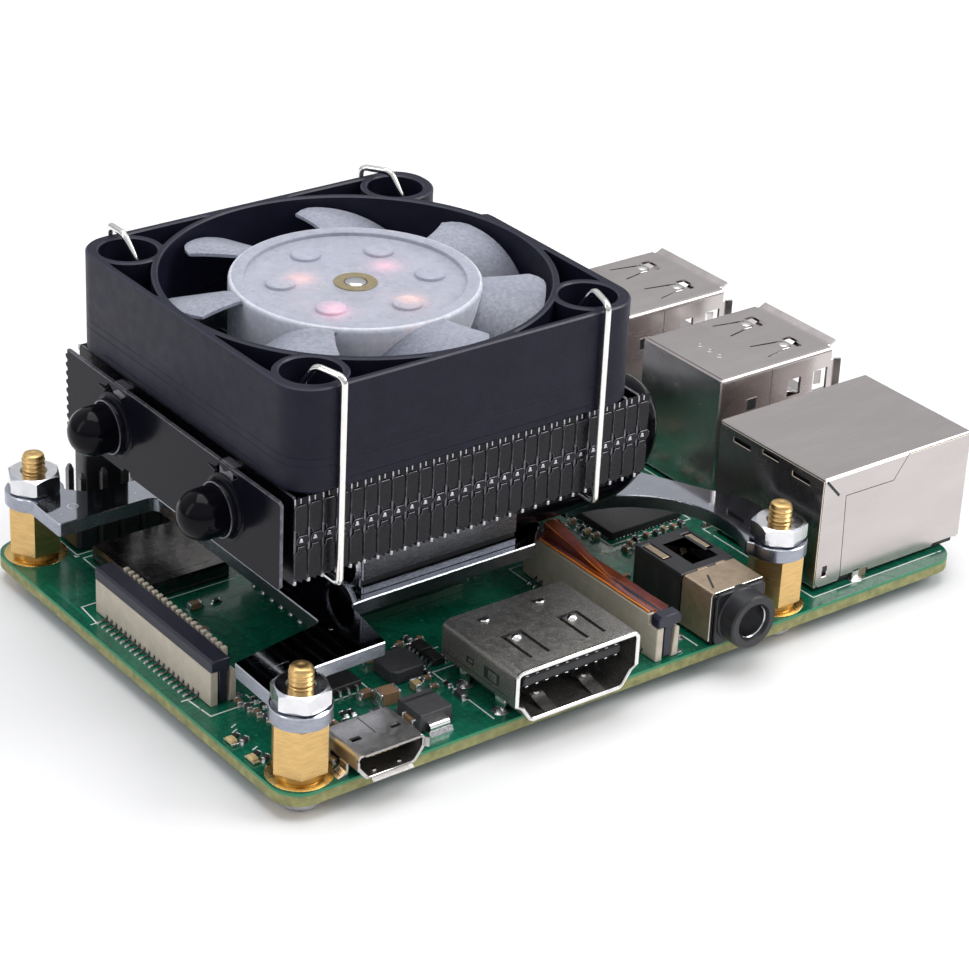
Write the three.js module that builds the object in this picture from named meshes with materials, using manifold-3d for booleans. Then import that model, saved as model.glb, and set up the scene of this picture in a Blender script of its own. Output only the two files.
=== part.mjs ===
// Credit-card single board computer with a low heat-pipe cooler and a 40 mm fan.
// Millimetres, +Z up. The origin is under the middle of the object's outline, on the plane
// of its feet, +X runs toward the stacked sockets (right), +Y toward the pin header (rear).
// Pieces are built from the board's front left corner, with the board's underside at z = 0,
// and put() shifts them into place. A pair such as x0, x1 is the low and high end of a range.
import * as THREE from 'three';
import { mergeVertices } from 'three/addons/utils/BufferGeometryUtils.js';
import Module from 'manifold-3d';

const wasm = await Module();
wasm.setup();

// ---------------------------------------------------------------- board
const BOARD_L = 85;            // along X
const BOARD_W = 56;            // along Y
const BOARD_T = 1.4;
const BOARD_R = 3;             // corner radius
const HOLE_INSET = 3.5;        // first hole centre from both edges
const HOLE_PITCH_X = 58;
const HOLE_PITCH_Y = 49;
const HOLE_R = 1.35;
const GAP = 0.02;              // gap between two faces that touch
const TOP = BOARD_T + GAP;     // seat of a part placed on the board
const PAST = 1;                // how far a cutter runs past the face it opens

// ---------------------------------------------------------------- spacers
const POST_AF = 5;             // hexagon across flats
const POST_TOP = 7.4;          // top of hexagon, underside of bracket
const STUD_R = 1.2;
const STUD_TOP = 13;
const NUT_AF = 5;
const NUT_H = 2;
const SCREW_R = 1.15;
const SCREW_HEAD_R = 2.3;
const SCREW_HEAD_H = 1.6;
const THREAD_GAP = 0.08;       // clearance round studs and screws

// ---------------------------------------------------------------- outline
const LAN_X1 = 87;             // mouth of the network socket, rightmost face
const AUDIO_Y0 = -2.5;         // nose of the sound socket, frontmost face
const MID_X = LAN_X1 / 2;
const MID_Y = (AUDIO_Y0 + BOARD_W) / 2;
const FOOT_Z = -SCREW_HEAD_H;  // the object stands on the screw heads

// ---------------------------------------------------------------- header
const PIN_PITCH = 2.54;
const HEADER_X = 7.1;          // front left corner of the 40-pin header
const HEADER_Y = 49.96;
const HEADER_H = 2.5;          // height of its plastic strip

// ---------------------------------------------------------------- cooler
const COOL_X = 26.8;           // fan and fin centre
const COOL_Y = 29.6;
const SOC_X = 28.6;            // processor and base block centre
const SOC_Y = COOL_Y;
const BRACKET_Z0 = POST_TOP + GAP;
const BRACKET_Z1 = BRACKET_Z0 + 1.5;
const EAR_R = 3;               // round end of each bracket arm
const BLOCK_Z0 = 4.3;          // face that presses on the thermal pad
const BLOCK_Z1 = 14.4;
const BLOCK_HALF_X = 9.4;
const BLOCK_HALF_Y = 13.2;
const BLOCK_FOOT_HALF_Y = 8.4; // lower part, which passes through the bracket
const PIPE_R = 2.5;
const PIPE_DY = 10;            // each pipe this far from the middle
const PIPE_Y = [COOL_Y - PIPE_DY, COOL_Y + PIPE_DY];
const PIPE_LOW = 11.5;         // axis height in the block
const PIPE_HIGH = 21;          // axis height in the fins
const PIPE_BEND_X = 50.4;      // where the U bend starts
const PIPE_TIP_X = 0.6;
const FIN_PITCH = 1.55;
const FIN_N = 27;
const FIN_T = 0.3;
const FIN_X0 = 5.5;            // outer face of end plate
const FIN_Y0 = 10.2;
const FIN_Y1 = 49;
const FIN_Z0 = 16.6;
const FIN_Z1 = 25.6;

// ---------------------------------------------------------------- fan
const FAN_HALF = 20;           // half the frame's side
const FAN_Z0 = 25.7;
const FAN_Z1 = FAN_Z0 + 10.6;
const FAN_R = 3.6;             // corner radius
const FAN_BORE = 19.1;
const FAN_HOLE_D = 16;         // corner hole offset from the middle
const FAN_HOLE_R = 2.9;
const HUB_R = 12.4;
const HUB_TOP = FAN_Z1 - 0.5;
const BLADE_R = 18.5;
const BLADES = 7;
const SHAFT_R = 1;
const BEARING_R = 1.06;
const CLIP_R = 0.38;           // radius of the clip wire

// ---------------------------------------------------------------- solids
function toSolid(geometry) {
  geometry.deleteAttribute('normal');
  geometry.deleteAttribute('uv');
  const merged = mergeVertices(geometry, 1e-5);
  return new wasm.Manifold(new wasm.Mesh({
    numProp: 3,
    vertProperties: merged.attributes.position.array,
    triVerts: Uint32Array.from(merged.index.array),
  }));
}
const join = (body, ...parts) => parts.reduce((sum, part) => sum.add(part), body);
const cut = (body, ...tools) => tools.reduce((rest, tool) => rest.subtract(tool), body);

// Both ends of a range, from its middle.
const around = (middle, half) => [middle - half, middle + half];

function box(x0, x1, y0, y1, z0, z1) {
  const geometry = new THREE.BoxGeometry(x1 - x0, y1 - y0, z1 - z0);
  geometry.translate((x0 + x1) / 2, (y0 + y1) / 2, (z0 + z1) / 2);
  return toSolid(geometry);
}
function cyl(x, y, z0, z1, radius, sides, { topRadius = radius, turn = 0 } = {}) {
  const geometry = new THREE.CylinderGeometry(topRadius, radius, z1 - z0, sides);
  geometry.rotateX(Math.PI / 2);
  geometry.rotateZ(turn);
  geometry.translate(x, y, (z0 + z1) / 2);
  return toSolid(geometry);
}
function cylX(x0, x1, y, z, radius, sides) {
  const geometry = new THREE.CylinderGeometry(radius, radius, x1 - x0, sides);
  geometry.rotateZ(-Math.PI / 2);
  geometry.translate((x0 + x1) / 2, y, z);
  return toSolid(geometry);
}
function cylY(y0, y1, x, z, radius, sides) {
  const geometry = new THREE.CylinderGeometry(radius, radius, y1 - y0, sides);
  geometry.translate(x, (y0 + y1) / 2, z);
  return toSolid(geometry);
}

const toVectors = points => points.map(([x, y]) => new THREE.Vector2(x, y));
function extrude(points, depth, holes = []) {
  const shape = new THREE.Shape(toVectors(points));
  shape.holes = holes.map(hole => new THREE.Path(toVectors(hole)));
  return new THREE.ExtrudeGeometry(shape, { depth, bevelEnabled: false });
}
// Outline in XY, raised from z0 to z1.
function slab(points, z0, z1, holes) {
  return toSolid(extrude(points, z1 - z0, holes).translate(0, 0, z0));
}
// Outline in XZ, carried along Y.
function slabY(points, y0, y1) {
  return toSolid(extrude(points, y1 - y0).rotateX(Math.PI / 2).translate(0, y1, 0));
}
// Outline in YZ, carried along X.
function slabX(points, x0, x1) {
  const geometry = extrude(points, x1 - x0);
  return toSolid(geometry.rotateX(Math.PI / 2).rotateZ(Math.PI / 2).translate(x0, 0, 0));
}
function ring(radius, sides, x = 0, y = 0) {
  return Array.from({ length: sides }, (_, i) => {
    const angle = (i * 2 * Math.PI) / sides;
    return [x + radius * Math.cos(angle), y + radius * Math.sin(angle)];
  });
}
// Block with rounded upright edges, each in the given number of steps.
function roundSlab(x0, x1, y0, y1, z0, z1, radius, steps) {
  const corners = [
    [x1 - radius, y0 + radius],
    [x1 - radius, y1 - radius],
    [x0 + radius, y1 - radius],
    [x0 + radius, y0 + radius],
  ];
  const outline = corners.flatMap(([x, y], quarter) =>
    Array.from({ length: steps + 1 }, (_, i) => {
      const angle = (quarter - 1 + i / steps) * (Math.PI / 2);
      return [x + radius * Math.cos(angle), y + radius * Math.sin(angle)];
    }));
  return (holes = []) => slab(outline, z0, z1, holes);
}
const roundBox = (...sizes) => roundSlab(...sizes)();
// Whole outline from one half, given as [distance from the middle, height].
function symmetric(middle, half) {
  const left = half.map(([distance, z]) => [middle - distance, z]);
  const right = half.map(([distance, z]) => [middle + distance, z]);
  return [...left, ...right.reverse()];
}

// ---------------------------------------------------------------- rods
// A curve through its points in order, one extrusion step to each.
class Chain extends THREE.Curve {
  constructor(points) {
    super();
    this.points = points;
    this.last = points.length - 1;
  }
  getPointAt(u) {
    return this.points[Math.round(u * this.last)].clone();
  }
  getTangentAt(u) {
    const k = Math.round(u * this.last);
    const step = i => this.points[i + 1].clone().sub(this.points[i]).normalize();
    const direction = new THREE.Vector3();
    if (k > 0) direction.add(step(k - 1));
    if (k < this.last) direction.add(step(k));
    return direction.normalize();
  }
}
// Closed round rod along a list of points.
function rod(path, radius, sides) {
  const shape = new THREE.Shape(toVectors(ring(radius, sides)));
  return toSolid(new THREE.ExtrudeGeometry(shape, {
    steps: path.length - 1,
    extrudePath: new Chain(path),
    bevelEnabled: false,
  }));
}
// Round wire along a chain of points; bend is the length each corner's arc takes of a leg.
function wire(points, radius, bend, sides) {
  const nodes = points.map(point => new THREE.Vector3(...point));
  const path = [nodes[0]];
  for (let i = 1; i < nodes.length - 1; i++) {
    const back = nodes[i - 1].clone().sub(nodes[i]);
    const ahead = nodes[i + 1].clone().sub(nodes[i]);
    const reach = Math.min(bend, back.length() * 0.45, ahead.length() * 0.45);
    const start = nodes[i].clone().addScaledVector(back.normalize(), reach);
    const end = nodes[i].clone().addScaledVector(ahead.normalize(), reach);
    path.push(...new THREE.QuadraticBezierCurve3(start, nodes[i], end).getPoints(2));
  }
  path.push(nodes[nodes.length - 1]);
  return rod(path, radius, sides);
}

// ---------------------------------------------------------------- group
const root = new THREE.Group();
root.name = 'single_board_computer';

// Adds a solid as a flat-shaded mesh with a material of its own.
function put(name, solid, finish) {
  const { vertProperties, triVerts } = solid.getMesh();
  const indexed = new THREE.BufferGeometry();
  indexed.setAttribute('position', new THREE.BufferAttribute(vertProperties, 3));
  indexed.setIndex(new THREE.BufferAttribute(triVerts, 1));
  const geometry = indexed.toNonIndexed();
  geometry.translate(-MID_X, -MID_Y, -FOOT_Z);
  geometry.computeVertexNormals();
  const material = new THREE.MeshStandardMaterial({ ...finish, name: name + '_mat' });
  const mesh = new THREE.Mesh(geometry, material);
  mesh.name = name;
  root.add(mesh);
}

// Finishes that several pieces share.
const CHIP = { color: 0x1b1c20, roughness: 0.5 };
const HEADER = { color: 0x17181a, metalness: 0.1, roughness: 0.5 };
const LED = { color: 0xd8c08a, roughness: 0.4 };
const DARK_CORE = { color: 0x1c1d20, roughness: 0.5 };
const SOCKET_BASE = { color: 0xcfc6b6, roughness: 0.55 };
const SOCKET_LATCH = { color: 0x26283a, roughness: 0.45 };

// ---------------------------------------------------------------- board
const HOLES = {
  fl: [HOLE_INSET, HOLE_INSET],
  fr: [HOLE_INSET + HOLE_PITCH_X, HOLE_INSET],
  rl: [HOLE_INSET, HOLE_INSET + HOLE_PITCH_Y],
  rr: [HOLE_INSET + HOLE_PITCH_X, HOLE_INSET + HOLE_PITCH_Y],
};
const board = roundSlab(0, BOARD_L, 0, BOARD_W, 0, BOARD_T, BOARD_R, 4);
put('pcb', board(Object.values(HOLES).map(([x, y]) => ring(HOLE_R, 16, x, y))),
  { color: 0x1d6b45, roughness: 0.5 });

// ---------------------------------------------------------------- chips
{
  const CHIP_H = 0.9;
  const LID_TOP = TOP + 1.85;
  const overSoc = (half, z0, z1, radius, steps) =>
    roundBox(...around(SOC_X, half), ...around(SOC_Y, half), z0, z1, radius, steps);

  put('soc_package', overSoc(7.5, TOP, TOP + CHIP_H, 0.4, 1),
    { color: 0x2c4a38, roughness: 0.5 });
  put('soc_lid', join(
    overSoc(6.6, TOP + CHIP_H + GAP, TOP + 1.35, 0.8, 3),  // flange
    overSoc(5.2, TOP + 1.2, LID_TOP, 0.8, 3),              // raised middle
  ), { color: 0xb9bcc0, metalness: 0.9, roughness: 0.35 });
  put('thermal_pad', overSoc(5.1, LID_TOP + GAP, BLOCK_Z0 - GAP, 0.6, 2),
    { color: 0x8a97a6, roughness: 0.8 });
  put('ram_chip', roundBox(22.4, 34.4, 24.2, 36.2, -1.05, -GAP, 0.3, 1),
    { color: 0x1b1c1f, roughness: 0.5 });
  put('network_chip', roundBox(55.6, 65.2, 22.2, 31.8, TOP, TOP + CHIP_H, 0.3, 1), CHIP);
  put('power_chip', roundBox(12.2, 16.6, 12.4, 16.4, TOP, TOP + CHIP_H, 0.2, 1), CHIP);
  // thin can, open underneath
  put('radio_shield', cut(
    roundBox(7.4, 17.8, 37.4, 48.2, TOP, TOP + 1.7, 0.7, 3),
    roundBox(7.65, 17.55, 37.65, 47.95, TOP - PAST, TOP + 1.45, 0.5, 3),
  ), { color: 0x9b958f, metalness: 0.7, roughness: 0.4 });
}

// ---------------------------------------------------------------- pin headers
// Plastic strip two pins deep, with square pins.
function pinHeader(x0, y0, columns, stripHeight, pinHeight) {
  const PIN_HALF = 0.32;
  const pins = [];
  for (let i = 0; i < columns; i++) {
    for (let j = 0; j < 2; j++) {
      pins.push(box(
        ...around(x0 + (i + 0.5) * PIN_PITCH, PIN_HALF),
        ...around(y0 + (j + 0.5) * PIN_PITCH, PIN_HALF),
        TOP + 1, TOP + pinHeight));
    }
  }
  const strip = box(
    x0, x0 + columns * PIN_PITCH, y0, y0 + 2 * PIN_PITCH, TOP, TOP + stripHeight);
  return join(strip, ...pins);
}
put('gpio_header', pinHeader(HEADER_X, HEADER_Y, 20, HEADER_H, 8.3), HEADER);
put('poe_header', pinHeader(54, 43.5, 2, 2.4, 8.1), HEADER);

// ---------------------------------------------------------------- stacked serial sockets
function usbSocket(tag, cy) {
  const x0 = 69.7;
  const x1 = 86;                 // mouth
  const z0 = TOP + 0.3;
  const z1 = 16.5;
  const HALF_W = 6.55;
  const INNER_HALF_W = HALF_W - 0.35;
  const MOUTHS = [[TOP + 1.35, TOP + 6.55], [z1 - 6.05, z1 - 0.4]];  // z ranges
  // one tongue in each mouth, grown by slack where it passes through the wall
  const tongues = (tongueX0, tongueX1, slack) => MOUTHS.map(([z]) =>
    box(tongueX0, tongueX1, ...around(cy, 4.6 + slack), z + 2.4 - slack, z + 4.1 + slack));

  // flared lips round the mouth: roof in XZ, sides in XY
  const roofLip = slabY([
    [x1 - 0.9, z0], [x1 - 0.9, z1], [x1 - 0.1, z1], [x1 + 0.9, z1 + 0.45],
    [x1 + 0.9, z1 + 0.2], [x1 + 0.05, z1 - 0.3], [x1 + 0.05, z0],
  ], ...around(cy, HALF_W - 0.3));
  const sideLips = [-1, 1].map(side => slab([
    [x1 - 0.9, HALF_W - 0.3], [x1 - 0.9, HALF_W], [x1 - 0.1, HALF_W],
    [x1 + 0.9, HALF_W + 0.42], [x1 + 0.9, HALF_W + 0.15], [x1 + 0.05, HALF_W - 0.3],
  ].map(([x, y]) => [x, cy + side * y]), TOP + 1.4, z1 - 0.5));

  const shell = cut(
    join(box(x0, x1, ...around(cy, HALF_W), z0, z1), roofLip, ...sideLips),
    ...MOUTHS.map(([low, high]) =>
      box(x0 + 6.6, x1 + 3, ...around(cy, INNER_HALF_W), low, high)),
    // rear pocket for the core, open underneath
    box(x0 + 0.35, x0 + 6.2, ...around(cy, INNER_HALF_W), z0 - PAST, z1 - 0.4),
    // windows in the roof and sides
    ...[-3.1, 3.1].map(offset =>
      box(x1 - 7.2, x1 - 3.4, ...around(cy + offset, 0.9), z1 - 0.8, z1 + PAST)),
    ...[-HALF_W, HALF_W].map(offset =>
      box(x1 - 6.4, x1 - 4.6, ...around(cy + offset, 0.6), z1 - 4, z1 - 2.4)),
    ...tongues(x0 + 5.9, x0 + 6.9, 0.1),
  );
  put('usb_shell_' + tag, shell, { color: 0xb8b4b0, metalness: 0.85, roughness: 0.35 });

  const coreBlock = box(x0 + 0.5, x0 + 6.05, ...around(cy, HALF_W - 0.5), z0 + 0.2, z1 - 0.55);
  put('usb_core_' + tag, join(coreBlock, ...tongues(x0 + 6, x1 - 1.2, 0)),
    { color: 0x1f2023, roughness: 0.5 });
}
usbSocket('a', 29);
usbSocket('b', 47);

// ---------------------------------------------------------------- network socket
{
  const x0 = 66.2;
  const x1 = LAN_X1;
  const y0 = 2.3;
  const y1 = 18.4;
  const z0 = TOP + 0.5;
  const z1 = 14.6;
  const WALL = 0.35;
  const cy = (y0 + y1) / 2;

  const openShell = cut(
    box(x0, x1, y0, y1, z0, z1),
    box(x0 + WALL, x1 + PAST, y0 + WALL, y1 - WALL, z0 - PAST, z1 - WALL),
    // two windows in each side wall, then two in the left wall
    ...[y0, y1].flatMap(y => [
      box(x1 - 6.5, x1 - 4.5, ...around(y, 0.6), z0 + 6, z0 + 8),
      box(x0 + 3, x0 + 5, ...around(y, 0.6), z0 + 5, z0 + 6.2),
    ]),
    ...[y0 + 4, y1 - 4].map(y =>
      box(...around(x0, 0.6), ...around(y, 1), z0 + 8.5, z0 + 9.6)),
  );
  const shell = join(
    openShell,
    // face plate strips beside and above the mouth
    box(x1 - WALL, x1, y0 + 0.2, y0 + 1.4, z0, z1 - 0.1),
    box(x1 - WALL, x1, y1 - 1.4, y1 - 0.2, z0, z1 - 0.1),
    box(x1 - WALL, x1, y0 + 0.2, y1 - 0.2, z1 - 1.3, z1 - 0.1),
  );
  put('lan_shell', shell, { color: 0xb9b5b2, metalness: 0.85, roughness: 0.35 });

  const hollowCore = cut(
    box(x0 + 0.5, x1 - 0.5, y0 + 0.5, y1 - 0.5, TOP, z1 - 0.5),
    // mouth, and the narrower notch below it
    box(x0 + 8, x1 + PAST, ...around(cy, 5.9), TOP + 2.6, TOP + 9.4),
    box(x0 + 8, x1 + PAST, ...around(cy, 3.1), TOP + 0.9, TOP + 3),
  );
  const bar = box(x0 + 7.5, x1 - 3.5, ...around(cy, 4.6), TOP + 8.1, TOP + 9.6);
  put('lan_core', join(hollowCore, bar), DARK_CORE);
}

// ---------------------------------------------------------------- video socket
{
  const cx = 32;
  const y0 = -1.5;               // mouth
  const y1 = 10.4;
  const z0 = TOP + 0.05;
  const z1 = 7.4;
  const WALL = 0.35;
  const outline = (inset, lift) => symmetric(cx, [
    [7.5 - inset, z1 - inset],
    [7.5 - inset, z0 + 2.1 + lift],
    [6.7 - inset, z0 + 1.8 + lift],
    [5.6 - inset * 0.6, z0 + inset],
  ]);
  // three slits in the roof, which leave a tab between them
  const tabSlits = x => [
    box(x - 1.25, x - 0.85, y0 + 1.8, y0 + 6.4, z1 - 0.6, z1 + 0.5),
    box(x + 0.85, x + 1.25, y0 + 1.8, y0 + 6.4, z1 - 0.6, z1 + 0.5),
    box(x - 1.25, x + 1.25, y0 + 6, y0 + 6.4, z1 - 0.6, z1 + 0.5),
  ];
  put('video_shell', cut(
    slabY(outline(0, 0), y0, y1),
    slabY(outline(WALL, 0.12), y0 - PAST, y1 - WALL),
    ...tabSlits(cx - 3.4),
    ...tabSlits(cx + 3.4),
  ), { color: 0x8f8d8c, metalness: 0.8, roughness: 0.45 });
  put('video_core', join(
    box(...around(cx, 7.05), y1 - 4.4, y1 - 0.45, z0 + 2.7, z1 - 0.45),
    box(...around(cx, 5.9), y0 + 1, y1 - 4, z1 - 2.55, z1 - 1.45),  // tongue
  ), { color: 0x202126, roughness: 0.5 });
}

// ---------------------------------------------------------------- supply socket
{
  const cx = 10.6;
  const y0 = -1;                 // mouth
  const y1 = 4.7;
  const z0 = TOP + 0.02;
  const z1 = 4.25;
  const outline = inset => symmetric(cx, [
    [3.75 - inset, z1 - inset],
    [3.75 - inset, z0 + 1.4],
    [2.9 - inset * 0.7, z0 + inset],
  ]);
  const tube = cut(slabY(outline(0), y0, y1), slabY(outline(0.25), y0 - PAST, y1 - 0.3));
  const lip = box(...around(cx, 4), y0 - 0.5, y0 + 0.05, z1 - 0.22, z1 + 0.12);
  put('power_port_shell', cut(
    join(tube, lip),
    ...[-2.2, 2.2].map(offset =>
      box(...around(cx + offset, 0.5), y0 + 2.4, y0 + 3.4, ...around(z1, 0.5))),
  ), { color: 0xc4c2c0, metalness: 0.9, roughness: 0.3 });
  put('power_port_core', join(
    box(...around(cx, 3.3), y1 - 1.8, y1 - 0.35, z0 + 1.5, z1 - 0.3),
    box(...around(cx, 1.9), y0 + 0.9, y1 - 1.5, z1 - 1.15, z1 - 0.6),  // tongue
  ), { color: 0x1d1e22, roughness: 0.5 });
}

// ---------------------------------------------------------------- sound socket
{
  const cx = 53.5;
  const [x0, x1] = around(cx, 3.5);
  const z1 = 7.3;
  const AXIS_Z = 4.3;
  const body = cut(
    join(box(x0, x1, 0, 12.4, TOP, z1), cylY(AUDIO_Y0, 0.5, cx, AXIS_Z, 2.9, 24)),
    cylY(AUDIO_Y0 - 0.5, 10.5, cx, AXIS_Z, 1.8, 24),
    // steps in the left side and top for the clip
    box(x0 - PAST, x0 + 0.3, -PAST, 4.8, TOP - PAST, z1 + PAST),
    box(x0 - PAST, x1 - 0.2, 0.1, 4.8, z1 - 0.25, z1 + PAST),
    // pocket in the top
    box(cx - 1, cx + 2.2, 6.1, 10.6, z1 - 1.4, z1 + PAST),
  );
  put('audio_body', body, { color: 0x1e1f23, roughness: 0.45 });
  // folded sheet clip over the left side and top
  put('audio_clip', join(
    box(x0 + 0.02, x0 + 0.27, 0.1, 4.7, TOP + 0.4, z1 - 0.02),
    box(x0 + 0.02, x1 - 0.5, 0.2, 4.7, z1 - 0.22, z1 - 0.02),
  ), { color: 0xb39a78, metalness: 0.8, roughness: 0.35 });
}

// ---------------------------------------------------------------- flat-cable sockets
const CABLE_SOCKET_TOP = TOP + 4.7;
// Base of long walls, floor and end posts, and a latch bar with two legs. A latch with a
// top bar covers the left wall; one without has a cap at each end instead.
function flatSocket(tag, x0, y0, y1, topBar) {
  const DEPTH = 2.9;             // along X
  const wallTop = TOP + 3.7;
  const z1 = CABLE_SOCKET_TOP;
  // x is measured from the socket's left face
  const part = (from, to, ...rest) => box(x0 + from, x0 + to, ...rest);

  const base = [
    part(0, 0.85, y0, y1, TOP, wallTop),                                             // left wall
    part(0, DEPTH, y0 + 1, y1 - 1, TOP, TOP + 1.3),                                  // floor
    part(2.3, DEPTH, y0 + 1.6, y1 - 1.6, TOP, topBar ? z1 + 0.35 : z1 - 0.5),        // right wall
    ...[y0, y1 - 1.05].map(y => part(2.05, DEPTH, y, y + 1.05, TOP, wallTop - 0.3)), // end posts
  ];
  if (!topBar) base.push(part(0, 0.85, y0 + 1.4, y1 - 1.4, wallTop - 0.1, z1));
  put(tag + '_base', join(...base), SOCKET_BASE);

  const latch = [part(1.35, 2.1, y0 + 0.1, y1 - 0.1, z1 - 1.4, z1 - 0.2)];
  if (topBar) latch.push(part(0.05, 2.1, y0 - 0.15, y1 + 0.15, wallTop + 0.05, z1 + 0.3));
  // start of the leg, then both ends of the cap, along Y
  const ends = [
    [y0, y0 - 0.15, y0 + 1.15],
    [y1 - 0.85, y1 - 1.25, y1 + 0.15],
  ];
  for (const [legY, capY0, capY1] of ends) {
    latch.push(part(1, 1.9, legY, legY + 0.85, TOP + 0.3, z1));
    if (!topBar) latch.push(part(0.05, DEPTH + 0.05, capY0, capY1, wallTop + 0.05, z1 + 0.35));
  }
  put(tag + '_latch', join(...latch), SOCKET_LATCH);
}
const CAMERA_X = 43.5;
flatSocket('camera', CAMERA_X, 0.6, 22, false);
flatSocket('display', 2.5, 17.2, 38.6, true);
// film standing in the camera socket's cable slot, outline in YZ
put('camera_film', slabX([
  [2.2, TOP + 1.6], [20.4, TOP + 1.6],
  [20.2, CABLE_SOCKET_TOP + 2.3], [17.5, CABLE_SOCKET_TOP + 2.3],
  [9.5, CABLE_SOCKET_TOP + 0.25], [2.2, CABLE_SOCKET_TOP + 0.2],
], CAMERA_X + 1.02, CAMERA_X + 1.2), { color: 0xa5602a, roughness: 0.35 });

// ---------------------------------------------------------------- memory card socket, underside
{
  const x0 = 1.8;                // mouth
  const x1 = 15.1;
  const y0 = 22;
  const y1 = 34;
  const z0 = -1.45;
  const z1 = -GAP;
  put('card_shell', cut(
    box(x0, x1, y0, y1, z0, z1),
    box(x0 - PAST, x1 - 0.25, y0 + 0.3, y1 - 0.3, z0 + 0.2, z1 + PAST),
    // notch at the mouth and two windows in the sheet
    box(x0 - PAST, x0 + 2.2, y0 + 3.4, y1 - 3.4, z0 - PAST, z0 + 0.5),
    box(x0 + 6, x0 + 8.5, y0 + 2, y0 + 2.9, z0 - PAST, z0 + 0.5),
    box(x0 + 6, x0 + 8.5, y1 - 2.9, y1 - 2, z0 - PAST, z0 + 0.5),
  ), { color: 0xc6c4c2, metalness: 0.9, roughness: 0.3 });
  put('card_core', join(
    box(x1 - 4.6, x1 - 0.4, y0 + 0.45, y1 - 0.45, z0 + 0.3, z1 - GAP),
    box(x0 + 3, x1 - 4.4, y0 + 0.45, y1 - 0.45, z1 - 0.3, z1 - GAP),
  ), DARK_CORE);
}

// ---------------------------------------------------------------- small parts
put('led_power', roundBox(0.5, 1.3, 6.6, 8.2, TOP, TOP + 0.6, 0.1, 1), LED);
put('led_activity', roundBox(0.5, 1.3, 10.2, 11.8, TOP, TOP + 0.6, 0.1, 1), LED);
put('inductor', roundBox(19.2, 23.2, 10.8, 14.8, TOP, TOP + 1.5, 0.9, 3),
  { color: 0x35373b, metalness: 0.1, roughness: 0.6 });
{
  const body = slabY(
    [[16.3, TOP + 0.15], [20.3, TOP + 0.15], [20.1, TOP + 2], [16.5, TOP + 2]], 2.6, 6.3);
  // folded leads, front and rear: y ranges of foot, upright and upper tab
  const LEADS = [
    [[1.7, 2.8], [1.75, 2], [1.75, 2.8]],
    [[6.1, 7.2], [6.9, 7.15], [6.1, 7.15]],
  ];
  const strip = (yRange, low, high) => box(17.1, 19.5, ...yRange, TOP + low, TOP + high);
  const leads = LEADS.flatMap(([foot, upright, tab]) =>
    [strip(foot, 0, 0.25), strip(upright, 0, 1.1), strip(tab, 0.9, 1.1)]);
  put('diode', join(body, ...leads), { color: 0x2a2b2f, metalness: 0.1, roughness: 0.5 });
}

// ---------------------------------------------------------------- spacers, nuts, screws
const hexRadius = acrossFlats => acrossFlats / Math.sqrt(3);

function standoff(x, y) {
  const body = join(
    cyl(x, y, TOP, POST_TOP, hexRadius(POST_AF), 6, { turn: Math.PI / 6 }),
    cyl(x, y, POST_TOP - 0.5, STUD_TOP - 0.5, STUD_R, 12),
    cyl(x, y, STUD_TOP - 0.5, STUD_TOP, STUD_R, 12, { topRadius: STUD_R * 0.62 }),
  );
  return cut(body, cyl(x, y, TOP - PAST, TOP + 3.4, SCREW_R + THREAD_GAP, 12));
}
function nut(x, y) {
  return cut(
    cyl(x, y, BRACKET_Z1 + GAP, BRACKET_Z1 + NUT_H, hexRadius(NUT_AF), 6, { turn: 0.2 }),
    cyl(x, y, BRACKET_Z1 - PAST, BRACKET_Z1 + NUT_H + PAST, STUD_R + THREAD_GAP, 12),
  );
}
// Screw from below with a cross slot in its head.
function screw(x, y) {
  const slotZ = [FOOT_Z - PAST, FOOT_Z + 0.7];
  return cut(
    join(
      cyl(x, y, FOOT_Z, -GAP, SCREW_HEAD_R, 16),
      cyl(x, y, -0.5, TOP + 3, SCREW_R, 12),
    ),
    box(...around(x, 1.3), ...around(y, 0.3), ...slotZ),
    box(...around(x, 0.3), ...around(y, 1.3), ...slotZ),
  );
}
for (const [tag, [x, y]] of Object.entries(HOLES)) {
  put('standoff_' + tag, standoff(x, y), { color: 0xc9a861, metalness: 0.9, roughness: 0.3 });
  put('nut_' + tag, nut(x, y), { color: 0xc9cacc, metalness: 0.95, roughness: 0.2 });
  put('screw_' + tag, screw(x, y), { color: 0xb9bbbe, metalness: 0.9, roughness: 0.3 });
}

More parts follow.
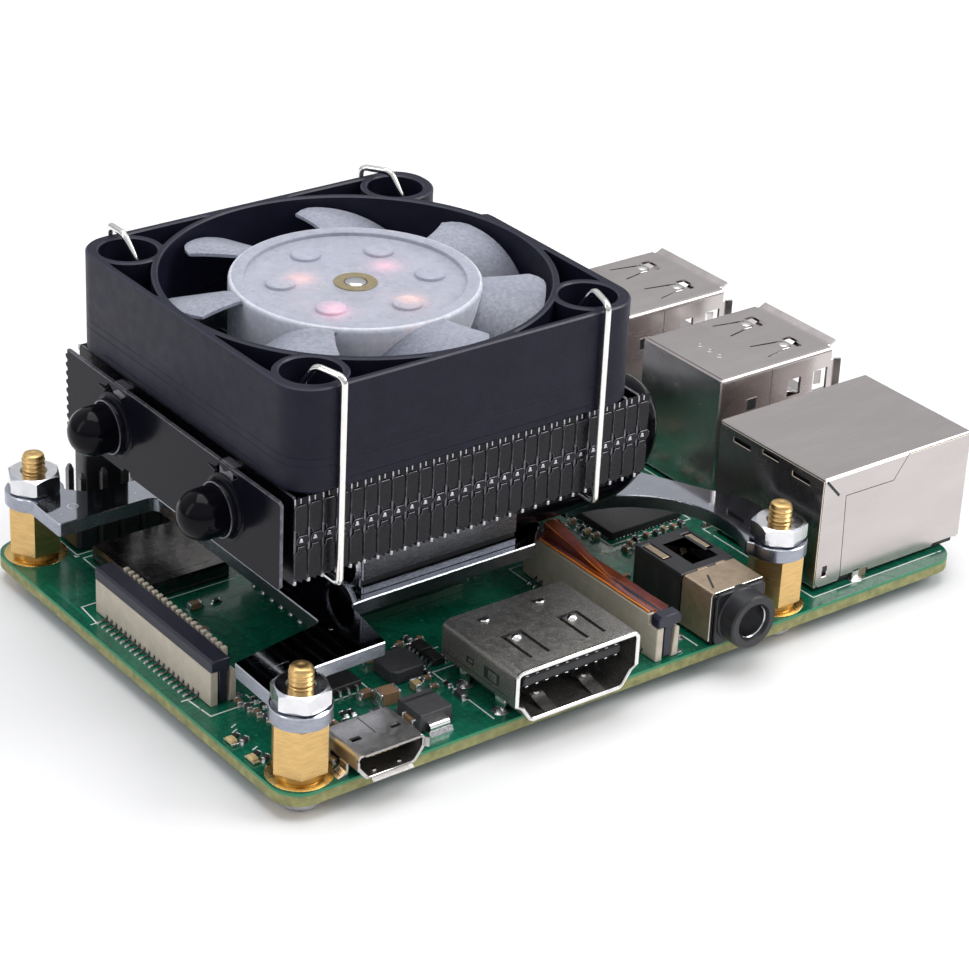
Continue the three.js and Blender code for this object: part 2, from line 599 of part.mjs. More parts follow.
// ---------------------------------------------------------------- bracket
{
  // outlines in XY
  const PLATE = [
    [12.9, 15.5], [12.9, 40.5], [55.3, 40.5], [58.1, 35.4], [58.1, 20.6], [55.3, 15.5],
  ];
  const ARM_FRONT_LEFT = [
    [1.9, 4.5], [2.1, 12.5], [12.9, 14.4], [12.9, 21.1], [19.3, 21.1], [19.3, 15.5],
    [17.2, 15.4], [16.2, 8], [7.9, 7.8], [6, 5.4], [5.8, 3.5],
  ];
  const ARM_REAR_LEFT = [
    [1.7, 51.5], [1.7, 44.2], [12.3, 44.2], [12.9, 43.6], [12.9, 34], [19.3, 34],
    [19.3, 40.6], [17.3, 41.2], [15.8, 48.4], [8, 48.6], [5.9, 50.6], [5.8, 52.5],
  ];
  const ARM_FRONT_RIGHT = [
    [51.3, 23.1], [58.1, 23.1], [61.9, 15.7], [64.4, 11.3], [64.4, 3.5], [58.7, 3.5],
    [51.3, 14.1],
  ];
  const mirrorY = y => BOARD_W - y;
  const armRearRight = ARM_FRONT_RIGHT.map(([x, y]) => [x, mirrorY(y)]);
  const outlines = [PLATE, ARM_FRONT_LEFT, ARM_REAR_LEFT, ARM_FRONT_RIGHT, armRearRight];
  const SCALLOP_Y = 9.5;
  const SEAT_GAP = 0.15;         // clearance round the base block
  const cutZ = [BRACKET_Z0 - PAST, BRACKET_Z1 + PAST];
  const holes = Object.values(HOLES);

  const bracket = cut(
    join(
      ...outlines.map(outline => slab(outline, BRACKET_Z0, BRACKET_Z1)),
      ...holes.map(([x, y]) => cyl(x, y, BRACKET_Z0, BRACKET_Z1, EAR_R, 18)),
    ),
    // round clearance between plate and right arms
    ...[SCALLOP_Y, mirrorY(SCALLOP_Y)].map(y => cyl(48.6, y, ...cutZ, 10.7, 32)),
    ...holes.map(([x, y]) => cyl(x, y, ...cutZ, STUD_R + 0.2, 12)),
    // clearance for the camera socket
    box(42.7, 47.3, 15, 22.7, ...cutZ),
    // seat for the base block
    roundBox(...around(SOC_X, BLOCK_HALF_X + SEAT_GAP),
      ...around(COOL_Y, BLOCK_FOOT_HALF_Y + SEAT_GAP), ...cutZ, 0.8, 2),
  );
  put('bracket', bracket, { color: 0x16171b, metalness: 0.9, roughness: 0.12 });
}

// ---------------------------------------------------------------- base block and pipes
{
  const blockX = around(SOC_X, BLOCK_HALF_X);
  const cutX = around(SOC_X, 10);
  const block = join(
    roundBox(...blockX, ...around(COOL_Y, BLOCK_HALF_Y), BRACKET_Z1 + GAP, BLOCK_Z1, 0.6, 2),
    roundBox(...blockX, ...around(COOL_Y, BLOCK_FOOT_HALF_Y), BLOCK_Z0, BRACKET_Z1 + 0.5, 0.6, 2),
  );
  put('base_block', cut(
    block,
    // channels for the pipes, open toward the bracket
    ...PIPE_Y.flatMap(y => [
      cylX(...cutX, y, PIPE_LOW, PIPE_R + 0.1, 12),
      box(...cutX, ...around(y, 2), BRACKET_Z1 - 0.1, PIPE_LOW),
    ]),
    // shallow groove along the front and rear faces
    ...around(COOL_Y, BLOCK_HALF_Y).map(y =>
      box(...cutX, ...around(y, 0.4), BRACKET_Z1 + 1, BRACKET_Z1 + 1.7)),
  ), { color: 0x2a2b30, metalness: 0.9, roughness: 0.25 });
}

// From the block to the right, round a U bend and back through the fins to a round nose.
function heatPipe(y) {
  const BEND_STEPS = 10;
  const bendRadius = (PIPE_HIGH - PIPE_LOW) / 2;
  const noseX = PIPE_TIP_X + PIPE_R;
  const path = [
    new THREE.Vector3(SOC_X - 9.2, y, PIPE_LOW),
    new THREE.Vector3(PIPE_BEND_X, y, PIPE_LOW),
  ];
  for (let i = 1; i <= BEND_STEPS; i++) {
    const angle = -Math.PI / 2 + (i / BEND_STEPS) * Math.PI;
    path.push(new THREE.Vector3(
      PIPE_BEND_X + bendRadius * Math.cos(angle), y,
      PIPE_LOW + bendRadius + bendRadius * Math.sin(angle)));
  }
  path.push(new THREE.Vector3(noseX, y, PIPE_HIGH));
  const nose = new THREE.SphereGeometry(PIPE_R - 0.005, 12, 6);
  nose.rotateZ(Math.PI / 2).translate(noseX, y, PIPE_HIGH);
  return join(rod(path, PIPE_R, 12), toSolid(nose));
}
['front', 'rear'].forEach((tag, k) => {
  put('heat_pipe_' + tag, heatPipe(PIPE_Y[k]),
    { color: 0x1b1c20, metalness: 0.95, roughness: 0.15 });
});

// ---------------------------------------------------------------- fins
{
  const fins = Array.from({ length: FIN_N }, (_, i) => {
    const x = FIN_X0 + FIN_PITCH * (i + 1);
    return box(x, x + FIN_T, FIN_Y0, FIN_Y1, FIN_Z0, FIN_Z1);
  });
  // thin walls that close the stack at the front and rear
  const walls = [FIN_Y0, FIN_Y1 - FIN_T].map(y => box(
    FIN_X0 + 0.46, FIN_X0 + FIN_PITCH * (FIN_N + 1) - 0.1,
    y, y + FIN_T, FIN_Z0 + 0.25, FIN_Z1 - 0.6));
  put('fin_stack', cut(
    join(...fins, ...walls),
    ...PIPE_Y.map(y => cylX(0, 60, y, PIPE_HIGH, PIPE_R + 0.3, 8)),
  ), { color: 0x24262c, metalness: 0.9, roughness: 0.25 });
}
{
  // end plate with a raised collar round each pipe, a crooked slot above it and two top tabs
  let plate = box(FIN_X0, FIN_X0 + 0.4, FIN_Y0 + 0.05, FIN_Y1, FIN_Z0 - 0.05, FIN_Z1);
  const pipeTop = PIPE_HIGH + PIPE_R;
  for (const y of PIPE_Y) {
    plate = plate.add(cylX(FIN_X0 - 0.9, FIN_X0 + 0.2, y, PIPE_HIGH, PIPE_R + 0.55, 16));
    const slot = [
      [y - 0.9, pipeTop], [y + 1.1, pipeTop], [y + 0.9, pipeTop + 1.2],
      [y + 2, pipeTop + 1.9], [y + 0.3, pipeTop + 1.5],
    ];
    plate = cut(plate,
      cylX(...around(FIN_X0, 2), y, PIPE_HIGH, PIPE_R + 0.16, 12),
      slabX(slot, FIN_X0 - 2, FIN_X0 + PAST));
  }
  const tabs = [FIN_Y0 + 8.2, FIN_Y0 + 27.5].map(y =>
    box(FIN_X0, FIN_X0 + 1.2, y, y + 2.2, FIN_Z1 - 0.25, FIN_Z1));
  put('fin_end_plate', join(plate, ...tabs),
    { color: 0x3a3c43, metalness: 0.9, roughness: 0.2 });
}

// ---------------------------------------------------------------- fan frame
const fanCyl = (...sizes) => cyl(COOL_X, COOL_Y, ...sizes);
// Outline about the fan's axis, turned by an angle.
function fanSlab(points, turn, z0, z1) {
  const c = Math.cos(turn);
  const s = Math.sin(turn);
  return slab(points.map(([x, y]) => [COOL_X + x * c - y * s, COOL_Y + x * s + y * c]), z0, z1);
}
{
  const PLATE_TOP = FAN_Z0 + 1.4;  // motor plate and struts
  const polar = (radius, degrees, center) => {
    const angle = (degrees * Math.PI) / 180;
    return [center + radius * Math.cos(angle), center + radius * Math.sin(angle)];
  };
  // long pocket beside a corner hole, about the fan's axis: bore side, hole side, outer wall
  const pocket = [
    ...[14.4, 22, 30, 39.1].map(degrees => polar(19.75, degrees, 0)),
    ...[-100.7, -62, -27.3].map(degrees => polar(3.6, degrees, FAN_HOLE_D)),
    [19.2, 5.6],
  ];
  // the one toward +X at the rear right corner opens through the side wall, full height
  const openPocket = pocket.map(([x, y]) => (x > 18.6 && y > 5 ? [20.5, y] : [x, y]));
  const turnedPocket = pocket.map(([x, y]) => [y, x]);

  let frame = roundBox(...around(COOL_X, FAN_HALF), ...around(COOL_Y, FAN_HALF),
    FAN_Z0, FAN_Z1, FAN_R, 4);
  frame = frame.subtract(fanCyl(FAN_Z0 - PAST, FAN_Z1 + PAST, FAN_BORE, 40));
  for (const sx of [-1, 1]) {
    for (const sy of [-1, 1]) {
      const pocketCut = (points, z0) => slab(
        points.map(([x, y]) => [COOL_X + sx * x, COOL_Y + sy * y]), z0, FAN_Z1 + PAST);
      const isOpen = sx > 0 && sy > 0;
      frame = cut(frame,
        cyl(COOL_X + sx * FAN_HOLE_D, COOL_Y + sy * FAN_HOLE_D,
          FAN_Z0 - PAST, FAN_Z1 + PAST, FAN_HOLE_R, 12),
        isOpen ? pocketCut(openPocket, FAN_Z0 - PAST) : pocketCut(pocket, FAN_Z1 - 7),
        pocketCut(turnedPocket, FAN_Z1 - 7));
    }
  }
  // motor plate, four struts and bearing tube
  const struts = [0, 1, 2, 3].map(i => fanSlab(
    [[11.5, -0.9], [19.5, -0.9], [19.5, 0.9], [11.5, 0.9]],
    Math.PI / 4 + (i * Math.PI) / 2 + 0.25, FAN_Z0, PLATE_TOP));
  frame = join(frame,
    fanCyl(FAN_Z0, PLATE_TOP, HUB_R + 0.2, 24),
    ...struts,
    fanCyl(FAN_Z0 + 0.5, FAN_Z0 + 6.4, 2.1, 16));
  frame = frame.subtract(fanCyl(FAN_Z0 + 0.6, FAN_Z0 + 8, BEARING_R, 24));
  put('fan_frame', frame, { color: 0x2d2f3a, roughness: 0.75 });
}

// ---------------------------------------------------------------- fan stator
{
  // one of four poles, pointing along +X: arm and curved shoe
  const ARM = [[3, -1.7], [9, -1.7], [9, 1.7], [3, 1.7]];
  const SHOE = [[8.6, -4.8], [9.7, -3.6], [10.2, -1.8], [10.2, 1.8], [9.7, 3.6], [8.6, 4.8]];
  const poles = [0, 1, 2, 3].flatMap(i => {
    const turn = (i * Math.PI) / 2;
    return [
      fanSlab(ARM, turn, FAN_Z0 + 1.8, FAN_Z0 + 5.2),
      fanSlab(SHOE, turn, FAN_Z0 + 2, FAN_Z0 + 5),
    ];
  });
  const stator = join(
    fanCyl(FAN_Z0 + 1.8, FAN_Z0 + 5.4, 4, 16),
    ...poles,
    fanCyl(FAN_Z0 + 1.5, FAN_Z0 + 2.1, 10, 20),  // disc under the poles
  );
  put('fan_stator', cut(stator, fanCyl(FAN_Z0, FAN_Z0 + 7, 2.2, 16)),
    { color: 0xa8683a, metalness: 0.6, roughness: 0.5 });
}

// ---------------------------------------------------------------- fan rotor
const BLADE_ROOT = HUB_R - 0.4;  // inside the hub wall

// Swept blade: a grid of points, outward by rows and round the hub by columns, laid twice,
// for the lower and the upper face.
function blade(startAngle) {
  const ROWS = 3;
  const COLS = 4;
  const HALF_T = 0.42;
  const positions = [];
  for (const offset of [-HALF_T, HALF_T]) {
    for (let i = 0; i <= ROWS; i++) {
      const u = i / ROWS;
      const radius = BLADE_ROOT + (BLADE_R - BLADE_ROOT) * u;
      const span = 0.78 + 0.03 * u;  // angle the blade covers
      const lean = 0.05 * u;         // angle the row is shifted by
      const zLow = FAN_Z0 + 2.2 + 0.2 * u;
      const zHigh = HUB_TOP - 0.7 - 0.2 * u;
      for (let j = 0; j <= COLS; j++) {
        const v = j / COLS;
        const angle = startAngle + lean + span * v;
        const z = zLow + 0.5 + (zHigh - zLow - 0.1) * Math.sin((Math.PI * v) / 2) + offset;
        positions.push(
          COOL_X + radius * Math.cos(angle), COOL_Y + radius * Math.sin(angle), z);
      }
    }
  }
  const faces = [];
  const quad = (a, b, c, d) => faces.push(a, b, c, a, c, d);
  const low = (i, j) => i * (COLS + 1) + j;
  const high = (i, j) => low(ROWS + 1, 0) + low(i, j);
  for (let i = 0; i < ROWS; i++) {
    for (let j = 0; j < COLS; j++) {
      quad(low(i, j), low(i, j + 1), low(i + 1, j + 1), low(i + 1, j));
      quad(high(i, j), high(i + 1, j), high(i + 1, j + 1), high(i, j + 1));
    }
    quad(low(i, 0), low(i + 1, 0), high(i + 1, 0), high(i, 0));
    quad(low(i, COLS), high(i, COLS), high(i + 1, COLS), low(i + 1, COLS));
  }
  for (let j = 0; j < COLS; j++) {
    quad(low(0, j), high(0, j), high(0, j + 1), low(0, j + 1));
    quad(low(ROWS, j), low(ROWS, j + 1), high(ROWS, j + 1), high(ROWS, j));
  }
  const geometry = new THREE.BufferGeometry();
  geometry.setAttribute('position', new THREE.Float32BufferAttribute(positions, 3));
  geometry.setIndex(faces);
  // keeps the root within the hub wall
  return cut(toSolid(geometry), fanCyl(FAN_Z0, FAN_Z1, BLADE_ROOT, 28));
}
{
  const cup = cut(
    fanCyl(FAN_Z0 + 1.9, HUB_TOP, HUB_R, 28),
    fanCyl(FAN_Z0, HUB_TOP - 1.5, HUB_R - 0.8, 28),
    fanCyl(HUB_TOP - 0.4, HUB_TOP + PAST, HUB_R - 1.6, 28),
  );
  const hub = cut(
    join(cup, fanCyl(HUB_TOP - 2.8, HUB_TOP - 0.2, 2.2, 16)),  // boss for the shaft
    fanCyl(HUB_TOP - 4, HUB_TOP - 0.9, SHAFT_R + 0.03, 16),
  );
  const blades = Array.from({ length: BLADES }, (_, i) =>
    blade((i * 2 * Math.PI) / BLADES - 0.428));
  put('fan_rotor', join(hub, ...blades), { color: 0xc9d3dc, roughness: 0.45 });

  put('rotor_magnet', cut(
    fanCyl(FAN_Z0 + 2.2, FAN_Z0 + 7.2, HUB_R - 0.95, 28),
    fanCyl(FAN_Z0, FAN_Z1, HUB_R - 1.8, 28),
  ), { color: 0x2b2b2d, metalness: 0.5, roughness: 0.6 });
  put('rotor_shaft', fanCyl(FAN_Z0 + 0.9, HUB_TOP - 1, SHAFT_R, 16),
    { color: 0xc8cacc, metalness: 0.95, roughness: 0.2 });
}

// ---------------------------------------------------------------- wire clips
// Each runs from a front corner hole, down, under the fins and up to the rear corner hole.
function clip(holeX, runX) {
  const [frontY, rearY] = around(COOL_Y, FAN_HALF + 0.5);
  const overZ = FAN_Z1 + 0.8;
  const underZ = FIN_Z0 - 0.55;
  const tipZ = FAN_Z1 - 1.4;
  return wire([
    [holeX - 0.9, frontY + 4.6, tipZ],
    [holeX - 0.4, frontY + 3.1, overZ + 0.2],
    [runX, frontY, overZ],
    [runX, frontY, underZ],
    [runX, rearY, underZ],
    [runX, rearY, overZ],
    [holeX + 0.4, rearY - 3.1, overZ + 0.2],
    [holeX + 0.9, rearY - 4.6, tipZ],
  ], CLIP_R, 0.55, 6);
}
// side, its sign along X, and where the wire runs from the hole's centre
for (const [tag, sign, shift] of [['left', -1, 0.6], ['right', 1, -1.2]]) {
  const holeX = COOL_X + sign * FAN_HOLE_D;
  put('clip_' + tag, clip(holeX, holeX + shift),
    { color: 0xd5d6d8, metalness: 1, roughness: 0.12 });
}

// ---------------------------------------------------------------- fan lead and plug
// The plug covers the second and third pins of the header's rear row.
{
  const SIDE_GAP_X = 0.05;
  const SIDE_GAP_Y = 0.06;
  const LEAD_X = 12.2;
  const cellX = HEADER_X + PIN_PITCH;
  const cellY = HEADER_Y + PIN_PITCH;
  const rowY = cellY + PIN_PITCH / 2;
  const y0 = cellY + SIDE_GAP_Y;
  const z0 = TOP + HEADER_H + GAP;
  const z1 = z0 + 14;
  // pin hole, and a window in the front face above it
  const pinCuts = [0, 1].flatMap(i => {
    const x = cellX + (i + 0.5) * PIN_PITCH;
    return [
      box(...around(x, 0.4), ...around(rowY, 0.4), z0 - PAST, z0 + 7),
      box(...around(x, 0.55), y0 - PAST, y0 + 0.35, z0 + 7.6, z0 + 9.6),
    ];
  });
  put('fan_plug', cut(
    box(cellX + SIDE_GAP_X, cellX + 2 * PIN_PITCH - SIDE_GAP_X,
      y0, cellY + PIN_PITCH - SIDE_GAP_Y, z0, z1),
    ...pinCuts,
    cyl(LEAD_X, rowY, z1 - 3, z1 + PAST, 1.3, 16),
  ), { color: 0x18191b, roughness: 0.5 });
  put('fan_lead', wire([
    [LEAD_X, rowY, z1 - 2.6],
    [LEAD_X, rowY, z1 + 3.2],
    [14, 53.2, 27.5],
    [15.5, 50.8, 29],
  ], 1, 2.2, 10), { color: 0x1d1d1f, roughness: 0.6 });
}

export default root;
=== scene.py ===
# A credit-card single board computer with a heat-pipe cooler and a lit fan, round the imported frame.
# Shapes are drawn in millimetres from the board's front left corner: x runs to the right along the
# long edge, y to the rear, z up from the board's underside. They are written in metres from ORIGIN.
import math
import random
from itertools import product
import bpy
import numpy as np
from mathutils import Matrix, Vector
from mathutils.geometry import tessellate_polygon


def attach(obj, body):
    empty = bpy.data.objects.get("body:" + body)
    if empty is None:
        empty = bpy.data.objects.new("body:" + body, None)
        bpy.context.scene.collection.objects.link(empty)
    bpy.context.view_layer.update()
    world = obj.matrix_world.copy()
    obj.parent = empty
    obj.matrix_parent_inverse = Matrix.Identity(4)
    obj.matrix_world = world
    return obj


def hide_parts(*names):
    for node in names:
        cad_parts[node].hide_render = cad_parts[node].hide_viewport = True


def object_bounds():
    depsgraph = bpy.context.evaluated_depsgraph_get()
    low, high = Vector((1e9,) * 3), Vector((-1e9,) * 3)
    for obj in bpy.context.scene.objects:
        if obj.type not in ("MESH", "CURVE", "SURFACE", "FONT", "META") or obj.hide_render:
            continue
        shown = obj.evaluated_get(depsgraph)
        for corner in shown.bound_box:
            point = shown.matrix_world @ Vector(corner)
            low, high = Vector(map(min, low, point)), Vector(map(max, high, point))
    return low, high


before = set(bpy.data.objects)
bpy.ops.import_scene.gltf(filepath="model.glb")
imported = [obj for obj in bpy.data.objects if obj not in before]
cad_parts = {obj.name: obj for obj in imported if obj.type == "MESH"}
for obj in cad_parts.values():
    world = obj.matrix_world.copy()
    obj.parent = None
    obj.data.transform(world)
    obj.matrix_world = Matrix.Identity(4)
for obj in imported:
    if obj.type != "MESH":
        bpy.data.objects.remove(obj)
CAD_LOW, CAD_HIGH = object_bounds()
COLLECTION = bpy.context.scene.collection
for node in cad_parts.values():
    node.hide_render = False

ORIGIN = (43.5, 26.75, -1.6)
MM = 0.001
BOARD_X, BOARD_Y = 85, 56
BOARD_TOP = 1.4
LAND_TOP = 1.42    # top of the plated land that parts stand on
POSTS = {"fl": (3.5, 3.5), "fr": (61.5, 3.5), "rl": (3.5, 52.5), "rr": (61.5, 52.5)}
PITCH = 2.54       # of the header pins
FAN_X, FAN_Y = 26.8, 29.6
FAN_FOOT, FAN_TOP = 25.7, 36.3
PIPE_YS = (19.6, 39.6)
PIPE_TOP_Z = 21.0  # axis of the pipes' upper run


# ------------------------------------------------------------------ materials
class Surface:
    """A principled material and helpers that add nodes. Scales are per metre."""

    def __init__(self, name):
        self.material = bpy.data.materials.new(name)
        self.material.use_nodes = True
        self.tree = self.material.node_tree
        self.tree.nodes.clear()
        self.output = self.node("ShaderNodeOutputMaterial")
        self.shader = self.node("ShaderNodeBsdfPrincipled")
        self.link(self.shader.outputs[0], self.output.inputs[0])
        self.place = self.node("ShaderNodeTexCoord").outputs["Object"]
        self.normal = None

    def node(self, kind, **settings):
        made = self.tree.nodes.new(kind)
        for key, value in settings.items():
            setattr(made, key, value)
        return made

    def link(self, source, target):
        self.tree.links.new(source, target)

    def feed(self, socket, value):
        """Links another node's output, or sets a number or a colour."""
        if isinstance(value, bpy.types.NodeSocket):
            self.link(value, socket)
        elif isinstance(value, tuple) and socket.type == "RGBA":
            socket.default_value = (*value, 1)
        else:
            socket.default_value = value

    def set(self, name, value):
        self.feed(self.shader.inputs[name], value)

    def stretched(self, scale):
        made = self.node("ShaderNodeMapping")
        made.inputs["Scale"].default_value = scale
        self.link(self.place, made.inputs["Vector"])
        return made.outputs[0]

    def noise(self, scale, detail=3, rough=0.6, place=None):
        made = self.node("ShaderNodeTexNoise")
        made.inputs["Scale"].default_value = scale
        made.inputs["Detail"].default_value = detail
        made.inputs["Roughness"].default_value = rough
        self.link(place or self.place, made.inputs["Vector"])
        return made.outputs["Fac"]

    def cells(self, scale, feature):
        made = self.node("ShaderNodeTexVoronoi", feature=feature)
        made.inputs["Scale"].default_value = scale
        self.link(self.place, made.inputs["Vector"])
        return made.outputs["Distance"]

    def bands(self, scale, axis, distortion):
        made = self.node("ShaderNodeTexWave", wave_type="BANDS", bands_direction=axis)
        made.inputs["Scale"].default_value = scale
        made.inputs["Distortion"].default_value = distortion
        self.link(self.place, made.inputs["Vector"])
        return made.outputs["Fac"]

    def remap(self, source, span, result):
        made = self.node("ShaderNodeMapRange")
        self.link(source, made.inputs[0])
        for i, value in enumerate((*span, *result)):
            made.inputs[i + 1].default_value = value
        return made.outputs[0]

    def math(self, operation, *values):
        made = self.node("ShaderNodeMath", operation=operation)
        for i, value in enumerate(values):
            self.feed(made.inputs[i], value)
        return made.outputs[0]

    def mix(self, share, first, second, mode="MIX"):
        made = self.node("ShaderNodeMix", data_type="RGBA", blend_type=mode)
        for i, value in ((0, share), (6, first), (7, second)):
            self.feed(made.inputs[i], value)
        return made.outputs[2]

    def bump(self, height, micrometres, strength=1.0):
        made = self.node("ShaderNodeBump")
        made.inputs["Distance"].default_value = micrometres * 1e-6
        made.inputs["Strength"].default_value = strength
        self.link(height, made.inputs["Height"])
        if self.normal is not None:
            self.link(self.normal, made.inputs["Normal"])
        self.normal = made.outputs[0]
        self.link(self.normal, self.shader.inputs["Normal"])

    def xyz(self):
        made = self.node("ShaderNodeSeparateXYZ")
        self.link(self.place, made.inputs[0])
        return made.outputs

    def see_through(self, tint, opacity):
        """Mixes the shader with a tinted transparent one."""
        clear = self.node("ShaderNodeBsdfTransparent")
        self.feed(clear.inputs[0], tint)
        blend = self.node("ShaderNodeMixShader")
        self.feed(blend.inputs[0], opacity)
        self.link(clear.outputs[0], blend.inputs[1])
        self.link(self.shader.outputs[0], blend.inputs[2])
        self.link(blend.outputs[0], self.output.inputs[0])


SURFACES = {}


def finish(name, colour, rough, metal, spread, scale, rough_spread, rough_scale, grain,
           grain_scale, detail=3, stretch=None, coat=0.0, specular=0.5, light=None):
    """Mottled colour between a darker and a lighter shade, mottled roughness and a fine grain.

    Without a colour the base colour is left to the caller. light replaces the lighter shade's base.
    """
    surface = Surface(name)
    place = surface.stretched(stretch) if stretch else None
    if colour:
        dark = tuple(c * (1 - spread) for c in colour)
        bright = tuple(min(1, c * (1 + spread)) for c in (light or colour))
        mottle = surface.remap(surface.noise(scale, 4, 0.6, place), (0.3, 0.7), (0, 1))
        surface.colour = surface.mix(mottle, dark, bright)
        surface.set("Base Color", surface.colour)
    shine = (max(0.02, rough - rough_spread), min(1, rough + rough_spread))
    mottle = surface.noise(rough_scale, 3, 0.6, place)
    surface.set("Roughness", surface.remap(mottle, (0.25, 0.75), shine))
    surface.set("Metallic", float(metal))
    surface.set("Coat Weight", coat)
    surface.set("Specular IOR Level", specular)
    surface.bump(surface.noise(grain_scale, detail, 0.6, place), grain)
    SURFACES[name] = surface
    return surface


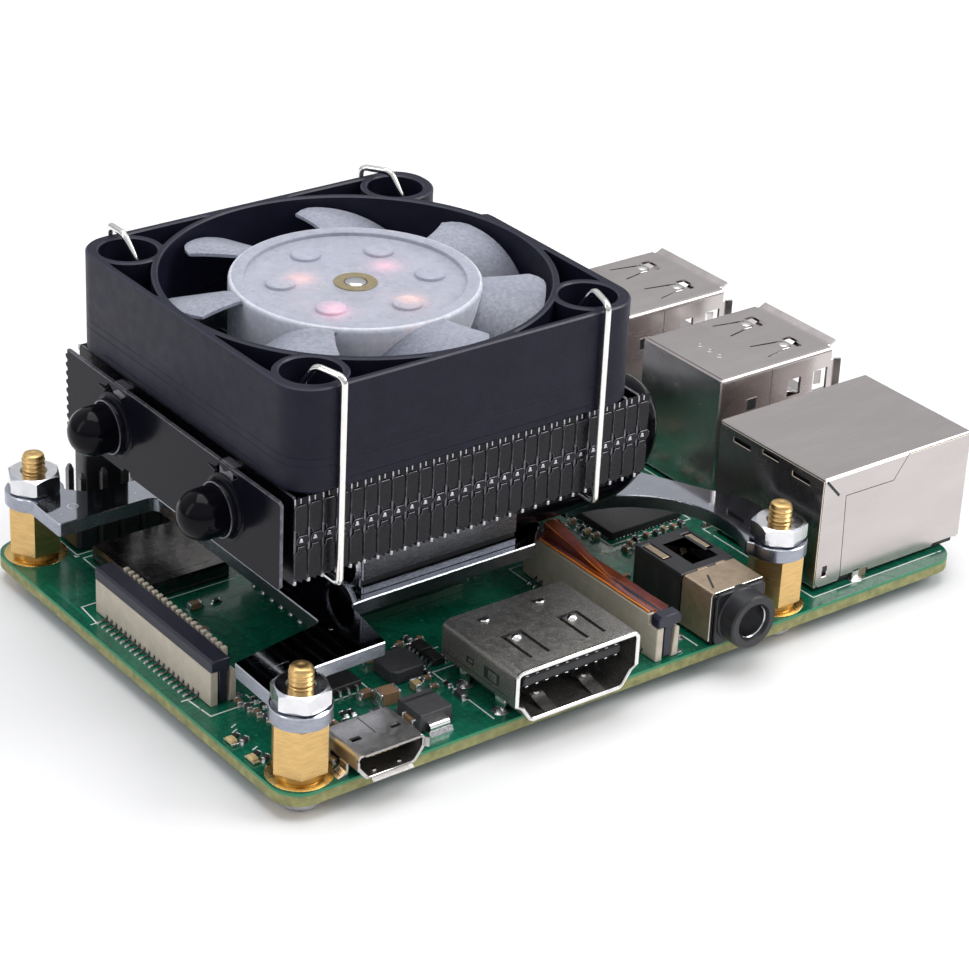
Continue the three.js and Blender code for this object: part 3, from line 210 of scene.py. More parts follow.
# Columns: colour, roughness, metal, colour spread and its scale, roughness spread and its scale,
# grain height in micrometres and its scale
FINISHES = {
    "resist_green": ((0.0035, 0.118, 0.066), 0.26, 0, 0.22, 260, 0.06, 700, 4, 5200),
    "resist_over_copper": ((0.008, 0.185, 0.105), 0.24, 0.1, 0.2, 500, 0.05, 900, 4, 5200),
    "laminate_edge": ((0.25, 0.25, 0.09), 0.62, 0, 0.25, 900, 0.08, 1500, 20, 9000),
    "gold_plate": ((0.78, 0.55, 0.2), 0.27, 1, 0.1, 2500, 0.08, 2200, 6, 9000),
    "legend_ink": ((0.72, 0.78, 0.74), 0.6, 0, 0.08, 3000, 0.05, 3000, 10, 14000),
    "solder": ((0.66, 0.66, 0.68), 0.24, 1, 0.14, 3000, 0.1, 4000, 30, 5000),
    "tin_cap": ((0.7, 0.7, 0.71), 0.3, 1, 0.14, 5000, 0.1, 5000, 20, 9000),
    "ceramic_brown": ((0.26, 0.155, 0.085), 0.42, 0, 0.2, 3000, 0.06, 3000, 10, 12000),
    "ceramic_tan": ((0.52, 0.37, 0.18), 0.4, 0, 0.2, 3000, 0.06, 3000, 10, 12000),
    "moulded_epoxy": ((0.018, 0.018, 0.02), 0.46, 0, 0.25, 2500, 0.07, 3000, 18, 16000),
    "epoxy_grey": ((0.05, 0.05, 0.054), 0.5, 0, 0.2, 2500, 0.07, 3000, 18, 15000),
    "package_substrate": ((0.012, 0.075, 0.045), 0.4, 0, 0.2, 2600, 0.05, 2000, 6, 9000),
    "gap_pad": ((0.3, 0.36, 0.44), 0.85, 0, 0.15, 3500, 0.04, 2000, 40, 5000),
    "ferrite": ((0.05, 0.05, 0.055), 0.6, 0.2, 0.3, 3000, 0.08, 3000, 30, 11000),
    "nickel_sheet": ((0.56, 0.52, 0.51), 0.24, 1, 0.05, 260, 0.05, 420, 1, 2600),
    "sheared_edge": ((0.72, 0.66, 0.56), 0.3, 1, 0.12, 3000, 0.08, 3000, 10, 9000),
    "grainy_plate": (None, 0.42, 1, 0.12, 1500, 0.07, 1500, 12, 11000),
    "port_plate": ((0.6, 0.58, 0.56), 0.34, 1, 0.12, 1800, 0.07, 1500, 12, 9500),
    "bright_steel": ((0.86, 0.85, 0.84), 0.16, 1, 0.06, 2000, 0.06, 2000, 5, 7000),
    # tin darkened far below bare tin: painted shade under the cooler
    "dark_tin_painted_shade": ((0.13, 0.125, 0.12), 0.26, 1, 0.25, 500, 0.08, 700, 12, 3500),
    "turned_brass": ((0.72, 0.48, 0.2), 0.33, 1, 0.12, 700, 0.08, 900, 6, 3800),
    "nickel_nut": ((0.8, 0.8, 0.82), 0.14, 1, 0.08, 900, 0.06, 1200, 6, 3500),
    "zinc_screw": ((0.56, 0.56, 0.58), 0.3, 1, 0.12, 900, 0.08, 1200, 10, 6000),
    "black_nickel": ((0.42, 0.44, 0.49), 0.075, 1, 0.06, 320, 0.03, 500, 1.2, 1400),
    "milled_edge": ((0.66, 0.68, 0.75), 0.2, 1, 0.1, 1200, 0.08, 1800, 10, 8000),
    "black_nickel_fin": ((0.0035, 0.0036, 0.0055), 0.24, 0, 0.3, 900, 0.06, 1200, 4, 2600),
    "fin_flange": ((0.009, 0.0092, 0.0118), 0.26, 0, 0.3, 700, 0.06, 1200, 6, 2200),
    # lighter grey metal for the edges of the fins and the end plate: a painted edge highlight
    "fin_edge_painted_highlight": ((0.13, 0.13, 0.15), 0.32, 0.6, 0.45, 1500, 0.08, 1800, 6, 4200),
    # bright metal patches on the fin flanges: painted highlights
    "fin_patch_painted_highlight": ((0.5, 0.5, 0.54), 0.3, 0.9, 0.3, 2600, 0.08, 2600, 10, 6000),
    "end_plate": ((0.0045, 0.0047, 0.0085), 0.16, 0, 0.2, 300, 0.05, 500, 2, 1600),
    "black_pipe": ((0.0022, 0.0022, 0.0042), 0.13, 0, 0.25, 500, 0.04, 800, 2, 1500),
    "spring_wire": ((0.88, 0.87, 0.85), 0.1, 1, 0.06, 1500, 0.05, 1500, 3, 5000),
    "ground_shaft": ((0.62, 0.62, 0.64), 0.2, 1, 0.1, 900, 0.06, 1200, 4, 4000),
    "enamelled_wire": ((0.62, 0.22, 0.07), 0.3, 0.85, 0.18, 1200, 0.06, 1500, 10, 3000),
    "core_steel": ((0.16, 0.16, 0.17), 0.5, 0.8, 0.2, 1500, 0.08, 1500, 10, 4000),
    "bracket_side": ((0.34, 0.36, 0.42), 0.22, 1, 0.12, 900, 0.06, 1400, 10, 6500),
    "lapped_face": ((0.2, 0.21, 0.24), 0.25, 0.9, 0.16, 900, 0.06, 1200, 8, 5000),
    "fan_plastic": ((0.0085, 0.0092, 0.0215), 0.44, 0, 0.18, 420, 0.06, 700, 30, 7500),
    "fan_rim": ((0.022, 0.024, 0.044), 0.38, 0, 0.15, 600, 0.05, 800, 12, 7500),
    "sintered_bush": ((0.24, 0.195, 0.105), 0.42, 0.1, 0.2, 2200, 0.07, 1800, 12, 7000),
    # pins in a nickel-grey metal darkened well below bare nickel: the darkening is painted shade
    "header_pin": ((0.2, 0.2, 0.21), 0.3, 0.9, 0.15, 900, 0.06, 1200, 4, 4000),
    "black_plastic": ((0.014, 0.0145, 0.018), 0.4, 0, 0.2, 1200, 0.07, 1200, 10, 9000),
    "inner_plastic": ((0.02, 0.021, 0.024), 0.5, 0, 0.2, 1200, 0.07, 1200, 10, 9000),
    "latch_plastic": ((0.017, 0.018, 0.034), 0.36, 0, 0.18, 1200, 0.07, 1200, 12, 8000),
    "beige_nylon": ((0.56, 0.5, 0.41), 0.48, 0, 0.1, 700, 0.06, 1200, 12, 7500),
    "tan_sheet": ((0.46, 0.36, 0.26), 0.36, 0.9, 0.14, 900, 0.08, 1400, 10, 7000),
    "bonded_magnet": ((0.03, 0.03, 0.032), 0.6, 0.2, 0.3, 2500, 0.08, 2500, 20, 8000),
    "wire_insulation": ((0.016, 0.016, 0.017), 0.5, 0, 0.25, 1500, 0.07, 1500, 20, 5000),
    "red_insulation": ((0.4, 0.02, 0.015), 0.42, 0, 0.2, 1500, 0.07, 1500, 20, 5000),
    "lamp_lens": ((0.62, 0.48, 0.24), 0.25, 0, 0.15, 2500, 0.05, 1500, 6, 7000),
    "amber_film": ((0.22, 0.05, 0.012), 0.18, 0, 0.25, 500, 0.05, 700, 10, 1800),
    # bright orange for the film's edges: a painted highlight
    "amber_edge_painted_highlight": ((0.95, 0.28, 0.03), 0.3, 0, 0.1, 1500, 0.05, 1500, 10, 5000),
}
EXTRAS = {
    "resist_green": dict(coat=0.25), "resist_over_copper": dict(coat=0.25),
    "laminate_edge": dict(light=(0.36, 0.35, 0.15)), "amber_film": dict(coat=0.4),
    "moulded_epoxy": dict(detail=2), "epoxy_grey": dict(detail=2), "grainy_plate": dict(detail=4),
    "port_plate": dict(detail=4), "beige_nylon": dict(detail=4),
    "fan_plastic": dict(detail=4, specular=0.2), "nickel_sheet": dict(stretch=(0.35, 1.6, 1.2)),
    "turned_brass": dict(stretch=(1, 1, 5)), "milled_edge": dict(stretch=(1, 1, 4)),
    "ground_shaft": dict(stretch=(1, 1, 6)), "bracket_side": dict(stretch=(1, 1, 4)),
    "lapped_face": dict(stretch=(1, 1, 6)), "header_pin": dict(stretch=(1, 1, 6)),
    "black_nickel_fin": dict(specular=0.18), "fin_flange": dict(specular=0.22),
    "fin_edge_painted_highlight": dict(specular=0.4), "end_plate": dict(specular=0.1),
    "black_pipe": dict(specular=0.12),
}


def detail_resist(surface):
    """Copper pour and glass weave just showing through."""
    edges = surface.cells(scale=240, feature="DISTANCE_TO_EDGE")
    pour = surface.remap(edges, (0.03, 0.07), (1.0, 0.0))
    weave = surface.math("MULTIPLY", surface.bands(420, "X", distortion=0.6),
                         surface.bands(420, "Y", distortion=0.6))
    colour = surface.mix(surface.math("MULTIPLY", pour, 0.35), surface.colour, (0.001, 0.06, 0.04))
    colour = surface.mix(surface.math("MULTIPLY", weave, 0.16), colour, (0.03, 0.26, 0.15))
    surface.set("Base Color", colour)
    surface.bump(pour, micrometres=20, strength=0.5)
    surface.bump(weave, micrometres=4, strength=0.4)


def detail_laminate(surface):
    """Layers of the cut edge, with a green lip at the top."""
    layers = surface.bands(1400, "Z", distortion=1.2)
    lip = surface.remap(surface.xyz()[2], (0.00258, 0.00285), (0.0, 1.0))
    colour = surface.mix(surface.math("MULTIPLY", layers, 0.35), surface.colour, (0.16, 0.17, 0.06))
    surface.set("Base Color", surface.mix(lip, colour, (0.03, 0.26, 0.13)))
    surface.bump(layers, micrometres=30, strength=0.6)


def detail_nickel(surface):
    dust = surface.remap(surface.noise(5200, detail=2, rough=0.5), (0.66, 0.74), (0, 1))
    dust = surface.math("MULTIPLY", dust, 0.16)
    surface.set("Base Color", surface.mix(dust, surface.colour, (0.4, 0.37, 0.34)))
    surface.bump(surface.noise(14000, detail=2), micrometres=1, strength=0.8)


def detail_grainy(surface):
    specks = surface.remap(surface.noise(9500, detail=3, rough=0.7), (0.42, 0.62), (0, 1))
    surface.set("Base Color", surface.mix(specks, (0.27, 0.26, 0.25), (0.58, 0.56, 0.53)))


def detail_can(surface):
    surface.bump(surface.noise(620, detail=2, rough=0.5), micrometres=50)


def detail_brass(surface):
    surface.bump(surface.noise(6000, detail=2), micrometres=8, strength=0.6)
    stain = surface.remap(surface.noise(2600), (0.64, 0.74), (0, 0.35))
    surface.set("Base Color", surface.mix(stain, surface.colour, (0.36, 0.19, 0.07)))


def detail_black_nickel(surface):
    surface.bump(surface.noise(9000, detail=2, rough=0.5), micrometres=1, strength=0.6)
    specks = surface.remap(surface.noise(3000, detail=1, rough=0.4), (0.775, 0.79), (0, 0.8))
    surface.set("Base Color", surface.mix(specks, surface.colour, (0.9, 0.9, 0.92)))


def detail_end_plate(surface):
    surface.bump(surface.noise(9000, detail=2), micrometres=2, strength=0.6)


def detail_wire(surface):
    surface.bump(surface.bands(2200, "Z", distortion=0.3), micrometres=50, strength=0.8)


def detail_fan_plastic(surface):
    surface.bump(surface.cells(scale=5200, feature="F1"), micrometres=12, strength=0.6)


def detail_lens(surface):
    surface.set("Subsurface Weight", 0.2)
    surface.set("Subsurface Radius", (0.001, 0.0007, 0.0003))
    surface.set("Subsurface Scale", 0.2)


def detail_amber(surface):
    """Thin and partly see-through, with a faint violet sheen."""
    sheen = surface.remap(surface.noise(120, detail=2, rough=0.5), (0.45, 0.6), (0, 0.55))
    sheen = surface.math("MULTIPLY", sheen, 0.5)
    surface.set("Base Color", surface.mix(sheen, surface.colour, (0.2, 0.14, 0.22)))
    surface.see_through(tint=(1, 0.55, 0.25), opacity=0.8)


def make_lamp(name, colour):
    """A small lamp body that glows in its own colour."""
    surface = finish(name, tuple(0.6 * c for c in colour), rough=0.3, metal=0, spread=0.12,
                     scale=2500, rough_spread=0.05, rough_scale=1500, grain=6, grain_scale=7000)
    mottle = surface.remap(surface.noise(2500, detail=2, rough=0.5), (0.3, 0.7), (0, 1))
    surface.set("Emission Color", surface.mix(mottle, tuple(0.8 * c for c in colour), colour))
    surface.set("Emission Strength", 0.8)


def add_glow(surface, lamps):
    """Soft glow over each lamp: a tight core in a wide halo, near the hub's skin only."""
    x, y, z = surface.xyz()
    near_top = surface.remap(z, (0.0358, 0.0366), (0.0, 1.0))
    colour, total = None, None
    for lamp_x, lamp_y, lamp_colour in lamps:
        across = surface.math("SUBTRACT", x, lamp_x)
        along = surface.math("SUBTRACT", y, lamp_y)
        squares = surface.math("ADD", surface.math("MULTIPLY", across, across),
                               surface.math("MULTIPLY", along, along))
        distance = surface.math("SQRT", squares)
        glow = []
        for reach, power, gain in ((0.0022, 1.4, 0.85), (0.0046, 2.0, 0.25)):
            fade = surface.remap(distance, (0.0, reach), (1.0, 0.0))
            glow.append(surface.math("MULTIPLY", surface.math("POWER", fade, power), gain))
        share = surface.math("ADD", *glow)
        lit = surface.mix(share, (0, 0, 0), lamp_colour)
        colour = lit if colour is None else surface.mix(1.0, colour, lit, "ADD")
        total = share if total is None else surface.math("ADD", total, share)
    mottle = surface.remap(surface.noise(1200), (0.3, 0.7), (0, 1))
    mottle = surface.mix(mottle, (0.75, 0.75, 0.75), (1, 1, 1))
    surface.set("Emission Color", surface.mix(1.0, colour, mottle, "MULTIPLY"))
    surface.set("Emission Strength", surface.math("MULTIPLY", near_top, 0.75))


def make_frosted(name, colour, rough, open_share, cloudiness, cloud_scale, foot_shade=None, lamps=()):
    """Milky plastic, partly see-through where it is faced square on. A darker colour, if given, is
    painted toward its foot as shade.
    """
    surface = finish(name, colour, rough, metal=0, spread=0.06, scale=500, rough_spread=0.05,
                     rough_scale=900, grain=10, grain_scale=5200, detail=4, coat=0.15)
    # painted shade: the colour darkens toward the foot
    if foot_shade:
        height = surface.remap(surface.xyz()[2], (0.0336, 0.0371), (0, 1))
        surface.set("Base Color", surface.mix(height, foot_shade, surface.colour))
    surface.set("Subsurface Weight", 0.3)
    surface.set("Subsurface Radius", (0.0012, 0.0013, 0.0015))
    surface.set("Subsurface Scale", 0.5)
    facing = surface.node("ShaderNodeLayerWeight")
    facing.inputs[0].default_value = 0.35
    clouds = surface.noise(cloud_scale, detail=4, rough=0.7)
    opacity = surface.math(
        "ADD", surface.remap(facing.outputs["Facing"], (0.0, 0.9), (1 - open_share, 1.0)),
        surface.remap(clouds, (0.3, 0.7), (-cloudiness, cloudiness)))
    surface.see_through(tint=(0.9, 0.93, 0.96), opacity=surface.math("MINIMUM", opacity, 1.0))
    if lamps:
        add_glow(surface, lamps)


for name, values in FINISHES.items():
    finish(name, *values, **EXTRAS.get(name, {}))
for name, add_detail in {
    "resist_green": detail_resist, "laminate_edge": detail_laminate,
    "nickel_sheet": detail_nickel, "grainy_plate": detail_grainy, "dark_tin_painted_shade": detail_can,
    "turned_brass": detail_brass, "black_nickel": detail_black_nickel,
    "end_plate": detail_end_plate, "enamelled_wire": detail_wire,
    "fan_plastic": detail_fan_plastic, "lamp_lens": detail_lens, "amber_film": detail_amber,
}.items():
    add_detail(SURFACES[name])
make_lamp("lamp_orange", (1.0, 0.33, 0.08))
make_lamp("lamp_pink", (1.0, 0.26, 0.36))

# Glows on the hub: x and y from the fan's axis in millimetres, and the colour
HUB_GLOWS = [(4.55, 1.35, (1.0, 0.27, 0.36)), (-4.35, 3.0, (1.0, 0.33, 0.17)),
             (-5.75, -5.0, (1.0, 0.27, 0.36)), (1.9, -6.7, (1.0, 0.38, 0.14))]
# the blades' darker colour toward their foot is painted shade
make_frosted("frosted_blade", (0.36, 0.375, 0.45), rough=0.34, open_share=0.55, cloudiness=0.18,
             cloud_scale=2400, foot_shade=(0.13, 0.138, 0.18))
make_frosted("frosted_hub", (0.45, 0.465, 0.55), rough=0.3, open_share=0.46, cloudiness=0.08,
             cloud_scale=1100, lamps=[((FAN_X + x - ORIGIN[0]) / 1000,
                                       (FAN_Y + y - ORIGIN[1]) / 1000, c) for x, y, c in HUB_GLOWS])
make_frosted("frosted_skirt", (0.72, 0.74, 0.83), rough=0.26, open_share=0.3, cloudiness=0.12,
             cloud_scale=1500)


# ------------------------------------------------------------------ outlines
def circle(x, y, radius, n=32):
    turns = [2 * math.pi * i / n for i in range(n)]
    return [(x + radius * math.cos(t), y + radius * math.sin(t)) for t in turns]


def arc(x, y, radius, first, last, n=8):
    """Points along an arc between two angles in degrees."""
    turns = [math.radians(first + (last - first) * i / n) for i in range(n + 1)]
    return [(x + radius * math.cos(t), y + radius * math.sin(t)) for t in turns]


def rounded(x0, x1, y0, y1, r, n=6):
    """Rectangle with round corners of radius r."""
    return (arc(x1 - r, y0 + r, r, -90, 0, n) + arc(x1 - r, y1 - r, r, 0, 90, n)
            + arc(x0 + r, y1 - r, r, 90, 180, n) + arc(x0 + r, y0 + r, r, 180, 270, n))


def rect(x0, x1, y0, y1):
    return [(x0, y0), (x1, y0), (x1, y1), (x0, y1)]


def counterclockwise(outline):
    points = [tuple(p) for p in outline]
    pairs = zip(points, points[1:] + points[:1])
    return points if sum(a[0] * b[1] - b[0] * a[1] for a, b in pairs) > 0 else points[::-1]


def offset(path, distance, closed=False, tightest=0.35):
    """A path moved to its left. tightest limits how far a sharp corner may run out."""
    n = len(path)
    normals = []
    for i in range(n if closed else n - 1):
        here, there = path[i], path[(i + 1) % n]
        step_x, step_y = there[0] - here[0], there[1] - here[1]
        length = math.hypot(step_x, step_y) or 1e-9
        normals.append((-step_y / length, step_x / length))
    moved = []
    for i, (x, y) in enumerate(path):
        before = normals[i - 1 if closed else max(0, i - 1)]
        after = normals[i if closed else min(n - 2, i)]
        fit = max(1 + before[0] * after[0] + before[1] * after[1], tightest)
        moved.append((x + distance * (before[0] + after[0]) / fit,
                      y + distance * (before[1] + after[1]) / fit))
    return moved


def strip(path, width):
    """Closed outline of a band whose middle follows an open path."""
    return counterclockwise(offset(path, -width / 2) + offset(path, width / 2)[::-1])


def fillet(points, radius, n=5):
    """Rounds the corners of an open chain of points, in 2D or 3D."""
    chain = [Vector(p) for p in points]
    smooth = [chain[0]]
    for before, corner, after in zip(chain, chain[1:], chain[2:]):
        back, ahead = before - corner, after - corner
        reach = min(radius, back.length * 0.48, ahead.length * 0.48)
        first = corner + back.normalized() * reach
        last = corner + ahead.normalized() * reach
        for i in range(n + 1):
            t = i / n
            smooth.append(first * (1 - t) ** 2 + corner * 2 * t * (1 - t) + last * t * t)
    smooth.append(chain[-1])
    return smooth


# ------------------------------------------------------------------ mesh kit
class Part:
    """Gathers shapes for one mesh. mat is the place of a finish in the list given to save()."""

    def __init__(self):
        self.points, self.faces, self.mats = [], [], []
        self.matrix = None

    def place(self, x, y, z, turn, down=False):
        """Draws what follows in a frame turned about z, and upside down if asked."""
        self.matrix = (Matrix.Translation((x, y, z))
                       @ Matrix.Rotation(math.radians(turn), 4, "Z"))
        if down:
            self.matrix = self.matrix @ Matrix.Rotation(math.pi, 4, "X")

    def home(self):
        self.matrix = None

    def put(self, points, faces, mat=0, flip=False):
        first = len(self.points)
        if self.matrix is not None:
            points = [self.matrix @ Vector(p) for p in points]
        if flip:
            faces = [tuple(reversed(f)) for f in faces]
        self.points.extend(tuple(p) for p in points)
        self.faces.extend(tuple(i + first for i in f) for f in faces)
        self.mats.extend([mat] * len(faces) if isinstance(mat, int) else mat)

    def box(self, x0, x1, y0, y1, z0, z1, chamfer=0.04, mat=0):
        """Block with chamfered edges."""
        spans = [sorted(pair) for pair in ((x0, x1), (y0, y1), (z0, z1))]
        chamfer = min([chamfer] + [(high - low) * 0.45 for low, high in spans])
        middle = Vector([(low + high) / 2 for low, high in spans])
        points = []
        for ends in product((0, 1), repeat=3):
            for axis in range(3):
                point = [spans[i][ends[i]] for i in range(3)]
                for other in range(3):
                    if other != axis:
                        point[other] += chamfer * (-1 if ends[other] else 1)
                points.append(point)

        def corner(axis, end, second, third, facing):
            ends = [0, 0, 0]
            ends[axis], ends[(axis + 1) % 3], ends[(axis + 2) % 3] = end, second, third
            return (ends[0] * 4 + ends[1] * 2 + ends[2]) * 3 + facing

        faces = []
        for a in range(3):
            b, c = (a + 1) % 3, (a + 2) % 3
            for end in (0, 1):
                around = ((0, 0), (1, 0), (1, 1), (0, 1))
                faces.append([corner(a, end, p, q, a) for p, q in around])
            for p, q in product((0, 1), repeat=2):
                around = ((0, b), (1, b), (1, c), (0, c))
                faces.append([corner(a, end, p, q, facing) for end, facing in around])
        faces += [[i, i + 1, i + 2] for i in range(0, 24, 3)]
        outward = []
        for face in faces:
            p = [Vector(points[i]) for i in face]
            normal = (p[1] - p[0]).cross(p[2] - p[0])
            centre = sum(p, Vector()) / len(p)
            outward.append(face if normal.dot(centre - middle) > 0 else face[::-1])
        self.put(points, outward, mat)

    def prism(self, outline, start, end, axis="z", chamfer=0.0, mat=0, side=None, rim=None,
              holes=(), hole_side=None, base=None):
        """Outline carried along an axis, with open holes.

        base is the chamfer at the low end, if it differs. side, rim and hole_side are
        the finishes of the walls, of the chamfers and of the holes.
        """
        start, end = sorted((start, end))
        side = mat if side is None else side
        rim = mat if rim is None else rim
        hole_side = side if hole_side is None else hole_side
        base = chamfer if base is None else base
        loops = [(counterclockwise(outline), 1)] + [(counterclockwise(h), -1) for h in holes]
        spot = {"z": lambda p, w: (p[0], p[1], w), "x": lambda p, w: (w, p[0], p[1]),
                "y": lambda p, w: (p[0], w, p[1])}[axis]
        points, faces, mats, caps = [], [], [], ([], [])
        for number, (loop, sign) in enumerate(loops):
            n = len(loop)
            rings = [(offset(loop, base * sign, True) if base else loop, start)]
            if base:
                rings.append((loop, start + base))
            if chamfer:
                rings.append((loop, end - chamfer))
            rings.append((offset(loop, chamfer * sign, True) if chamfer else loop, end))
            first = len(points)
            for ring, height in rings:
                points.extend(spot(p, height) for p in ring)
            last = len(rings) - 1
            for row in range(last):
                bevel = (row == 0 and base) or (row == last - 1 and chamfer)
                low, high = first + row * n, first + (row + 1) * n
                for i in range(n):
                    j = (i + 1) % n
                    face = (low + i, low + j, high + j, high + i)
                    faces.append(face if sign > 0 else face[::-1])
                    mats.append(rim if bevel else (side if number == 0 else hole_side))
            caps[0].append((first, rings[0][0]))
            caps[1].append((first + last * n, rings[-1][0]))
        for is_end, cap in enumerate(caps):
            flat = [[Vector((p[0], p[1], 0)) for p in ring] for _, ring in cap]
            ids = [i for first, ring in cap for i in range(first, first + len(ring))]
            corners = [p for ring in flat for p in ring]
            for triangle in tessellate_polygon(flat):
                a, b, c = (corners[i] for i in triangle)
                up = (b - a).cross(c - a).z
                if abs(up) < 1e-12:
                    continue
                face = tuple(ids[i] for i in triangle)
                faces.append(face if (up > 0) == bool(is_end) else face[::-1])
                mats.append(mat)
        self.put(points, faces, mats, axis == "y")

    def band(self, path, width, start, end, axis="z", chamfer=0.0, mat=0, rim=None):
        self.prism(strip(path, width), start, end, axis, chamfer, mat, rim=rim)

    def bend(self, path, radius, n, width, start, end, axis, chamfer, mat=0, rim=None):
        """Bent sheet: a band along a path with rounded corners."""
        self.band(fillet(path, radius, n), width, start, end, axis, chamfer, mat, rim)

    def lathe(self, profile, across=0.0, along=0.0, n=32, axis="z", mat=0, closed=False, mats=None):
        """Profile of (radius, height) turned round an axis at (across, along)."""
        spot = {"z": lambda u, v, h: (u, v, h), "x": lambda u, v, h: (h, u, v),
                "y": lambda u, v, h: (u, h, v)}[axis]
        points, rows = [], []
        for radius, height in profile:
            if radius < 1e-6 and not closed:
                rows.append([len(points)])
                points.append(spot(across, along, height))
            else:
                rows.append(list(range(len(points), len(points) + n)))
                points.extend(spot(u, v, height) for u, v in circle(across, along, radius, n))
        faces, face_mats = [], []
        for row in range(len(rows) if closed else len(rows) - 1):
            low, high = rows[row], rows[(row + 1) % len(rows)]
            for i in range(n):
                j = (i + 1) % n
                if len(low) == 1:
                    faces.append((low[0], high[j], high[i]))
                elif len(high) == 1:
                    faces.append((low[i], low[j], high[0]))
                else:
                    faces.append((low[i], low[j], high[j], high[i]))
                face_mats.append(mats[row] if mats else mat)
        self.put(points, faces, face_mats, axis == "y")

    def cylinder(self, across, along, low, high, radius, n=24, chamfer=0.05, axis="z", mat=0):
        c = min(chamfer, radius * 0.45, (high - low) * 0.45)
        self.lathe([(0, low), (radius - c, low), (radius, low + c), (radius, high - c),
                    (radius - c, high), (0, high)], across, along, n, axis, mat)

    def ring(self, across, along, low, high, inner, outer, n=32, chamfer=0.03, axis="z", mat=0):
        c = chamfer
        self.lathe([(inner + c, low), (outer - c, low), (outer, low + c), (outer, high - c),
                    (outer - c, high), (inner + c, high), (inner, high - c), (inner, low + c)],
                   across, along, n, axis, mat, closed=True)

    def tube(self, path, radius, n=12, mat=0, ends="round"):
        """Round bar along a path. radius may be a list with one value for every point."""
        path = [Vector(p) for p in path]
        radii = radius if isinstance(radius, list) else [radius] * len(path)
        tangents = [(path[min(len(path) - 1, i + 1)] - path[max(0, i - 1)]).normalized()
                    for i in range(len(path))]
        up = Vector((0, 0, 1)) if abs(tangents[0].z) < 0.9 else Vector((1, 0, 0))
        normal = (up - tangents[0] * up.dot(tangents[0])).normalized()
        rings = []
        for i, tangent in enumerate(tangents):
            if i:
                normal = tangents[i - 1].rotation_difference(tangent) @ normal
                normal = (normal - tangent * normal.dot(tangent)).normalized()
            rings.append((path[i], normal.copy(), tangent.cross(normal), radii[i]))
        if ends == "round":
            caps = []
            for at, sign, steps in ((0, -1, (4, 3, 2, 1)), (-1, 1, (1, 2, 3, 4))):
                angles = [math.radians(90 * step / 4.3) for step in steps]
                caps.append([(path[at] + tangents[at] * (sign * radii[at] * math.sin(a)),
                              rings[at][1], rings[at][2], radii[at] * math.cos(a)) for a in angles])
            rings = caps[0] + rings + caps[1]
        points, faces = [], []
        for centre, first, second, size in rings:
            for i in range(n):
                t = 2 * math.pi * i / n
                points.append(centre + first * size * math.cos(t) + second * size * math.sin(t))
        for row in range(len(rings) - 1):
            for i in range(n):
                j = (i + 1) % n
                faces.append((row * n + i, row * n + j, (row + 1) * n + j, (row + 1) * n + i))
        faces.append(tuple(reversed(range(n))))
        faces.append(tuple(range((len(rings) - 1) * n, len(rings) * n)))
        self.put(points, faces, mat)

    def save(self, name, finishes, slot, nodes=(), body="board", sharp=32):
        """Makes the object. sharp is the angle in degrees over which an edge isn't smoothed."""
        mesh = bpy.data.meshes.new(name)
        points = np.array(self.points, float) * MM - np.array(ORIGIN) * MM
        mesh.from_pydata(points.tolist(), [], self.faces)
        mesh.polygons.foreach_set("material_index", self.mats)
        for key in finishes:
            mesh.materials.append(SURFACES[key].material)
        mesh.polygons.foreach_set("use_smooth", [True] * len(mesh.polygons))
        mesh.update()
        mesh.set_sharp_from_angle(angle=math.radians(sharp))
        made = bpy.data.objects.new(name, mesh)
        COLLECTION.objects.link(made)
        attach(made, body)
        if nodes:
            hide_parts(*nodes)


# ------------------------------------------------------------------ board
def build_board():
    part = Part()
    holes = [circle(x, y, 1.35) for x, y in POSTS.values()]
    holes += [circle(4.1, y, 0.6, 16) for y in (20.9, 35.4)]
    part.prism(rounded(0, BOARD_X, 0, BOARD_Y, 3, 12), 0, BOARD_TOP, chamfer=0.05, side=1, rim=1,
               holes=holes, hole_side=2)
    # plated land round every post, on both faces
    for x, y in POSTS.values():
        part.lathe([(1.36, 1.4), (3.25, 1.4), (3.22, 1.417), (1.36, 1.417)], x, y, 40, mat=2,
                   closed=True)
        part.lathe([(1.36, -0.016), (3.22, -0.016), (3.25, 0.0), (1.36, 0.0)], x, y, 40, mat=2,
                   closed=True)
    part.save("board_laminate", ["resist_green", "laminate_edge", "gold_plate"], "solder_mask",
              ["pcb"])


def wander(x, y, heading, steps, rng):
    """A track that turns by 45 degrees now and then."""
    path = [(x, y)]
    for i in range(steps):
        length = rng.uniform(2.0, 8.5) if i % 2 == 0 else rng.uniform(0.8, 2.6)
        x += length * math.cos(math.radians(heading))
        y += length * math.sin(math.radians(heading))
        x, y = min(82.5, max(1.2, x)), min(54.6, max(1.2, y))
        if math.hypot(x - path[-1][0], y - path[-1][1]) < 0.5:
            break
        path.append((x, y))
        straight_on = i % 2 == 1 and rng.random() < 0.3
        heading += 0 if straight_on else rng.choice((-45, 45))
    return path


def is_clear(x, y, margin):
    """Whether a spot keeps a margin to the board's edges and the post lands."""
    if not (margin < x < BOARD_X - margin and margin < y < BOARD_Y - margin):
        return False
    return all(math.hypot(x - px, y - py) >= 3.5 + margin for px, py in POSTS.values())


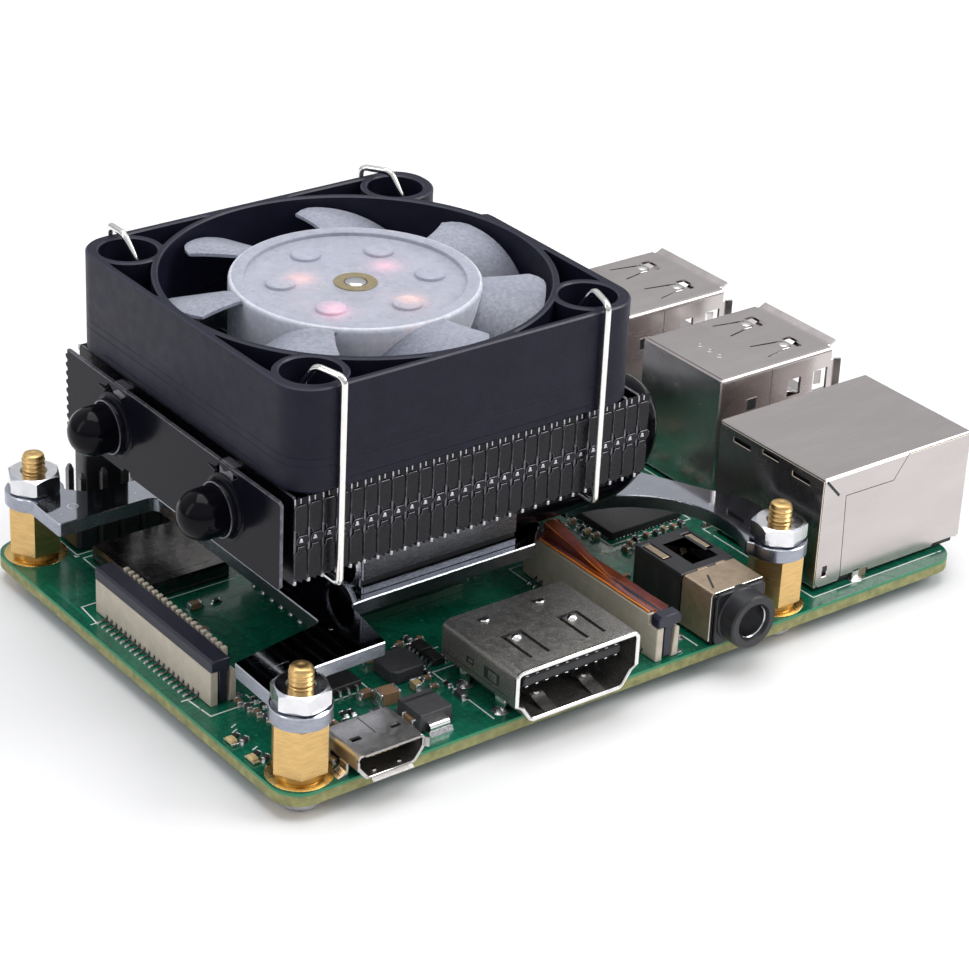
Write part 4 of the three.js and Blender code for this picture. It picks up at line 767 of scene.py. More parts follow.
def build_tracks():
    rng = random.Random(5)
    gap = 0.13
    for name, low, high, count, face, up in (("tracks_top", 1.398, 1.409, 46, BOARD_TOP, 1),
                                             ("tracks_under", -0.009, 0.002, 44, 0.0, -1)):
        part = Part()
        for _ in range(count):
            x, y = rng.uniform(5, 78), rng.uniform(4, 52)
            heading = rng.choice((0, 45, 90, 135, 180, 225, 270, 315))
            path = wander(x, y, heading, rng.randint(2, 5), rng)
            if len(path) < 2:
                continue
            width = rng.choice((0.13, 0.13, 0.16, 0.32))
            lanes = 1 if width > 0.3 else rng.randint(2, 7)
            for lane in range(lanes):
                track = offset(path, (lane - (lanes - 1) / 2) * (width + gap), tightest=0.4)
                if all(is_clear(px, py, 0.2) for px, py in track):
                    part.band(track, width, low, high)
        # stitching holes, a ring with a sunk centre
        for _ in range(520):
            x, y = rng.uniform(1, 84), rng.uniform(1, 55)
            if not is_clear(x, y, 0.5):
                continue
            radius = rng.choice((0.2, 0.2, 0.24))
            profile = [(0.0, face - 0.03 * up), (0.075, face - 0.03 * up),
                       (0.085, face + 0.013 * up), (radius, face + 0.013 * up),
                       (radius + 0.012, face - 0.002 * up)]
            part.lathe(profile[::-up], x, y, 10)
        part.save(name, ["resist_over_copper"], "solder_mask", sharp=50)


# Legend on the top face: open paths, then boxes as x0, x1, y0, y1
LEGEND_PATHS = [
    [(0.75, 19.6), (1.45, 19.6), (1.75, 15.9), (6.6, 15.9), (6.6, 17.4)],
    [(0.75, 36.6), (1.45, 36.6), (1.75, 40.1), (6.6, 40.1), (6.6, 38.6)],
    [(42.7, 23.2), (47.4, 23.2), (47.4, 20.5)], [(42.7, 23.2), (42.7, 19.5)],
    [(65.6, 1.7), (65.6, 19.0), (69.2, 19.0)], [(65.6, 1.7), (84.0, 1.7)],
    [(69.2, 21.9), (69.2, 36.1)], [(69.2, 39.9), (69.2, 54.2), (84.2, 54.2)],
    [(49.2, 0.8), (49.2, 13.1), (57.8, 13.1), (57.8, 0.8)],
    [(24.0, 1.0), (24.0, 11.0), (40.0, 11.0), (40.0, 1.0)], [(6.2, 0.9), (6.2, 5.4), (15.0, 5.4)],
]
LEGEND_BOXES = [(6.7, 58.3, 49.6, 55.4), (53.6, 59.4, 43.1, 48.95), (54.9, 65.9, 21.5, 32.5),
                (6.9, 18.3, 36.9, 48.7), (11.7, 17.1, 11.9, 16.9)]
LEGEND_UNDER = [(20.5, 36.3, 22.3, 38.1), (15.6, 19.6, 22.0, 34.0), (38, 44, 40, 46),
                (50, 54, 12, 20), (66, 84, 3, 18)]


def build_legend():
    """White outlines round the parts, with no lettering."""
    low, high, width = BOARD_TOP, 1.412, 0.16
    part = Part()
    for path in LEGEND_PATHS:
        part.band(path, width, low, high)
    for sides in LEGEND_BOXES:
        corners = rect(*sides)
        for ends in zip(corners, corners[1:] + corners[:1]):
            part.band(ends, width, low, high)
    # pin-one corners and small ticks
    for x, y in ((54.5, 21.1), (11.4, 11.6), (6.3, 49.2), (20.2, 21.6)):
        part.prism([(x, y), (x + 0.55, y), (x, y + 0.55)], low, high)
    ticks = [[(26 + i * 2.4, 14.6), (27.3 + i * 2.4, 14.6)] for i in range(6)]
    ticks += [[(x, y), (x + 0.7, y + 0.3)] for x, y in
              ((1.9, 8.9), (1.9, 12.4), (1.9, 6.2), (2.3, 13.2))]
    ticks += [[(61.4, 42.6 + i * 0.62), (61.9, 42.6 + i * 0.62)] for i in range(9)]
    for path in ticks:
        part.band(path, width, low, high)
    part.save("legend_lines", ["legend_ink"], "solder_mask", sharp=50)
    part = Part()
    for sides in LEGEND_UNDER:
        part.band(rect(*sides), width, -0.012, 0.0)
    part.save("legend_lines_under", ["legend_ink"], "solder_mask", sharp=50)


# Finishes of the small parts and their places. CAP, RES, TAN and GREY are also the kinds of body.
SMALL_FINISHES = ["tin_cap", "ceramic_brown", "moulded_epoxy", "solder", "ceramic_tan",
                  "epoxy_grey"]
TIN, CAP, RES, JOINT, TAN, GREY = range(6)
# sizes: length, width, height
LARGE, MEDIUM = (2.0, 1.25, 1.1), (1.6, 0.8, 0.8)
SMALL, LOW, FLAT = (1.0, 0.5, 0.5), (1.0, 0.5, 0.45), (1.0, 0.5, 0.42)


def component(part, x, y, turn, size, body, z=BOARD_TOP, down=False):
    """Surface-mounted block with tinned ends and solder feet. A RES is lower than its size says."""
    length, width, height = size
    part.place(x, y, z, turn, down)
    cap = min(0.25 * length, 0.3 if length > 1.2 else 0.22)
    top = height * 0.72 if body == RES else height
    inner = length / 2 - cap * 0.9
    part.box(-inner, inner, -width / 2 + 0.015, width / 2 - 0.015, 0.02, top - 0.012, 0.03, body)
    for s in (-1, 1):
        part.box(s * length / 2, s * (length / 2 - cap), -width / 2, width / 2, 0.015, top,
                 min(0.07, height * 0.16), TIN)
        part.prism([(s * (length / 2 + 0.16), 0.0), (s * (length / 2 - cap * 0.5), 0.0),
                    (s * (length / 2 - 0.01), top * 0.62), (s * (length / 2 + 0.05), top * 0.22)],
                   -width / 2 - 0.03, width / 2 + 0.03, "y", 0.02, JOINT)
    part.home()


def chip(part, x, y, turn, length, width, height, long_leads, end_leads=0, pitch=0.65,
         z=BOARD_TOP, down=False, leadless=False):
    """Moulded package with a dimple at pin one, and bent leads or flat pads on its sides."""
    part.place(x, y, z, turn, down)
    part.box(-length / 2, length / 2, -width / 2, width / 2, 0.1, height, 0.06, RES)
    part.lathe([(0.3, height - 0.02), (0.3, height + 0.006), (0.26, height + 0.006),
                (0.2, height - 0.004), (0, height - 0.004)],
               -length / 2 + 0.55, -width / 2 + 0.55, 16, mat=RES)
    for at_ends, count, half in ((0, long_leads, width / 2), (1, end_leads, length / 2)):
        lead = strip([(half - 0.05, height * 0.55), (half + 0.22, height * 0.55),
                      (half + 0.36, 0.1), (half + 0.7, 0.07)], 0.12)
        for i in range(count):
            at = (i - (count - 1) / 2) * pitch
            for s in (-1, 1):
                if leadless:
                    along = (at - 0.13, at + 0.13)
                    out = (s * half - 0.02 * s, s * (half + 0.22))
                    first, second = (out, along) if at_ends else (along, out)
                    part.box(*first, *second, 0.0, 0.14, 0.03, JOINT)
                    continue
                outline = [(s * a, b) for a, b in lead]
                if at_ends:
                    part.prism(outline, at - 0.13, at + 0.13, "y", 0.0, TIN)
                else:
                    # in the turned frame x runs along +y of the part
                    straight = part.matrix
                    part.matrix = straight @ Matrix.Rotation(math.radians(90), 4, "Z")
                    part.prism(outline, -at - 0.13, -at + 0.13, "y", 0.0, TIN)
                    part.matrix = straight
    part.home()


def build_small_parts():
    rng = random.Random(3)
    part = Part()
    # round the supply socket and the front strip: x, y, turn, size, body
    rows = [(17.25, 9.1, -4, (2.3, 1.55, 1.35), CAP), (16.7, 4.2, 88, (1.9, 1.3, 1.3), CAP),
            (20.1, 16.1, 2, (1.7, 0.95, 0.95), TAN), (20.9, 9.4, 86, (1.4, 0.85, 0.85), TAN),
            (16.0, 10.9, 0, (1.5, 0.8, 0.7), CAP), (12.4, 9.3, 90, (1.0, 0.5, 0.4), RES),
            (13.2, 9.2, 90, (1.0, 0.5, 0.4), RES), (14.9, 7.4, 0, (1.4, 0.9, 0.75), GREY),
            (15.3, 5.9, 0, (1.1, 0.55, 0.45), RES)]
    for i in range(5):
        rows.append((7.2 + i * 1.15, 8.0 + 0.15 * (i % 2), 90, SMALL, rng.choice((CAP, RES, TAN))))
    for i in range(4):
        rows.append((5.9 - 0.25 * i, 12.6 + 1.25 * i, 80, (1.05, 0.55, 0.5), CAP if i % 2 else GREY))
        rows.append((7.3 - 0.2 * i, 12.4 + 1.2 * i, 80, FLAT, RES))
    rows += [(8.6 + 1.0 * i, 11.8, 90, LOW, CAP if i != 1 else RES) for i in range(3)]
    rows += [(7.0, 3.3, 90, (1.05, 0.55, 0.5), TAN), (6.9, 5.6, 90, (1.05, 0.55, 0.5), CAP)]
    # cluster left of the video socket's rear
    for i, (x, y) in enumerate([
            (24.2, 16.9), (23.4, 16.3), (24.6, 15.8), (23.6, 15.1), (22.8, 14.6), (23.9, 14.2),
            (22.9, 13.4), (23.8, 13.0), (22.6, 12.5), (23.3, 12.0), (22.5, 11.4), (23.4, 11.0),
            (22.7, 10.2), (21.9, 15.9), (25.5, 17.2), (26.4, 16.6)]):
        rows.append((x, y, 90 if i % 3 else 4, (0.95, 0.5, 0.46), (CAP, RES, GREY)[i % 3]))
    for row in rows:
        component(part, *row)
    for x, y in ((25.4, 14.8), (25.3, 12.6)):
        chip(part, x, y, 90, 1.9, 1.3, 0.85, long_leads=3)
    # behind and beside the video socket
    rows = [(23.9, 8.4, 90, LOW, RES), (23.7, 6.0, 90, (1.6, 0.8, 0.6), GREY),
            (22.4, 8.6, 0, LOW, CAP)]
    rows += [(26.4 + i * 1.7, 12.3 + 0.25 * (i % 2), 90, LOW, (CAP, RES, RES, CAP)[i % 4])
             for i in range(7)]
    rows += [(41.2, 6.2, 90, MEDIUM, CAP), (41.2, 9.6, 90, SMALL, RES), (41.2, 12.2, 90, SMALL, CAP)]
    # round the network chip: x, y, turn, body
    rows += [(x, y, turn, (1.05, 0.55, 0.62), body) for x, y, turn, body in (
        (59.2, 20.7, 90, CAP), (60.4, 20.5, 90, GREY), (61.6, 20.7, 90, CAP),
        (62.8, 20.6, 90, CAP), (64.0, 20.8, 90, GREY), (66.4, 19.3, 0, CAP),
        (57.9, 20.9, 90, RES), (54.5, 23.6, 0, CAP), (54.3, 24.8, 0, TAN), (54.4, 26.0, 0, RES),
        (54.3, 27.4, 0, CAP), (56.6, 20.2, 90, TAN), (55.5, 19.6, 90, CAP), (58.6, 18.2, 0, GREY),
        (60.4, 18.2, 0, RES), (62.4, 17.9, 0, CAP), (66.9, 23.6, 90, CAP), (67.1, 25.6, 90, RES),
        (67.0, 27.5, 90, CAP), (67.0, 29.6, 90, TAN), (56.4, 33.6, 0, CAP), (58.6, 33.6, 0, CAP),
        (60.8, 33.7, 0, RES), (63.0, 33.6, 0, CAP))]
    rows += [(59.6, 15.6, 40, LARGE, CAP), (50.0, 15.3, 0, LOW, RES), (51.8, 15.3, 0, LOW, CAP),
             (53.6, 15.4, 0, LOW, CAP)]
    rows += [(48.6, 3.2 + i * 2.0, 90, LOW, (CAP, RES)[i % 2]) for i in range(5)]
    # round the processor, mostly shaded
    rows += [(19.4 + 2.05 * i, 23.3 - 0.5 * (i % 2), 90 if i % 2 else 0, SMALL,
              (CAP, RES, TAN)[i % 3]) for i in range(8)]
    for i in range(7):
        rows.append((19.0, 24.2 + 1.7 * i, 0, SMALL, (CAP, CAP, RES)[i % 3]))
        rows.append((38.4, 24.2 + 1.7 * i, 0, SMALL, (CAP, RES, CAP)[i % 3]))
    rows += [(20.0 + 2.1 * i, 38.6 + 0.4 * (i % 2), 90, SMALL, (CAP, RES, CAP)[i % 3])
             for i in range(9)]
    for i in range(14):
        rows.append((20.5 + i * 2.4, rng.uniform(42.5, 48.6), rng.choice((0, 90)), SMALL,
                     rng.choice((CAP, RES, TAN))))
    rows += [(11.2, 33.9, 0, (1.5, 0.8, 0.7), CAP), (13.6, 33.8, 0, SMALL, RES),
             (9.6, 31.4, 90, SMALL, RES), (9.6, 29.4, 90, SMALL, CAP), (12.2, 19.4, 0, LOW, RES),
             (14.2, 19.4, 0, LOW, CAP), (61.6, 38.2, 0, LARGE, CAP), (61.8, 40.4, 0, MEDIUM, TAN),
             (64.6, 45.0, 90, LARGE, CAP), (66.6, 45.0, 90, MEDIUM, CAP),
             (44.5, 43.8, 0, MEDIUM, CAP)]
    rows += [(66.8, 33.6 + i * 1.3, 0, SMALL, (CAP, RES)[i % 2]) for i in range(6)]
    # beside the two lamps on the left edge
    for y in (7.1, 10.7):
        rows += [(2.05, y - 0.1, 25, FLAT, GREY), (1.75, y + 0.95, 20, FLAT, RES)]
    for row in rows:
        component(part, *row)
    part.save("small_parts_top", SMALL_FINISHES, "chip_epoxy", sharp=40)

    part = Part()
    for _ in range(120):
        x, y = rng.uniform(4, 80), rng.uniform(4, 47)
        over_card = -0.5 < x < 16.5 and 20.5 < y < 35.5
        over_memory = 21 < x < 36 and 22.8 < y < 37.6
        if not is_clear(x, y, 1.6) or over_card or over_memory or (65 < x and y < 20) or x > 68:
            continue
        if rng.random() < 0.14:
            component(part, x, y, rng.choice((0, 90)), MEDIUM, CAP, 0.0, True)
        else:
            component(part, x, y, rng.choice((0, 90)), SMALL, rng.choice((CAP, RES, TAN, CAP)),
                      0.0, True)
    chip(part, 46.0, 42.0, 0, 5.0, 3.9, 1.3, long_leads=4, pitch=1.1, z=0.0, down=True)
    chip(part, 52.0, 16.0, 90, 3.0, 3.0, 0.9, long_leads=5, end_leads=5, pitch=0.5, z=0.0,
         down=True, leadless=True)
    part.save("small_parts_under", SMALL_FINISHES, "chip_epoxy", sharp=40)


def build_under_joints():
    """Solder cones under the pins that go through the board."""
    # x, y, radius, height
    cones = [(8.37 + PITCH * i, 51.23 + PITCH * j, 0.72, 0.85) for i in range(20) for j in range(2)]
    cones += [(55.27 + PITCH * i, 44.77 + PITCH * j, 0.72, 0.85) for i in range(2)
              for j in range(2)]
    for mid in (29, 47):
        cones += [(x, mid + (i - 1.5) * 2.2, 0.55, 0.7) for i in range(4) for x in (72.2, 75.0)]
        cones += [(x, mid + s * 6.0, 1.1, 0.9) for s in (-1, 1) for x in (73.0, 79.6)]
    cones += [(69.6 + PITCH * (i % 2), 4.4 + i * 1.27 * 1.6, 0.55, 0.7) for i in range(6)]
    cones += [(x, y, 1.0, 0.85) for x, y in ((72.3, 3.0), (72.3, 17.7), (69.4, 3.2), (69.4, 17.4))]
    cones += [(x, y, 0.75, 0.6) for x in (25.3, 38.7) for y in (1.9, 7.6)]
    cones += [(x, y, 0.6, 0.6) for x, y in
              ((51.0, 4.0), (56.2, 7.2), (51.0, 10.4), (7.4, 1.7), (13.8, 1.7))]
    part = Part()
    for x, y, radius, height in cones:
        part.lathe([(0, -height), (0.2, -height + 0.03), (0.3, -height * 0.62),
                    (radius * 0.62, -height * 0.25), (radius, -0.012), (radius + 0.13, 0.0),
                    (0, 0.0)], x, y, 14)
    part.save("solder_joints_under", ["solder"], "screw_steel", sharp=60)


def build_processor():
    part = Part()
    part.prism(rounded(21.1, 36.1, 22.1, 37.1, 0.3, 3), LAND_TOP, 2.3, chamfer=0.04)
    for x in (21.7, 35.5):
        part.lathe([(0.26, 2.31), (0, 2.31)], x, 22.7, 14, mat=1)
    part.save("processor_substrate", ["package_substrate", "gold_plate"], "soc_substrate",
              ["soc_package"])
    part = Part()
    part.prism(rounded(22, 35.2, 23, 36.2, 0.8), 2.34, 2.77, chamfer=0.08)
    part.prism(rounded(23.4, 33.8, 24.4, 34.8, 0.9), 2.7, 3.27, chamfer=0.12, base=0.01)
    # the lid's tin is darkened as painted shade
    part.save("processor_lid", ["dark_tin_painted_shade"], "nickel_lid", ["soc_lid"])
    part = Part()
    part.prism(rounded(23.5, 33.7, 24.5, 34.7, 0.5, 5), 3.29, 4.28, chamfer=0.14)
    part.save("gap_pad", ["gap_pad"], "thermal_silicone", ["thermal_pad"])


def build_memory():
    """Ball-mounted chip under the board."""
    part = Part()
    part.prism(rounded(22.4, 34.4, 24.2, 36.2, 0.25, 3), -1.05, -0.12, chamfer=0.02, base=0.09)
    for i, j in product(range(10), repeat=2):
        part.lathe([(0, -0.16), (0.22, -0.12), (0.22, -0.04), (0.1, -0.02), (0, -0.02)],
                   23.3 + i * 1.13, 25.1 + j * 1.13, 8, mat=1)
    part.lathe([(0, -1.058), (0.3, -1.058), (0.34, -1.05), (0.34, -1.03)], 23.3, 25.1, 18)
    part.save("memory_chip", ["moulded_epoxy", "solder"], "chip_epoxy", ["ram_chip"])


def build_network_chip():
    part = Part()
    x, y, near, far = 60.4, 27, 4.79, 5.0
    part.prism(rounded(55.6, 65.2, 22.2, 31.8, 0.12, 2), 1.5, 2.32, chamfer=0.07)
    part.lathe([(0.38, 2.31), (0.34, 2.326), (0.27, 2.326), (0.24, 2.314), (0, 2.312)], 56.6, 23.2,
               20)
    for i in range(18):
        at = (i - 8.5) * 0.5
        for s in (-1, 1):
            part.box(x + at - 0.12, x + at + 0.12, y + s * near, y + s * far, LAND_TOP, 1.6, 0.03, 1)
            part.box(x + s * near, x + s * far, y + at - 0.12, y + at + 0.12, LAND_TOP, 1.6, 0.03, 1)
    part.save("network_controller", ["moulded_epoxy", "solder"], "chip_epoxy", ["network_chip"])


def build_power_chip():
    part = Part()
    chip(part, 14.4, 14.4, 0, 4.4, 4.0, 0.9, long_leads=4, pitch=1.0, z=LAND_TOP)
    part.save("power_controller", SMALL_FINISHES, "chip_epoxy", ["power_chip"])


def build_radio_can():
    part = Part()
    wall = rounded(7.4, 17.8, 37.4, 48.2, 0.75, 8)
    part.prism(wall, 1.9, 3.12, chamfer=0.28, base=0.0)
    part.prism(wall, 1.43, 1.92, holes=[rounded(7.6, 17.6, 37.6, 48.0, 0.6, 8)])
    part.prism(rounded(8.7, 16.5, 38.7, 46.9, 0.6), 3.1, 3.145, chamfer=0.03)
    part.prism(rounded(9.1, 16.1, 39.1, 46.5, 0.5), 3.12, 3.13)
    for i in range(5):
        part.lathe([(0.34, 3.13), (0.3, 3.15), (0.22, 3.13), (0, 3.12)], 9.9 + i * 1.4, 40.2, 14)
    # the can's tin is darkened as painted shade
    part.save("radio_can", ["dark_tin_painted_shade"], "shield_tin", ["radio_shield"])


def build_choke():
    """Squat wound choke with a round top mark."""
    part = Part()
    part.prism(rounded(19.2, 23.2, 10.8, 14.8, 0.85, 8), 1.52, 2.92, chamfer=0.16, base=0.1)
    part.prism(rounded(19.5, 22.9, 11.1, 14.5, 0.7, 8), 1.43, 1.55, mat=1)
    part.lathe([(1.3, 2.9), (1.26, 2.93), (1.1, 2.93), (1.06, 2.9), (0, 2.895)], 21.2, 12.8, 28)
    part.save("choke", ["ferrite", "solder"], "ferrite", ["inductor"])


def build_diode():
    """Moulded diode with J leads at its front and rear."""
    part = Part()
    front, rear = 2.6, 6.3
    part.prism([(16.3, 1.62), (20.3, 1.62), (20.3, 1.9), (20.12, 3.42), (16.48, 3.42),
                (16.3, 1.9)], front, rear, "y", 0.08)
    part.box(16.5, 20.1, rear - 1.0, rear - 0.6, 3.4, 3.425, 0.01, 2)
    for s, y in ((-1, front), (1, rear)):
        part.bend([(y - 0.05 * s, 2.45), (y + 0.62 * s, 2.45), (y + 0.68 * s, 1.52),
                   (y - 0.25 * s, 1.52)], 0.3, 5, 0.2, 17.15, 19.45, "x", 0.03, 1)
        part.prism([(y + 1.05 * s, 1.4), (y - 0.3 * s, 1.4), (y - 0.2 * s, 1.5),
                    (y + 0.78 * s, 1.9)], 16.95, 19.65, "x", 0.03, 3)
    part.save("supply_diode", ["epoxy_grey", "bright_steel", "moulded_epoxy", "solder"],
              "chip_epoxy", ["diode"])


def build_edge_lamps():
    for name, node, y in (("lamp_power", "led_power", 7.4), ("lamp_activity", "led_activity", 11.0)):
        part = Part()
        part.box(0.52, 1.28, y - 0.5, y + 0.5, 1.5, 1.95, 0.08)
        part.prism(rounded(0.6, 1.2, y - 0.38, y + 0.38, 0.2, 5), 1.9, 2.02, chamfer=0.08)
        for s in (-1, 1):
            part.box(0.5, 1.3, y + s * 0.5, y + s * 0.8, 1.43, 1.72, 0.05, 1)
        part.save(name, ["lamp_lens", "tin_cap"], "led_body", [node])


def header_pin(part, x, y, top, half=0.32):
    """Square pin with a tapered point."""
    shoulder = top - 0.55
    part.prism(rect(x - half, x + half, y - half, y + half), 1.43, shoulder, base=0.12, mat=1)
    points = [(x + a * size, y + b * size, z) for size, z in ((half, shoulder), (half * 0.45, top))
              for a, b in ((-1, -1), (1, -1), (1, 1), (-1, 1))]
    part.put(points, [(0, 1, 5, 4), (1, 2, 6, 5), (2, 3, 7, 6), (3, 0, 4, 7), (4, 5, 6, 7),
                      (3, 2, 1, 0)], 1)


def build_header(name, node, left, front, columns, body_top, pin_top):
    """Two rows of pins in a body notched between the columns."""
    part = Part()
    notch = 0.38
    rear = front + 2 * PITCH
    for i in range(columns):
        a, b = left + i * PITCH, left + (i + 1) * PITCH
        outline = [(a + notch, front), (b - notch, front), (b, front + notch), (b, rear - notch),
                   (b - notch, rear), (a + notch, rear), (a, rear - notch), (a, front + notch)]
        if i < columns - 1:
            # a hair of overlap joins each column to the next
            outline[2:4] = [(b + 0.01, front + notch), (b + 0.01, rear - notch)]
        x = a + PITCH / 2
        pin_ys = [front + PITCH / 2 + j * PITCH for j in range(2)]
        holes = [rect(x - 0.36, x + 0.36, y - 0.36, y + 0.36) for y in pin_ys]
        part.prism(outline, 1.62, body_top, chamfer=0.1, base=0.08, holes=holes)
        for y in (front + 0.5, rear - 0.5):
            part.box(a + 0.75, b - 0.75, y - 0.28, y + 0.28, LAND_TOP, 1.7, 0.03)
        for y in pin_ys:
            header_pin(part, x, y, pin_top)
    part.save(name, ["black_plastic", "header_pin"], "header_plastic", [node], sharp=40)


# ------------------------------------------------------------------ edge sockets
USB_INNER, USB_MOUTH = 69.7, 86.0   # x of the rear wall and of the mouth
USB_HALF = 6.55                     # half the width along y
USB_FOOT, USB_ROOF = 1.72, 16.5


def usb_lips(part, mid):
    """Flared lips: roof, floor and two on each side."""
    mouth, foot, roof, half = USB_MOUTH, USB_FOOT, USB_ROOF, USB_HALF

    def lip(path, start, end, axis):
        part.bend(path, 0.35, 5, 0.24, start, end, axis, 0.03, 0, rim=2)

    lip([(mouth - 0.5, roof - 0.14), (mouth - 0.05, roof - 0.12), (mouth + 0.82, roof + 0.3)],
        mid - half + 0.75, mid + half - 0.75, "y")
    lip([(mouth - 0.5, foot + 0.2), (mouth - 0.05, foot + 0.18), (mouth + 0.7, foot - 0.12)],
        mid - half + 0.9, mid + half - 0.9, "y")
    for s in (-1, 1):
        for low, high in ((roof - 5.4, roof - 1.4), (foot + 1.0, foot + 5.2)):
            lip([(mouth - 0.5, mid + s * (half - 0.15)), (mouth - 0.05, mid + s * (half - 0.13)),
                 (mouth + 0.8, mid + s * (half + 0.28))], low, high, "z")


def usb_side(part, mid, s, sheet, bend, joint_x):
    """One side of the front part, from the corner bend down."""
    inner, mouth, foot, roof, half = USB_INNER, USB_MOUTH, USB_FOOT, USB_ROOF, USB_HALF
    corner = mid + s * (half - bend)
    a, b = (90, 0) if s > 0 else (90, 180)
    part.prism(arc(corner, roof - bend, bend, a, b, 6) + arc(corner, roof - bend, bend - sheet, b,
                                                             a, 6), joint_x, mouth - 0.35, "x")
    # windows with a pressed spring each, one pair per mouth
    windows = [rect(79.4, 81.3, roof - 4.4, roof - 2.4), rect(83.1, 85.2, roof - 4.7, roof - 2.2),
               rect(79.4, 81.3, foot + 2.2, foot + 4.2), rect(83.1, 85.2, foot + 1.9, foot + 4.4)]
    part.prism(rect(joint_x, mouth - 0.35, foot, roof - bend), mid + s * half,
               mid + s * (half - sheet), "y", holes=windows)
    for z in (roof - 3.45, foot + 3.15):
        part.bend([(81.2, mid + s * (half - 0.15)), (82.6, mid + s * (half - 0.18)),
                   (83.6, mid + s * (half - 0.75)), (84.7, mid + s * (half - 0.45))],
                  0.4, 4, 0.15, z - 0.8, z + 0.8, "z", 0.02, 2)
    # small pressed slots further in
    skin = mid + s * (half - 0.02)
    for z in (roof - 3.9, foot + 3.6):
        part.box(inner + 3.9, inner + 5.2, skin, mid + s * (half + 0.004), z - 0.62, z + 0.62,
                 0.0, 1)
        part.box(inner + 3.8, inner + 5.3, skin, mid + s * (half + 0.02), z + 0.62, z + 0.7, 0.0, 2)
    # seam where the side sheet overlaps the inner sheet
    part.box(76.9, 76.96, skin, mid + s * (half + 0.006), foot, roof - bend, 0.0, 1)


def build_usb_shell(tag, mid):
    inner, mouth, foot, roof, half = USB_INNER, USB_MOUTH, USB_FOOT, USB_ROOF, USB_HALF
    sheet, bend, joint_x = 0.3, 0.55, 77.2
    tongues = (mid - 3.1, mid + 3.1)
    part = Part()
    # the inner part of the shell is a plain U, the part by the mouth is plates with windows
    low, high = mid - half, mid + half
    section = [(low, foot), (low, roof - bend)]
    section += arc(low + bend, roof - bend, bend, 180, 90, 6)[1:]
    section += arc(high - bend, roof - bend, bend, 90, 0, 6) + [(high, foot)]
    section += [(high - sheet, foot), (high - sheet, roof - bend)]
    section += arc(high - bend, roof - bend, bend - sheet, 0, 90, 6)[1:]
    section += arc(low + bend, roof - bend, bend - sheet, 90, 180, 6) + [(low + sheet, foot)]
    part.prism(section, inner + 0.3, joint_x, "x")
    part.prism(rounded(low + 0.08, high - 0.08, foot, roof - 0.08, 0.4, 4), inner, inner + 0.34,
               "x", base=0.14)
    # roof by the mouth, with two forked springs cut in it
    holes = []
    for y in tongues:
        for s in (-1, 1):
            a, b = (78.0, y + s * 1.5), (81.9, y + s * 0.72)
            holes.append([(a[0], a[1] - 0.1), (b[0], b[1] - 0.16), (b[0] + 0.1, b[1] + 0.16),
                          (a[0], a[1] + 0.1)])
        holes.append(rect(82.35, 83.6, y - 1.25, y + 1.25))
    part.prism(rect(joint_x, mouth - 0.35, low + bend, high - bend), roof - sheet, roof,
               holes=holes)
    for y in tongues:
        # spring tongue that dips into the mouth and shows a bright heel
        part.bend([(80.4, roof - 0.12), (82.2, roof - 0.14), (82.9, roof - 0.85),
                   (83.7, roof - 0.95), (84.2, roof - 0.62)], 0.5, 5, 0.16, y - 0.85, y + 0.85,
                  "y", 0.02, 2)
        part.lathe([(0.55, roof - 0.005), (0.4, roof + 0.07), (0.2, roof + 0.1),
                    (0, roof + 0.11)], 81.6, y, 18, mat=2)
    for s in (-1, 1):
        usb_side(part, mid, s, sheet, bend, joint_x)
    usb_lips(part, mid)
    # face between the mouths, folded back at both edges
    part.prism(rounded(low + 0.2, high - 0.2, 8.1, 10.3, 0.2, 3), mouth - 0.9, mouth - 0.15, "x",
               0.12, rim=2)
    for z0, z1 in ((7.98, 8.15), (10.25, 10.42)):
        part.prism(rect(inner + 6.5, mouth - 0.6, low + 0.35, high - 0.35), z0, z1)
    # spring fingers in the floor of each mouth
    for z in (2.05, 10.45):
        for y in tongues:
            part.bend([(78.8, z), (81.8, z + 0.55), (83.6, z + 0.1)], 0.8, 5, 0.14, y - 0.7,
                      y + 0.7, "y", 0.02, 2)
    part.prism(rect(inner + 0.3, mouth - 0.4, low + 0.3, high - 0.3), foot + 0.02, foot + 0.22)
    # feet that go through the board
    for s in (-1, 1):
        y = mid + s * (half - 0.3)
        for x in (73.0, 79.6):
            part.prism([(x - 0.9, 1.9), (x - 0.55, LAND_TOP), (x + 0.55, LAND_TOP),
                        (x + 0.9, 1.9)], y - 0.15, y + 0.15, "y")
            part.lathe([(0.95, 1.4), (0.62, 1.62), (0.3, 1.78), (0, 1.8)], x, y, 14, mat=4)
    # three plain dimples pressed in the roof
    for i in range(3):
        part.lathe([(0.42, roof - 0.004), (0.38, roof + 0.02), (0.3, roof + 0.02),
                    (0.27, roof - 0.002)], 73.6, mid - 1.6 + 1.6 * i, 20)
    part.save("stacked_socket_shell_" + tag, ["nickel_sheet", "inner_plastic", "bright_steel",
                                              "sheared_edge", "solder"],
              "socket_shell", ["usb_shell_" + tag], sharp=34)


